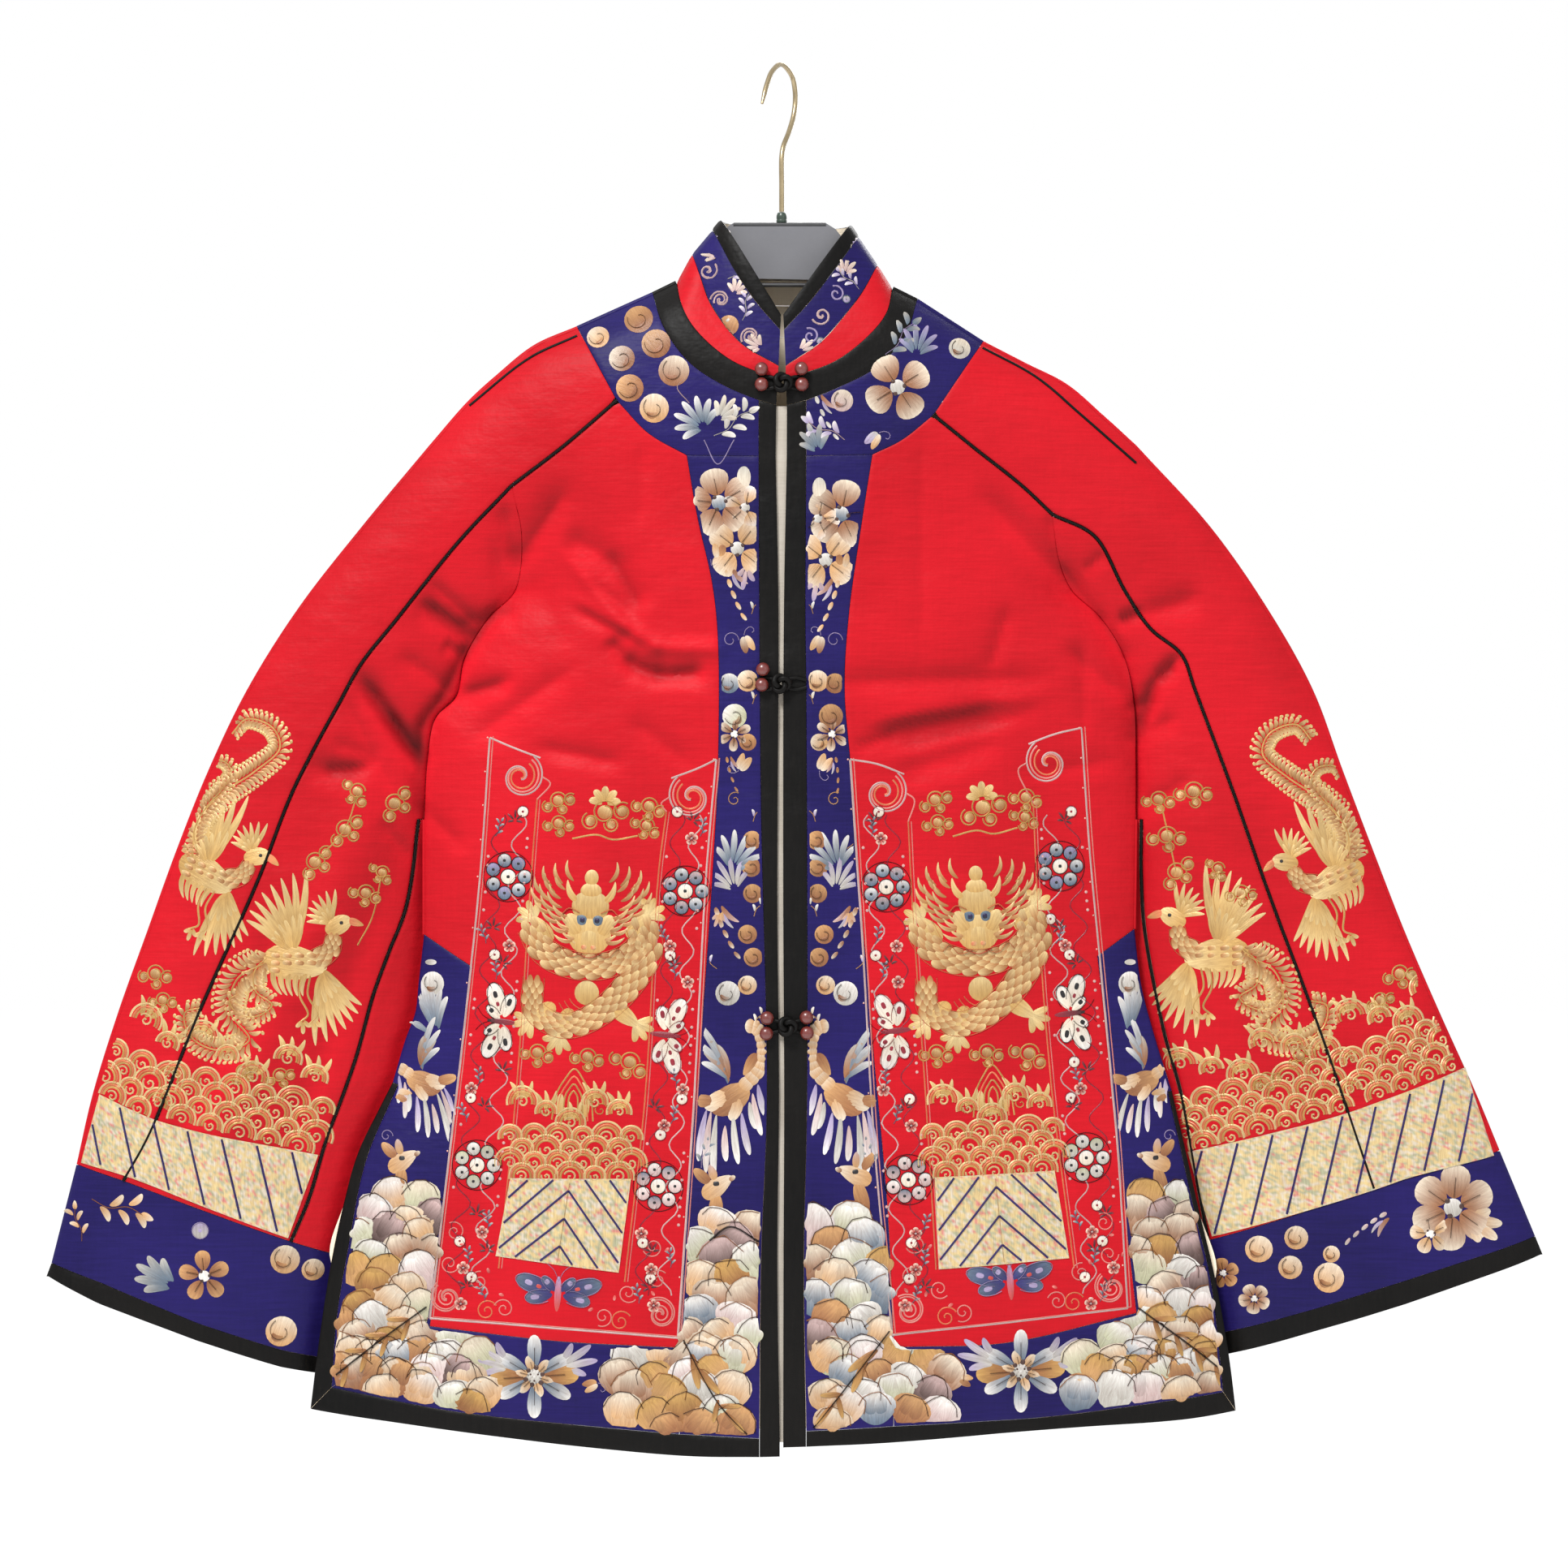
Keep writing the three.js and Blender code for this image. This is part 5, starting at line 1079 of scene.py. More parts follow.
        return make(name, np.concatenate(points), [np.concatenate(quads), np.concatenate(triangles)],
            [silk_thread, gold_thread], slot, [quad_kinds.astype(int), end_kinds.astype(int)],
            np.concatenate(colours), np.concatenate(uv), 60)


def at(column, row):
    """A place of the plan, counted in squares of 0.48 mm on the maker's drafting grid."""
    return complex((column - 963) * 0.48, (79 - row) * 0.48)


def turned(degrees, size=1.0):
    """A factor that turns and scales: size times e to the i times the angle."""
    return size * np.exp(1j * np.radians(degrees))


def bow(*points):
    """A smooth line through points of the plan."""
    return in_plan(smooth([(p.real, p.imag) for p in map(complex, points)]))


def spray(work, place, *rows):
    """Puts motifs on a cloth. A row has the motif, the two numbers of its place, its turn in
    degrees, its size and, if it is flipped from side to side, True."""
    for motif, across, along, degrees, size, *flipped in rows:
        work.put(motif, place(across, along), turned(degrees, size), *flipped)


def spiral(turns, start=1.0, end=0.12, phase=0.0):
    """Radius goes evenly from start to end as the angle runs through the turns."""
    t = np.linspace(0, 1, int(24 * abs(turns)) + 4)
    return (start + (end - start) * t) * np.exp(1j * (phase + 2 * np.pi * turns * t))


def disc(low="tan", high="cream"):
    """A coin of shaded satin stitch with a swirl."""
    m = Needlework()
    m.lay((0, turned(70), 2.0, low, high, 0, 0, 0.9),
        (-0.25 - 0.35j, turned(-20, 0.55), 0.6, "brown", low, 0, 0.5, 1.2))
    m.cord(spiral(0.8, 0.8, 0.3, 2.0), "dark", 0.5, 1.15)
    return m


def ringed(low="grey", high="white", rim="black"):
    """A small disc with a dark rim and a dark eye."""
    m = Needlework()
    m.petal(0, 1j, 2.0, low, high, rise=0.6)
    m.cord(1.05 * spiral(1, 1, 1), rim, 0.7, 0.6)
    m.petal(0, 0.3j, 0.6, rim, rim, rise=1.0)
    return m


def flower(count=5, low="brown", high="cream", heart="grey", slim=0.82, reach=0.62):
    """Round petals about a knotted heart, each with a dark vein."""
    m = Needlework()
    for k in range(count):
        d = turned(360 * (k + 0.25) / count)
        m.petal(reach * d, (1 - reach) * 1.05 * d, slim, low, high, 0.25, rise=0.95)
        m.cord([0.25 * d, (reach + 0.1) * d], "dark", 0.45, 1.2)
    m.petal(0, 0.22j, 0.44, heart, "white", rise=1.3)
    for k in range(3):
        m.petal(turned(120 * k, 0.2), 0.07j, 0.14, "dark", "dark", rise=1.6)
    return m


def fan(count, spread_, low, high, slim=0.16, short=0.3):
    """Slim feathers or leaves that spread from one point, the outer ones shorter."""
    m = Needlework()
    for k in range(count):
        share = 2 * k / max(1, count - 1) - 1
        size = 1 - short * share * share
        d = turned(90 - share * spread_ / 2, size)
        m.petal(0.58 * d, 0.42 * d, slim, low, high, 0.2, -0.15 * share)
    return m


def sprig(leaves=5, tone="brown", low="tan", high="grey"):
    """A bowed stem with leaves on both sides and a bud at its tip."""
    m = Needlework()
    stem = bow(0, 0.1 + 0.35j, 0.02 + 0.7j, 0.12 + 1j)
    m.cord(stem, tone, 0.6)
    for k in range(leaves):
        foot, way = stem[int((k + 1) / (leaves + 1) * (len(stem) - 1))], 1 if k % 2 else -1
        d = turned(90 + way * 48, 0.2)
        m.petal(foot + d, 0.8 * d, 0.13, low, high, 0.1, 0.2 * way)
    m.petal(0.14 + 1.08j, turned(75, 0.13), 0.14, low, high, -0.3, rise=0.8)
    return m


def bud(low="brown", high="cream"):
    """A closed bud of two petals on a curled stem."""
    m = Needlework()
    m.lay((-0.18, turned(80, 0.55), 0.55, low, high, 0.2, 0, 0.9),
        (0.2, turned(102, 0.55), 0.5, "tan", "cream", 0.2, 0, 1.1))
    m.cord(bow(0.6j, 0.2 + 0.9j, 0.6 + 1.0j, 0.75 + 0.7j, 0.55 + 0.6j), "lilac", 0.6)
    return m


def twig(parts=5, low="tan", high="cream"):
    """A jointed twig: short bars end to end on an arc."""
    m = Needlework()
    for k in range(parts):
        s = k / (parts - 1)
        m.petal(complex(0.25 * s * s, 1 - 2 * s), turned(-90 + 25 * s, 0.19), 0.2 - 0.04 * s, low, high, rise=0.9)
    m.lay((0.45 + 0.7j, turned(-60, 0.5), 0.22, "brown", "mauve", -0.2, 0.2),
        (0.3 + 0.5j, turned(-75, 0.4), 0.16, "lilac", "grey", -0.2, 0.2))
    return m


def crane():
    """A crane that turns its thick neck down, with slim wings raised and long pale tail feathers."""
    m = Needlework()
    for spot, angle, size, wide, low, high in ((-3.2, 175, 1.7, 1.5, "brown", "tan"),
            (0, 30, 2.6, 3.3, "brown", "tan"), (-1.0, 200, 2.2, 2.4, "tan", "cream"),
            (0.6 - 0.9j, 250, 1.7, 1.7, "tan", "cream")):
        m.petal(spot, turned(angle, size), wide, low, high, rise=1.0)
    neck = bow(1.6 + 1.4j, 3.6 + 3.4j, 4.3 + 5.8j, 3.6 + 8.2j, 1.9 + 8.6j)
    for k in range(0, len(neck) - 5, 4):
        m.petal(neck[k + 2], 1.0 * (neck[k + 4] - neck[k]), 1.7, "tan", "cream", rise=1.1)
    m.petal(2.6 + 4.0j, turned(235, 1.5), 1.3, "brown", "tan", -0.4, rise=1.1)
    for k, (tip, high) in enumerate(((-3.2 + 9.6j, "white"), (-2.4 + 8.2j, "grey"), (-3.4 + 7.2j, "white"),
            (-2.6 + 5.9j, "grey"), (-3.0 + 4.7j, "white"), (-1.0 + 6.6j, "grey"))):
        root = 0.2 + (2.0 + 0.1 * k) * 1j
        m.petal((root + tip) / 2, (tip - root) / 2, 0.85, "brown" if k % 2 else "slate", high, 0.25, 0.14)
    for k, (root, tip) in enumerate(((-2.4 - 1.2j, -3.4 - 8.4j), (-1.8 - 1.6j, -2.5 - 9.2j), (-2.9 - 1j, -4.2 - 7j),
            (-0.8 - 3j, -0.9 - 7.2j), (0.2 - 1.6j, 0.5 - 7.6j), (1.2 - 1.6j, 1.9 - 6.6j), (2.6 + 0.6j, 3.4 - 4.4j),
            (2.2 - 0.4j, 2.8 - 3.6j), (3.3 + 1.6j, 4.0 - 2.2j))):
        m.petal((root + tip) / 2, (tip - root) / 2, 0.8, ("mauve", "grey", "lilac")[k % 3], "white", 0.3, 0.05)
    return m


def deer():
    """A fawn's head that looks back, with its ears up."""
    m = Needlework()
    m.lay((0.1 - 0.55j, turned(100, 0.4), 0.34, "brown", "tan", 0, 0, 0.9),
        (0, turned(150, 0.42), 0.42, "tan", "cream", -0.35, 0, 1.1),
        (0.34 + 0.28j, turned(48, 0.25), 0.26, "brown", "tan", -0.1, 0, 1.2),
        (0.08 + 0.34j, turned(80, 0.2), 0.2, "tan", "mauve", -0.1, 0, 1.2),
        (0.02 + 0.07j, 0.1, 0.15, "black", "black", 0, 0, 1.7),
        (-0.36 + 0.16j, turned(150, 0.09), 0.12, "brown", "cream", 0, 0, 1.3))
    return m


def butterfly(low="cream", high="white", spot="black", edge="wine", flat=0.6):
    """Spread wings seen from above, pressed flat, with eyes on the wings, and a ringed body."""
    m = Needlework()
    for way in (-1, 1):
        for k, (angle, size, wide) in enumerate(((38, 0.62, 0.62), (68, 0.5, 0.34), (-28, 0.42, 0.5))):
            d = turned(angle if way > 0 else 180 - angle, size)
            d = complex(1.25 * d.real, flat * d.imag)
            m.petal(0.95 * d, 0.68 * d, (0.3 + 0.7 * flat) * wide, low, high, 0.35)
            turn = np.linspace(-2.2, 2.2, 14)
            m.cord(d * (0.95 + 0.72 * np.cos(turn)) + 0.52j * wide * (0.3 + 0.7 * flat) * d / abs(d) * np.sin(turn),
                spot, 0.6, 0.8)
            m.petal(1.15 * d, 0.12 * d / size, 0.16, spot, spot, rise=1.2)
            if k == 0:
                m.petal(0.75 * d, 0.08 * d / size, 0.12, edge, edge, rise=1.2)
        m.cord(bow(0.3j, 0.12 * way + 0.55j, 0.3 * way + 0.7j), spot, 0.45)
    m.petal(0, 0.42j, 0.16, edge, spot, rise=1.1)
    return m


def roundel(tone="grey", heart="slate"):
    """Seven rimmed discs about an eighth."""
    m = Needlework()
    m.cord(1.02 * spiral(1, 1, 1), "black", 0.6)
    for k in range(7):
        m.put(ringed(tone, heart if k % 2 else "white"), turned(360 * k / 7, 0.68), 0.27)
    m.put(ringed("cream", "white"), 0, 0.3)
    return m


def scales(m, path, wide, thin):
    """A row of overlapping scales on a path whose width goes from wide to thin, with a rim."""
    rows, overlap = np.column_stack([path.real, path.imag]), 0.26
    total, s, feet = length_of(rows), 0.0, []
    while s < total:
        feet.append((s / total, wide + (thin - wide) * s / total))
        s += overlap * feet[-1][1]
    spots = in_plan(spread(rows, [f for f, _ in feet] + [1.0]))
    for k, (_, width) in enumerate(feet):
        way = spots[k + 1] - spots[k]
        way /= max(abs(way), 1e-6)
        for across in ((-0.33, 0, 0.33) if k % 2 else (-0.17, 0.17)):
            m.petal(spots[k] + 1j * across * width * way, -0.3 * width * way, 0.31 * width, "ochre", "pale", 0.2,
                rise=0.8, tilt=0.5)
    even = in_plan(spread(rows, np.linspace(0, 1, 40)))
    run = np.gradient(even)
    for side in (-1, 1):
        width = wide + (thin - wide) * np.linspace(0, 1, 40)
        m.cord(even + side * 0.5j * width * run / abs(run), "salmon", 0.6, 0.6)


def feathers(m, root, angle, spread_, count, size, wide):
    """A wing: feathers fan out from a root, with a row of short ones over them."""
    for layer, part in ((count, 1.0), (count - 2, 0.55)):
        for k in range(layer):
            share = k / max(1, layer - 1)
            d = turned(angle + spread_ * (share - 0.5), size * part * (1 - 0.3 * share))
            m.petal(root + 0.55 * d, 0.45 * d, wide, "gold", "pale", -0.25, 0.1, rise=0.6 + 0.3 * (part < 1))


def plume(m, path, wide, thin):
    """A lacy tail: a stem with paired leaflets that sweep back, and a curl at each fourth one."""
    rows = np.column_stack([path.real, path.imag])
    count = int(length_of(rows) / 0.62)
    spots = in_plan(spread(rows, np.linspace(0, 1, count + 1)))
    m.cord(path, "gold", 1.4)
    for k in range(count):
        way, size = spots[k + 1] - spots[k], wide + (thin - wide) * k / count
        way /= abs(way)
        for side in (-1, 1):
            axis = 0.3 * size * way * turned(side * 62)
            m.lay((spots[k] + 1.25 * axis, axis, 0.55, "ochre", "pale", 0.1, 0.3 * side),
                (spots[k] + 2.5 * axis, 0.26 * way, 0.42, "gold", "pale"))


def phoenix(tail):
    """A phoenix in gold: crested head, two wings, and one long plumed tail on a given path."""
    m = Needlework()
    plume(m, tail, 3.6, 1.5)
    plume(m, 0.4 + 0.8j + (tail - tail[0]) * turned(16, 0.62) + tail[0], 2.2, 1.0)
    feathers(m, 0.6 + 1.0j, 112, 62, 8, 10.5, 0.95)
    feathers(m, 3.8 - 0.8j, -70, 52, 7, 9.5, 0.95)
    m.petal(0.6, turned(-8, 4.0), 4.2, "gold", "pale", -0.2, rise=1.2)
    for k in range(9):
        place = complex(-1.8 + 1.5 * (k % 4), 0.9 - 0.9 * (k // 4))
        m.petal(place, turned(170, 0.75), 0.8, "ochre", "pale", rise=1.9)
    scales(m, bow(3.4 + 0.4j, 5.0 + 1.6j, 5.4 + 3.4j), 2.8, 1.9)
    m.lay((5.9 + 4.6j, turned(30, 1.7), 2.3, "gold", "pale", 0, 0, 1.3),
        (8.0 + 4.9j, turned(-20, 1.0), 0.9, "salmon", "gold", -0.4, 0, 1.0),
        (6.3 + 4.9j, 0.28, 0.55, "black", "black", 0, 0, 2.4))
    feathers(m, 5.0 + 4.9j, 128, 95, 7, 4.2, 0.6)
    for k in (0, 1):
        m.cord(bow(1.4 + 1.1 * k - 1.6j, 1.2 + k - 4j, 2.2 + 1.2 * k - 6.4j, 1.4 + 1.4 * k - 7.2j), "gold", 1.6)
        m.put(fan(3, 80, "gold", "pale", 0.3), 1.6 + 1.4 * k - 7j, turned(180, 1.8))
    for k in range(5):
        m.petal(-1.8 + 0.9 * k - 2.2j, turned(-75 - 8 * k, 1.9), 0.7, "gold", "pale", -0.2, 0.3)
    return m


def clouds(m, place, size, turn):
    """A cloud scroll: lobes of laid gold with curls on them."""
    for k, (spot, r) in enumerate(((0, 1.0), (1.25 - 0.3j, 0.75), (-1.15 - 0.35j, 0.7), (0.25 - 1.0j, 0.6))):
        c = place + size * spot * turned(turn)
        m.petal(c, turned(70 + 50 * k, 0.5 * r * size), r * size, "ochre", "pale", rise=0.5)
        m.cord(c + size * r * 0.92 * spiral(1.25, 1, 0.5, k), "gold", 1.2, 0.6)


def waves(m, first, last, rows, pitch, tall=1.0):
    """Rows of breaking waves on a line: nested arches with a curl in each, and foam on top."""
    count = max(2, int(abs(last - first) / pitch))
    step = (last - first) / count
    up = 1j * step / abs(step) * (1 if step.real > 0 else -1)
    for j in range(rows):
        for i in range(count + j % 2):
            c = first + step * (i + 0.5 * ((j + 1) % 2)) + up * j * pitch * 0.55
            if j == rows - 1:
                c += up * pitch * tall * (0.5 + 0.5 * np.sin(2.1 * i + 1))
                for k in range(3):
                    m.petal(c + up * pitch * 0.5 + (k - 1) * 0.3 * step, up * pitch * turned(25 - 25 * k, 0.4),
                        0.22 * pitch, "gold", "pale", -0.3, 0.2)
            size = 1 + 0.18 * np.sin(3.7 * i + 1.9 * j)
            for r, tone in ((0.56, "pale"), (0.45, "salmon"), (0.36, "gold")):
                m.cord(c + up * pitch * size * r * np.exp(1j * np.linspace(-1.8, 1.8, 14)), tone, 1.7, 0.6)
            m.cord(c + 0.24 * size * pitch * up * spiral(1.3 * (1 if i % 2 else -1), 1, 0.1, 1.2), "pale", 1.4, 0.7)


def dragon():
    """A front-facing dragon in laid gold, coiled about a pearl, under a canopy."""
    m = Needlework()
    chance = np.random.default_rng(5)
    scales(m, bow(6.4 + 2.4j, 7.2 - 0.6j, 5.2 - 4.8j, 1.6 - 8.6j, -2.6 - 10.4j, -6.4 - 8.6j, -6.6 - 4.6j), 4.0, 2.6)
    scales(m, bow(-7.2 + 1.6j, -5.6 - 1.2j, -2.6 - 2.7j, 1.4 - 2.9j, 4.8 - 1.5j, 7.2 + 1.2j), 3.6, 3.0)
    for x, z, angle in ((-6.6, -9.8, 215), (6.0, -9.6, -35), (-6.8, 2.4, 130), (6.9, 3.4, 50), (-3, -11.4, 250)):
        m.petal(complex(x, z) - turned(angle, 1.4), turned(angle, 2.0), 2.0, "gold", "pale", -0.3, rise=1.0)
        m.put(fan(4, 100, "pale", "gold", 0.34, 0.1), complex(x, z), turned(angle - 90, 2.6))
    for k in range(44):
        way, level = (-1 if k % 2 else 1), k // 2
        z = 8.6 - 0.42 * level
        spot = complex(way * (2.9 + 1.9 * np.sin(level * 0.22) + 1.0 * (level % 3)), z)
        m.petal(spot, turned(90 - way * (18 + 3 * level), 1.35), 0.5, "ochre", "pale", -0.3, 0.35 * way)
    m.petal(0 - 6.2j, 1.5j, 3.0, "gold", "pale", rise=1.3)
    for r in (2.3, 3.0, 3.7):
        m.cord(-6.0j + r * np.exp(1j * np.linspace(-2.7, -0.45, 14)), "salmon", 0.8)
    for x, z, angle, size, wide, high in ((0, 1.0, 90, 2.6, 5.4, 1.1), (-1.9, 2.0, 120, 1.6, 2.0, 1.4),
            (1.9, 2.0, 60, 1.6, 2.0, 1.4), (0, 4.4, 90, 2.0, 4.6, 1.2), (0, 0.2, 90, 1.7, 2.6, 1.7),
            (0, 6.3, 90, 1.0, 2.6, 1.3), (0, 7.9, 90, 1.0, 1.7, 1.3)):
        m.petal(complex(x, z), turned(angle, size), wide, "gold", "pale", rise=high)
    for way in (-1, 1):
        m.lay((way * 1.0 + 2.7j, 0.75j, 1.45, "slate", "slate", 0, 0, 2.4),
            (way * 0.9 + 2.7j, 0.45j, 0.85, "black", "navy", 0, 0, 3.4),
            (way * 0.55 - 0.6j, 0.45, 0.7, "salmon", "pale", 0, 0, 2.3))
        m.couch((bow(way * 1.3 + 3.6j, way * 2.6 + 4.1j, way * 3.4 + 3.4j), "salmon", 0.8, 1.4),
            (bow(way * 0.8 - 1.4j, way * 2.4 - 1.8j, way * 3.6 - 0.6j, way * 4.4 - 1.4j), "salmon", 0.7, 1.5))
        m.petal(way * 2.4 + 6.0j, turned(90 - way * 30, 1.6), 0.8, "gold", "pale", -0.4, 0.3 * way)
    m.cord(bow(-1.6 - 1.3j, 0 - 1.9j, 1.6 - 1.3j), "rose", 0.7, 1.6)
    for x, z, size in ((1.2, 16.0, 1.7), (-4.6, 17.2, 1.2), (-4.4, 14.4, 1.1), (6.6, 17.0, 1.2), (6.4, 14.6, 1.1),
            (-5.8, -13.8, 1.2), (0.4, -14.0, 1.2), (5.6, -14.4, 1.4)):
        clouds(m, complex(x, z), size, chance.uniform(-30, 30))
    m.cord(bow(-2.6 + 12.6j, 0.4 + 13.2j, 2.4 + 12.7j, 5.4 + 13.3j), "gold", 1.4)
    m.put(fan(5, 150, "gold", "pale", 0.42, 0.1), 1.2 + 17j, 2.2)
    return m


def mountain():
    """Three nested peaks with scrolls at their feet."""
    m = Needlework()
    for r in (1.0, 0.74, 0.48, 0.24):
        m.cord(bow(-0.9 * r - 1j, -0.75 * r + 0.1j * r, -0.42 * r + 0.75j * r, 1.25j * r, 0.42 * r + 0.75j * r,
            0.75 * r + 0.1j * r, 0.9 * r - 1j), "gold" if r != 0.74 else "salmon", 1.3)
    for way in (-1, 1):
        m.petal(way * 0.55 - 0.35j, turned(90, 0.5), 0.34, "gold", "pale")
        m.cord(way * 1.2 - 0.5j + 0.34 * spiral(1.4 * way, 1, 0.1), "gold", 0.9)
    return m


def field(name, edges, place):
    """A field of close gold couching between four plan lines, flecked with green and rose."""
    plan = fill(*[[np.asarray(edge, float)] for edge in edges], 1.7)
    rows, columns = plan.shape[:2]
    chance = np.random.default_rng(rows)
    y = place(plan[..., 0], plan[..., 1])
    top, low = (np.stack([plan[..., 0], y - lift, plan[..., 1]], -1).reshape(-1, 3) for lift in (0.55, -0.4))
    picks = chance.choice(4, rows * columns, p=[0.22, 0.48, 0.22, 0.08])
    tones = np.array([TONES[key] for key in ("cream", "pale", "green", "pink")])[picks]
    uv = plan.reshape(-1, 2) * 0.12
    return make(name, np.concatenate([top, low]), [grid_faces(rows, columns),
        grid_faces(rows, columns, rows * columns)[:, ::-1], rim_faces(rows, columns)], [gold_thread], "red_silk",
        None, np.tile(tones, (2, 1)), np.tile(uv, (2, 1)))


# ---- Embroidery of the plackets, ring and borders ----------------------------------------------
# Shaded silks of cream, tan, brown, grey and lilac on the navy satin: coins, flowers, buds, cranes
# and fawns, and overlapping rocks like scales along the hem.
SHADES = [("brown", "cream"), ("brown", "tan"), ("slate", "white"), ("tan", "cream"), ("green", "white"),
    ("dark", "mauve"), ("tan", "white"), ("green", "cream"), ("brown", "gold")]


def rocks(work, corner, across, rows, columns, pitch, chance, border):
    """Overlapping scallops in staggered rows, each tilted so that its tip covers the next one's root."""
    shades = SHADES + [("brown", "cream"), ("tan", "gold"), ("grey", "white"), ("mauve", "white"), ("tan", "cream")]
    for j in range(rows):
        for i in range(columns):
            place = corner + pitch * (across * (i + 0.5 * (j % 2)) - 0.54j * j)
            place += complex(*chance.uniform(-0.14, 0.14, 2)) * pitch
            if not within(np.array([place]), border)[0]:
                continue
            low, high = shades[chance.integers(len(shades))]
            axis = turned(90 + chance.uniform(-35, 35), 0.6 * pitch * chance.uniform(0.8, 1.15))
            work.petal(place, axis, 1.25 * pitch, low, high, 0.22, rise=0.2, tilt=0.9)
            for k in (-1, 1):
                work.petal(place + 0.12 * axis + 0.3j * k * axis, 0.66 * axis * turned(-12 * k), 0.55 * pitch, low,
                    high, 0.2, rise=0.5, tilt=0.9)
            corners = chance.uniform(0.92, 1.1, 6) * np.exp(1j * (np.linspace(-1.35, 1.35, 6)))
            work.cord(place + axis * corners, "dark" if chance.random() < 0.7 else "brown", 0.9, 1.1)


def blue_border(half):
    """The closed line just inside the blue placket, hem border and side border."""
    way, curve = half["sign"], curves(half)
    runs = [curve["front_seam"], curve["hem_seam"][::-1], curve["vent_inner"][::-1],
        curve["side_middle"][::-1], curve["border_top"], curve["border_inner"],
        curve["hem_top"], curve["placket"][::-1]]
    closed = in_plan(np.vstack(runs))
    run = np.gradient(closed)
    return closed + 1.4j * way * run / np.maximum(abs(run), 1e-6)


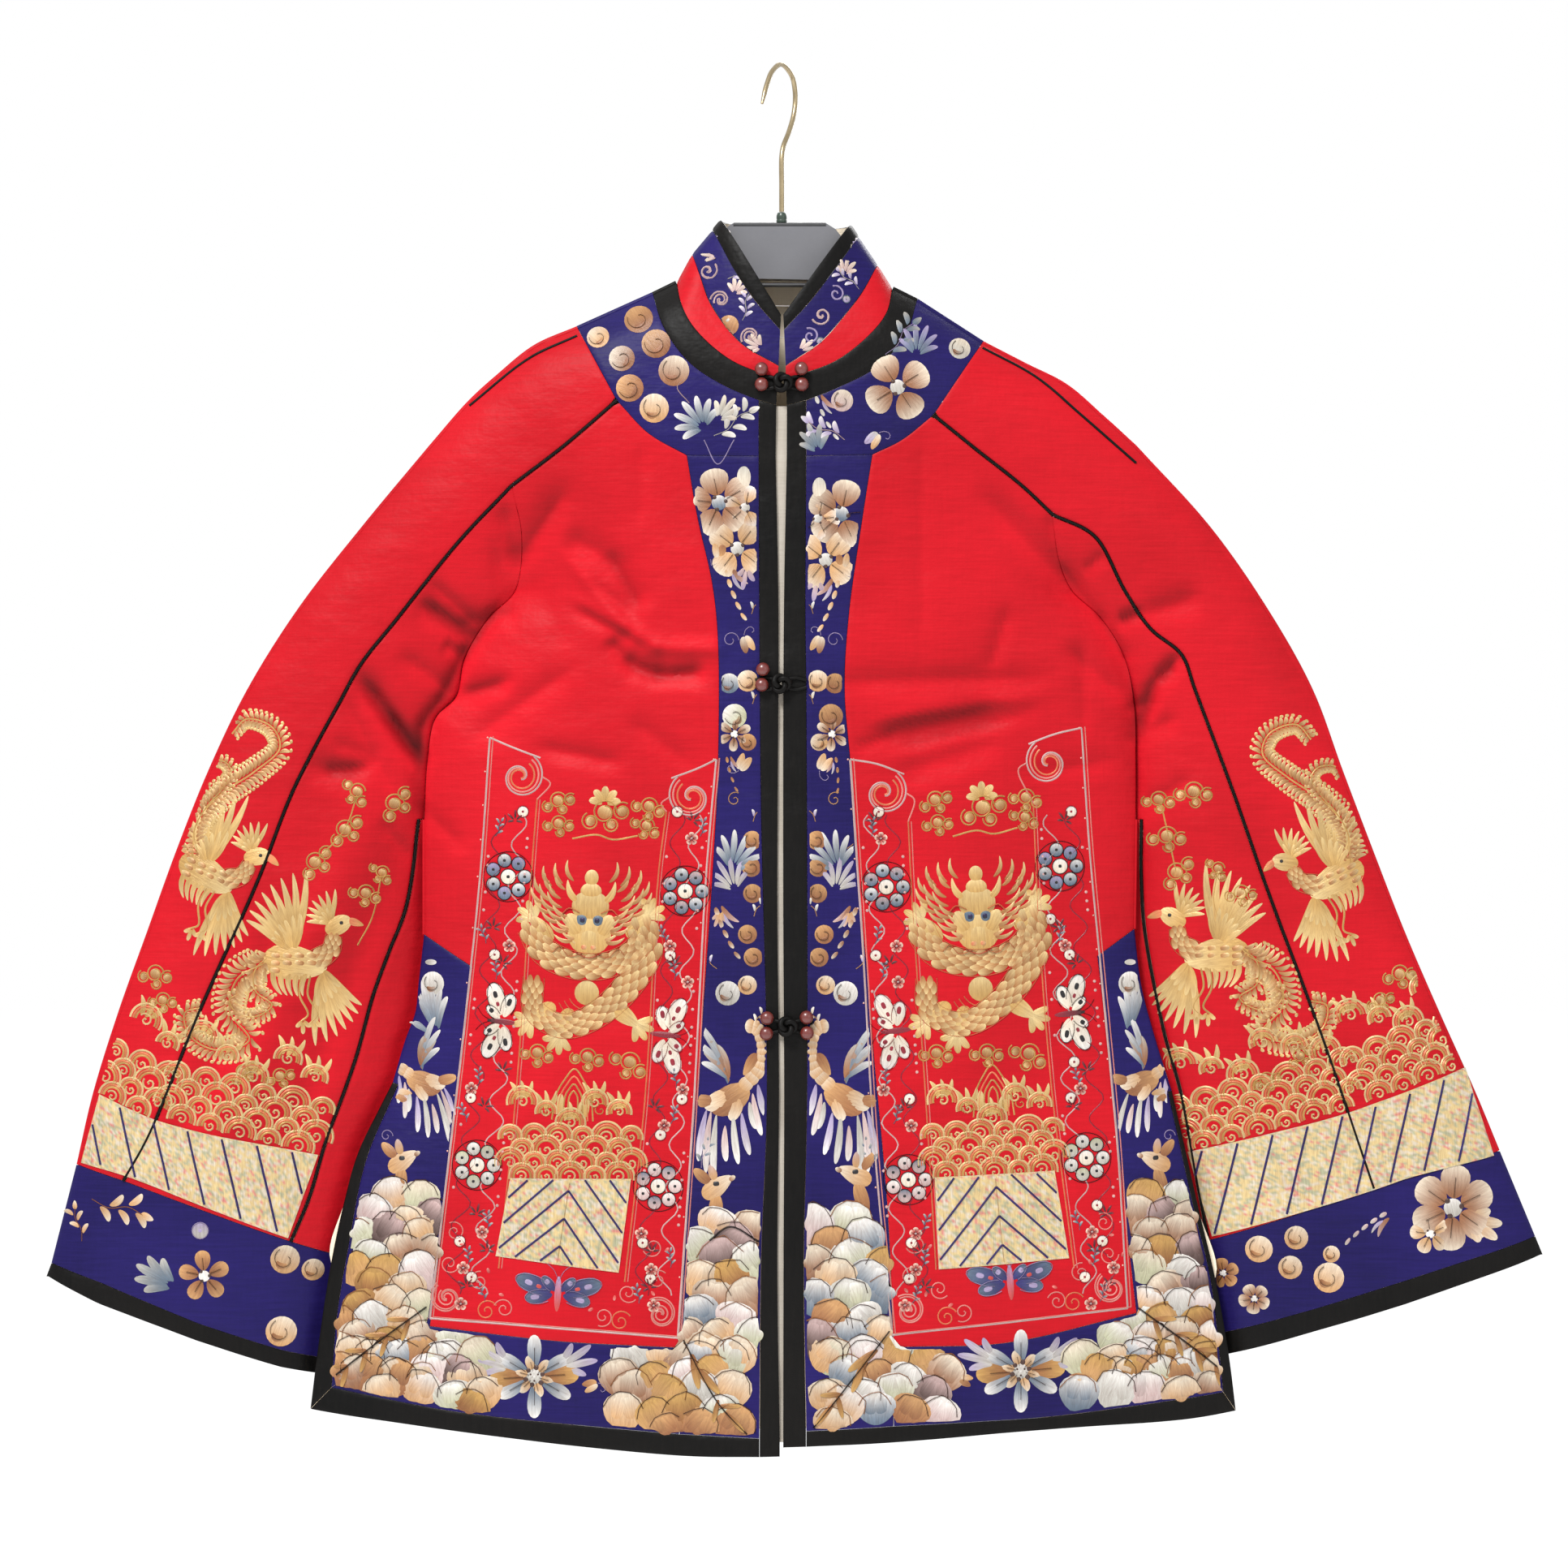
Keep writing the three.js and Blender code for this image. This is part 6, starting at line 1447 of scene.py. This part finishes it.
for half, name in HALVES:
    side, curve, chance = half["sign"], curves(half), np.random.default_rng(21 if half is LEFT else 22)
    ring = Needlework()
    if half is LEFT:
        for column, row, size in ((787, 394, 18), (737, 416, 14), (809, 426, 18), (767, 444, 16), (831, 460, 19),
                (777, 481, 17), (807, 506, 18)):
            ring.put(disc(*SHADES[chance.integers(4)]), at(column, row), turned(chance.uniform(0, 90), 0.48 * size))
        spray(ring, at, (fan(7, 150, "slate", "white", 0.2), 868, 530, 40, 20),
            (fan(5, 90, "grey", "cream", 0.2), 885, 520, -40, 16),
            (sprig(6, "grey", "grey", "white"), 880, 540, -50, 26))
        ring.couch((bow(at(868, 545), at(885, 575), at(905, 545)), "lilac", 0.8),
            (bow(at(850, 500), at(835, 480), at(845, 470)), "mauve", 0.7))
    else:
        spray(ring, at, (flower(4, "brown", "cream", "grey", 0.85), 1105, 480, 10, 20),
            (sprig(6, "lilac", "slate", "grey"), 1090, 440, -35, 26),
            (fan(6, 110, "slate", "lilac", 0.16), 1128, 440, -10, 20), (disc("grey", "cream"), 1182, 430, 0, 6.5),
            (disc("mauve", "cream"), 1037, 497, 0, 6.5), (sprig(5, "mauve", "lilac", "white"), 1040, 545, 70, 24),
            (bud("lilac", "grey"), 1075, 545, -40, 9), (fan(5, 90, "slate", "grey", 0.2), 1008, 560, 20, 18),
            (twig(4, "grey", "white"), 1015, 520, 20, 12))
    ring.sew(f"ring_embroidery_{name}", front_place, "blue_satin")

    band = Needlework()

    def mid(row, share):
        """A place across the placket: share 0 at the front band and 1 at the outer seam."""
        z = (79 - row) * 0.48
        inner, outer = (x_at(curve[key], z) for key in ("front_seam", "placket"))
        return complex(inner + (outer - inner) * share, z)
    flip = half is RIGHT
    shift = 14 if flip else 0
    spray(band, mid, (flower(5, "brown", "cream", "slate"), 622 + shift, 0.62, -12 * side, 20),
        (flower(4, "tan", "cream", "grey"), 678 + shift, 0.4, 30, 18),
        (flower(5, "tan", "white", "grey"), 628 + shift, 0.22, 60, 13))
    band.petal(mid(592 + shift, 0.22), 7j, 8, "cream", "grey", 0.1, rise=0.9)
    spray(band, mid, (bud("brown", "tan"), 680 + shift, 0.74, 180, 9, flip),
        (twig(), 735 + shift, 0.6, -14 * side, 14, flip),
        (fan(3, 70, "mauve", "lilac", 0.22), 700 + shift, 0.25, 170, 14), (bud(), 795, 0.3, -20 * side, 9, flip))
    band.cord(mid(790, 0.7) + 5 * spiral(1.1, 1, 0.3), "lilac", 0.7)
    for row, share, size in ((840, 0.3, 15), (843, 0.75, 14), (883, 0.62, 17), (915, 0.3, 12)):
        band.put(disc(*SHADES[chance.integers(5)]), mid(row, share), turned(chance.uniform(0, 90), 0.42 * size))
    spray(band, mid, (flower(6, "brown", "cream", "white", 0.5), 905, 0.62, 10, 10),
        (bud("tan", "cream"), 940, 0.4, 150, 9, flip), (twig(4, "brown", "tan"), 955, 0.72, 10, 9, flip))
    band.cord(mid(985, 0.6) + 4.5 * spiral(1.2, 1, 0.2, 1), "tan", 0.7)
    spray(band, mid, (fan(7, 120, "slate", "white", 0.15), 1070, 0.62, 25 * side, 24),
        (fan(6, 110, "grey", "lilac", 0.15), 1095, 0.55, -20 * side, 20))
    for row, share in ((1035, 0.2), (1068, 0.22), (1100, 0.2), (1150, 0.3), (1178, 0.2)):
        band.put(disc("brown", "tan"), mid(row, share), turned(chance.uniform(0, 90), 5.6))
    spray(band, mid, (twig(5, "brown", "cream"), 1150, 0.72, -18 * side, 14, flip),
        (fan(4, 60, "tan", "mauve", 0.2), 1120, 0.8, 170, 11))
    for k, row in enumerate((758, 812, 868, 935, 1012, 1045, 1128, 1192, 1262)):
        band.put(sprig(4, "tan", ("grey", "lilac", "cream")[k % 3], "white"), mid(row, 0.82 if k % 2 else 0.18),
            turned(35 * (-1) ** k * side, 13), not flip)
    spray(band, mid, (disc("grey", "white"), 1222, 0.62, 0, 7.2), (disc(), 1212, 0.3, 0, 5.6),
        (crane(), 1352, 0.52, -3 * side, 5.0, flip), (deer(), 1458 - shift, 0.62, 6, 25, not flip),
        (sprig(4, "lilac", "slate", "grey"), 1435, 0.85, 20 * side, 16, not flip))

    border = blue_border(half)
    rocks(band, mid(1505, 0.14), side, 8, 3, 20, chance, border)
    rocks(band, at(963 + side * 60, 1668), side, 6, 4, 19, chance, border)
    mitre = (bow(at(840, 1640), at(885, 1722), at(925, 1765)) if half is LEFT
        else bow(at(1095, 1635), at(1035, 1712), at(1000, 1755)))
    band.cord(mitre, "black", 1.3, 1.8)
    for k, bend_, size in ((4, -16, 12), (6, 14, 12), (12, -50, 8), (13, 52, 8), (16, 0, 9)):
        leaf = (mitre[k + 1] - mitre[k]) / abs(mitre[k + 1] - mitre[k]) * turned(bend_, size)
        band.petal(mitre[k] + 0.5 * leaf, leaf, 0.4 * size, "brown", "gold", 0.1, rise=1.2, tilt=2.4)
    if half is LEFT:
        band.cord(bow(at(875, 1524), at(900, 1507), at(935, 1525)), "black", 1.6, 1.8)
    band.sew(f"placket_embroidery_{name}", front_place, "blue_satin", border=border)

    # The hem has a large flower, and rocks fill its corner and the foot of the side border.
    hem = Needlework()
    centre = at(660, 1692) if half is LEFT else at(1256, 1685)
    hem.put(flower(6, "slate", "white", "grey", 0.34, 0.6), centre, turned(15, 24))
    hem.put(flower(2, "brown", "gold", "grey", 0.44, 0.6), centre, turned(-41, 26))
    hem.put(flower(6, "tan", "cream", "white", 0.5, 0.6), centre, turned(30, 12.5))
    for way in (-1, 1):
        hem.put(fan(4, 60, "grey", "lilac", 0.16), centre + way * 12 + 4j, turned(-66 * way, 27))
        hem.put(bud("brown", "tan"), centre + way * 33 - 5j, turned(-70 * way, 8))
    hem.sew(f"hem_embroidery_{name}", front_place, "blue_satin")

    edge = Needlework()

    def flank(row, share):
        """A place across the side border: share 0 at its inner seam and 1 at the vent."""
        z = (79 - row) * 0.48
        inner, outer = curve["border_inner"], np.vstack([curve["side_middle"], curve["vent_inner"]])
        return complex(x_at(inner, z) + (x_at(outer, z) - x_at(inner, z)) * share, z)
    edge.put(disc("grey", "white"), flank(1212, 0.72), turned(20, 7))
    edge.petal(flank(1186, 0.8), 3.5, 3.4, "grey", "white")
    spray(edge, flank, (fan(9, 80, "slate", "white", 0.12), 1275, 0.5, -25 * side, 34, flip),
        (crane(), 1335, 0.52, -10 * side, 4.2, not flip), (bud("brown", "tan"), 1350, 0.85, -70 * side, 9, flip),
        (deer(), 1430, 0.55, 4, 24, not flip))
    edge.cord(flank(1400, 0.85) + 4 * spiral(1.2, 1, 0.2), "lilac", 0.7)

    rocks(edge, flank(1478, -0.1), side, 11, 4, 19, chance, border)
    rocks(edge, at(963 + side * 368, 1670), side, 6, 7, 19, chance, border)
    mitre = bow(at(963 + side * 436, 1608), at(963 + side * 500, 1655), at(963 + side * 559, 1702))
    edge.cord(mitre, "black", 1.5, 1.8)
    for k in range(4, len(mitre) - 4, 5):
        for bend_ in (-35, 35):
            leaf = (mitre[k + 1] - mitre[k]) / abs(mitre[k + 1] - mitre[k]) * turned(bend_, 8)
            edge.petal(mitre[k] + 0.7 * leaf, leaf, 3.2, "brown", "gold", 0.1, rise=1.2, tilt=2.4)
    edge.sew(f"side_embroidery_{name}", front_place, "blue_satin", border=border)

    # The cuffs have a spray of flowers with coins and leaves.
    cuff_work = Needlework()
    seams = sleeve_seams[name]
    if half is LEFT:
        spray(cuff_work, at, (sprig(5, "brown", "tan", "cream"), 112, 1478, -100, 32),
            (fan(5, 70, "slate", "grey", 0.2), 215, 1585, 60, 26),
            (flower(5, "brown", "tan", "white", 0.6), 252, 1572, 5, 15),
            (ringed("grey", "lilac", "lilac"), 247, 1516, 0, 4.6))
        for column, row, size in ((350, 1553, 8.5), (383, 1567, 6.5), (345, 1642, 9)):
            cuff_work.put(disc(), at(column, row), size)
        cuff_work.put(sprig(4, "brown", "tan", "cream"), at(100, 1530), turned(20, 20))
    else:
        spray(cuff_work, at, (flower(6, "brown", "cream", "grey", 0.7), 1790, 1488, 10, 25),
            (flower(5, "tan", "cream", "white", 0.7), 1762, 1520, 10, 12),
            (fan(4, 60, "tan", "cream", 0.25), 1800, 1500, -110, 26))
        for column, row, size in ((1552, 1540, 8), (1597, 1525, 7), (1590, 1562, 7), (1637, 1574, 9),
                (1640, 1545, 5)):
            cuff_work.put(disc(), at(column, row), size)
        spray(cuff_work, at, (flower(5, "brown", "tan", "white"), 1510, 1572, 10, 9),
            (flower(5, "brown", "cream", "white"), 1547, 1602, 30, 9),
            (twig(5, "mauve", "grey"), 1680, 1510, -60, 13))
    cuff_work.sew(f"cuff_embroidery_{name}", seams["front"][0], "blue_satin")


# ---- Embroidery of the red fronts and sleeves --------------------------------------------------
# Couched gold on the red satin. Each front has a long panel with a front-facing dragon over waves
# and a striped field, in a border of medallions and butterflies. Each sleeve has two phoenixes.
PANELS = {
    "left": dict(outer=((604, 909), (592, 1080), (563, 1349), (531, 1622)),
                 inner=((883, 936), (871, 1074), (856, 1349), (836, 1643)),
                 gold_outer=((663, 985), (656, 1074), (637, 1349), (616, 1560)),
                 gold_inner=((822, 1000), (812, 1080), (796, 1349), (771, 1575)),
                 curls=((642, 957), (853, 982)), stripe=((630, 1449), (779, 1449), (764, 1564), (612, 1545)),
                 rounds=((627, 1080), (845, 1097), (589, 1434), (812, 1458)), wings=((620, 1258), (821, 1273)),
                 navy=(689, 1584), centre=(727, 1160), peak=(708, 1350), lean=-2.5),
    "right": dict(outer=((1332, 897), (1342, 1046), (1358, 1212), (1375, 1400), (1388, 1610)),
                  inner=((1047, 936), (1063, 1178), (1076, 1400), (1098, 1640)),
                  gold_outer=((1272, 990), (1279, 1145), (1295, 1344), (1322, 1560)),
                  gold_inner=((1118, 1012), (1123, 1112), (1139, 1344), (1152, 1560)),
                  curls=((1291, 940), (1088, 977)), stripe=((1150, 1447), (1298, 1440), (1316, 1548), (1155, 1560)),
                  rounds=((1305, 1067), (1091, 1092), (1337, 1425), (1118, 1450)), wings=((1317, 1248), (1103, 1268)),
                  navy=(1243, 1570), centre=(1204, 1155), peak=(1222, 1345), lean=2.5),
}
for half, name in HALVES:
    spots, side, chance = PANELS[name], half["sign"], np.random.default_rng(31 if half is LEFT else 32)
    frame_work, gold_work, silks = Needlework(), Needlework(), Needlework()
    outer, inner, gold_outer, gold_inner = (bow(*[at(*p) for p in spots[key]])
        for key in ("outer", "inner", "gold_outer", "gold_inner"))
    foot = bow(outer[-1], inner[-1])
    for path in (outer, inner, foot):
        frame_work.couch((path, "mauve", 1.5), (path + 2.0 + 0.8j, "pink"))
        for p in path[::3]:
            frame_work.petal(p - 1.4, 0.55j, 1.0, "pink", "cream", rise=0.8)
    for path in (gold_outer, gold_inner):
        frame_work.couch((path, "salmon", 1.2), (path + 1.8, "pink", 0.8))
    # Cloud heads close the top of the frame, and scrolls fill its foot.
    for k, spot in enumerate(spots["curls"]):
        c, way = at(*spot), (-side if k else side)
        for r, tone in ((14.5, "mauve"), (12.2, "pink"), (9.4, "salmon")):
            frame_work.cord(c + r * spiral(1.35 * way, 1, 0.12, np.pi / 2 + 0.6 * way), tone, 1.4)
        frame_work.couch((bow((outer if k == 0 else inner)[0], c - way * 4 + 17j + way * 8,
            c - way * 12 + 11j), "mauve", 1.5), (bow(c - way * 13, c - way * 18 - 4j,
            (gold_outer if k == 0 else gold_inner)[0]), "pink", 1.2))
    middle = (outer[-1] + inner[-1]) / 2
    for spot in (outer[-1], inner[-1]):
        c = spot + 0.14 * (middle - spot) + 13j
        for r in (10.5, 9, 5.5):
            frame_work.cord(c + r * spiral(1.4 if spot == outer[-1] else -1.4, 1, 0.15, 2.2), "pink", 1.2)
        c += 0.32 * (middle - spot) - 6j
        frame_work.cord(c + 6.5 * spiral(1.5, 1, 0.15, 0.5), "salmon", 1.1)
    for k, (share, lift) in enumerate(
            ((0.08, 33), (0.2, 24), (0.3, 9), (0.7, 9), (0.8, 24), (0.92, 33), (0.1, 52), (0.9, 52))):
        c = foot[0] + (foot[-1] - foot[0]) * share + 1j * lift
        frame_work.cord(c + 6 * spiral(1.5 if k % 2 else -1.5, 1, 0.15, 1.4 * k), "pink", 1.0)
        frame_work.petal(c + turned(50 * k, 8.4), turned(50 * k + 60, 1.6), 1.8, "rose", "pink", rise=0.8)
    frame_work.sew(f"panel_frame_{name}", front_place, "red_silk")

    gold_work.put(dragon(), at(*spots["centre"]), turned(spots["lean"], 4.8))
    waves_foot = at(*spots["stripe"][0]), at(*spots["stripe"][1])
    waves(gold_work, waves_foot[0] + 1j, waves_foot[1] + 1j, 5, 14)
    gold_work.put(mountain(), at(*spots["peak"]), turned(spots["lean"], 13.5))
    gold_work.sew(f"dragon_{name}", front_place, "red_silk")

    corners = [at(*p) for p in spots["stripe"]]
    a, b, c, d = [(p.real, p.imag) for p in corners]
    field(f"striped_field_{name}", ((a, b), (d, c), (a, d), (b, c)), front_place)
    stripes = Needlework()
    inside = np.array(corners) * 0.97 + 0.03 * np.mean(corners)
    top, low = (corners[0] + corners[1]) / 2, (corners[2] + corners[3]) / 2
    for level in (-0.5, -0.18, 0.14, 0.46, 0.78):
        for way in (0, 1):
            edge_top, edge_low = corners[way], corners[3 - way]
            start = top + level * (low - top)
            end = edge_top + (level + 0.78) * (edge_low - edge_top)
            path = start + (end - start) * np.linspace(0, 1, 60)
            path = path[within(path, inside)]
            if len(path) > 3:
                stripes.cord(path, "navy", 2.2, 1.5)
    stripes.cord(top + (low - top) * np.linspace(0.05, 0.97, 9), "tan", 0.7, 1.0)
    stripes.sew(f"stripes_{name}", front_place, "red_silk")

    # Coloured silks between the frame's lines: medallions, half butterflies, dots and sprays.
    for k, spot in enumerate(spots["rounds"]):
        silks.put(roundel(*(("slate", "lilac"), ("slate", "mauve"), ("grey", "green"), ("mauve", "slate"))[k]),
            at(*spot), 14.5)
    for k, spot in enumerate(spots["wings"]):
        way = (side if k else -side)
        silks.put(butterfly("cream", "white", "black" if k == 0 else "wine", "wine"), at(*spot),
            turned(90 * way + 6 * side, 22))
    silks.put(butterfly("navy", "slate", "lilac", "rose", 0.5), at(*spots["navy"]) - 3j, turned(4 * side, 25))
    for first, last in ((outer, gold_outer), (gold_inner, inner)):
        for share, tone in ((0.3, "wine"), (0.7, "mauve")):
            z = np.linspace(-444, -726, 90)
            low, high = (np.interp(z, path.imag[::-1], path.real[::-1]) for path in (first, last))
            silks.cord(low + (high - low) * (share + 0.14 * np.sin(z * 0.25 + share)) + 1j * z, tone, 1.1, 0.35)
    for k, row in enumerate(np.linspace(1000, 1604, 56)):
        z = (79 - row) * 0.48
        lines = [np.interp(z, path.imag[::-1], path.real[::-1]) for path in (outer, gold_outer, gold_inner, inner)]
        for low, high in (lines[:2], lines[2:]):
            spot = complex(low + (high - low) * chance.uniform(0.2, 0.8), z)
            if min(abs(spot - at(*p)) for p in spots["rounds"] + spots["wings"]) < 27:
                spot = complex(low + (high - low) * chance.choice([0.13, 0.87]), z)
                silks.petal(spot, 0.9j, 1.8, "mauve", "pink", rise=0.9)
            elif k % 4 == 0:
                silks.put(ringed("cream", "white", "wine"), spot, 3.2)
            elif k % 4 == 1:
                silks.put(fan(5, 200, "black", "wine", 0.2), spot, turned(chance.uniform(-40, 40), 6.5))
            elif k % 4 == 2:
                silks.put(sprig(4, "slate", "slate", "grey"), spot - 4j, turned(chance.uniform(-25, 25), 10))
            else:
                silks.put(flower(5, "rose", "cream", "wine"), spot, 3.8)
    silks.sew(f"panel_silks_{name}", front_place, "red_silk")

    # The sleeves' gold: two phoenixes, sprays and clouds, waves and a striped field.
    sleeve_place, work = sleeve_seams[name]["front"][0], Needlework()
    hanging = bow(-3, -6.5 - 2j, -7.5 - 6j, -5 - 9.5j, -9 - 10.8j, -12.4 - 9j, -13 - 6.2j, -11 - 5.6j)
    rising = (bow(at(236, 1056), at(240, 1015), at(270, 980), at(315, 950), at(345, 922), at(336, 897), at(302, 886),
        at(284, 904)) - at(248, 1075)) / turned(-22, 4.6)
    flip = half is RIGHT

    def spot(left, right):
        """The place on this half's sleeve, of the two given."""
        return at(*(right if flip else left))
    work.put(phoenix(hanging), spot((358, 1186), (1505, 1177)), turned(0, 4.8), flip)
    work.put(phoenix(rising), spot((248, 1075), (1652, 1082)), turned(-22 * -side, 4.6), flip)
    for left, right, size in (((440, 975), (1428, 985), 5.5), ((485, 990), (1470, 975), 6.5),
            ((425, 1022), (1438, 1030), 6.5), ((388, 1062), (1450, 1075), 6.5), ((470, 1075), (1500, 1070), 4.5),
            ((450, 1100), (1528, 1100), 5.5), ((190, 1200), (1725, 1200), 6), ((200, 1232), (1700, 1232), 5),
            ((300, 1320), (1560, 1330), 5), ((345, 1325), (1600, 1300), 5)):
        clouds(work, spot(left, right), size, chance.uniform(-60, 60))
    work.couch((bow(spot((440, 980), (1430, 985)), spot((425, 1022), (1440, 1030)),
        spot((388, 1062), (1450, 1075))), "gold", 1.2),
        (bow(spot((470, 1075), (1500, 1070)), spot((458, 1130), (1495, 1110)),
        spot((440, 1165), (1500, 1130))), "gold", 1.2))
    if half is LEFT:
        upper = [at(120, 1347), at(187, 1377)], [at(206, 1377), at(384, 1421)]
        edges = (((120, 1349), (203, 1383), (391, 1424)), ((97, 1434), (154, 1449), (252, 1487), (354, 1527)))
    else:
        upper = [at(1468, 1420), at(1668, 1362)], [at(1684, 1357), at(1806, 1312)]
        edges = (((1466, 1422), (1668, 1368), (1808, 1316)), ((1496, 1527), (1692, 1466), (1740, 1450), (1843, 1425)))
    top_edge, low_edge = (smooth([(at(*p).real, at(*p).imag) for p in edge]) for edge in edges)
    ends = [(top_edge[k], low_edge[k]) for k in (0, -1)]
    field(f"sleeve_field_{name}", (top_edge, low_edge, *ends), sleeve_place)
    for first, last in upper:
        waves(work, first + 1.5j, last + 1.5j, 5, 15, 1.2)
    fold = sleeve_seams[name]["fold"]
    reach = fold[:, 0] - side * 2 + 1j * fold[:, 1]
    reach = np.concatenate([reach, [reach[-1] - 60j, -760j, 1j * reach[0].imag]])
    work.sew(f"sleeve_gold_{name}", sleeve_place, "red_silk", border=reach)
    stripes = Needlework()
    edge = np.concatenate([top_edge, low_edge[::-1]])
    edge = in_plan(edge)
    for k in range(16):
        foot = top_edge[0, 0] - 10 + 20.4 * k
        path = complex(foot, np.interp(foot, top_edge[:, 0], top_edge[:, 1]) + 8) + turned(-90 + side
            * -13) * np.linspace(0, 75, 60)
        path = path[within(path, edge)]
        if len(path) > 4:
            stripes.cord(path[1:-1], "navy", 2.3, 1.6)
    stripes.sew(f"sleeve_stripes_{name}", sleeve_place, "red_silk")


# ---- Embroidery of the collar and the back -----------------------------------------------------
# Scrolls and leaves in cream, lilac and grey run round the stand collar. The back has the same
# coins and sprays on its ring, and flowers between rocks along its hem.
fronts = collar_rows[..., 1] < 3
collar_points = (collar_rows + collar_normal * 0.1)[fronts]


def collar_place(x, z):
    """Y of the band's outside: the mean of its points weighted by the inverse sixth power of distance."""
    apart = (np.asarray(x)[..., None] - collar_points[:, 0]) ** 2 + (np.asarray(z)[..., None]
        - collar_points[:, 2]) ** 2
    weight = 1 / (apart + 0.5) ** 3
    return (weight * collar_points[:, 1]).sum(-1) / weight.sum(-1)


scrolls, chance = Needlework(), np.random.default_rng(41)
for k, (column, row, kind) in enumerate(((868, 290, 0), (884, 318, 1), (872, 335, 2), (897, 340, 0), (905, 365, 1),
        (888, 372, 2), (915, 392, 0), (898, 404, 3), (925, 418, 2), (938, 432, 1), (1048, 300, 0), (1066, 318, 4),
        (1040, 340, 1), (1030, 365, 4), (1012, 392, 2), (1058, 352, 0), (998, 418, 4), (985, 436, 1))):
    spot = at(column, row)
    way = -1 if column < 963 else 1
    if kind == 0:
        scrolls.put(sprig(6, "grey", "lilac", "white"), spot - 3j, turned(chance.uniform(-20, 60) * way, 16))
    elif kind == 1:
        scrolls.put(fan(5, 110, "mauve", "cream", 0.22), spot, turned(chance.uniform(-90, 90), 11))
    elif kind == 2:
        for r in (6.0, 4.2):
            scrolls.cord(spot + r * spiral(1.2 * way, 1, 0.15, chance.uniform(0, 6)), "mauve", 1.2)
    elif kind == 3:
        scrolls.put(disc("brown", "tan"), spot, 6)
        scrolls.petal(spot + 3j, 2.2, 2.6, "grey", "white", rise=1.2)
    else:
        scrolls.cord(spot + 5 * spiral(-1.3, 1, 0.2, 2), "lilac", 1.2)
        scrolls.put(ringed("lilac", "grey", "slate"), spot + 6 - 3j, 2.2)
line_low, line_high = collar_rows[0][fronts[0]], collar_rows[-1][fronts[0]]
collar_edge = np.concatenate([line_low, line_high[::-1]])
scrolls.sew("collar_embroidery", collar_place, "blue_satin", border=in_plan(collar_edge[:, ::2]))

back_work = Needlework()
ring_line, hem_line = smooth(BACK["ring_edge"]), smooth(BACK["hem_seam"])
for k in range(13):
    share = (k + 1.2) / 15.4
    x, z = spread(ring_line, [share])[0]
    spot = complex(x, z + 16 + 6 * (k % 2))
    kinds = (disc(*SHADES[k % 4]), flower(5, "brown", "cream"), fan(6, 110, "slate", "white", 0.2),
        disc("grey", "cream"))
    back_work.put(kinds[k % 4], spot, turned(50 * k, 11 if k % 4 in (1, 2) else 7))
for k in range(9):
    share = 0.05 + 0.1 * (k + 0.5)
    x, z = spread(hem_line, [share])[0]
    if k % 2:
        back_work.put(flower(8, "brown", "cream", "grey", 0.42), complex(x, z + 25), 19)
    else:
        for j in range(14):
            spot = complex(x + 14 * (j % 5 - 2) + 7 * (j // 5), z + 38 - 11 * (j // 5))
            back_work.petal(spot, turned(90 + chance.uniform(-25, 25), 9.5), 19, *SHADES[chance.integers(9)], 0.22,
                rise=0.4, tilt=1.2)
back_work.sew("back_embroidery", body("back")[0], "blue_satin", out=1)


# ---- Floor, light and camera -------------------------------------------------------------------
# A plain white room: the jacket hangs over a white floor, in soft light from above and the front,
# and the camera looks at it level, square from the front.
floor_white = Dye("floor white")
floor_material = floor_white.finish(floor_white.blend(floor_white.noise(floor_white.place, 3.0), (0.99, 0.99, 0.99),
    (1.0, 1.0, 1.0)), 0.9, Specular_IOR_Level=0.0)
bpy.ops.mesh.primitive_plane_add(size=40, location=(0, 0, -1.6))
floor = bpy.context.active_object
floor.name = "floor"
floor.data.materials.append(floor_material)

world = bpy.context.scene.world or bpy.data.worlds.new("room")
bpy.context.scene.world = world
world.use_nodes = True
background = world.node_tree.nodes["Background"]
background.inputs["Color"].default_value = (1.0, 1.0, 1.0, 1)
background.inputs["Strength"].default_value = 1.0
for name, place, size, power in (("soft_key", (-1.4, -3.0, 2.9), 1.0, 330), ("soft_fill", (1.5, -1.8, 0.2), 1.4, 8),
        ("soft_back", (0.6, 2.0, 0.8), 1.4, 40)):
    lamp = bpy.data.lights.new(name, "AREA")
    lamp.size, lamp.energy = size, power
    holder = bpy.data.objects.new(name, lamp)
    bpy.context.scene.collection.objects.link(holder)
    holder.location = place
    aim = np.array([0, 0, -0.45]) - place
    holder.rotation_euler = (np.arccos(-aim[2] / np.linalg.norm(aim)), 0, np.arctan2(aim[1], aim[0]) - np.pi / 2)

camera = bpy.data.objects.new("camera", bpy.data.cameras.new("camera"))
bpy.context.scene.collection.objects.link(camera)
camera.location = (0.0014, -2.6, -0.4258)
camera.rotation_euler = (np.pi / 2, 0, 0)
camera.data.sensor_width = 36
camera.data.lens = 36 * 2.59 / 0.92736
bpy.context.scene.camera = camera
bpy.context.scene.view_settings.view_transform = "Standard"
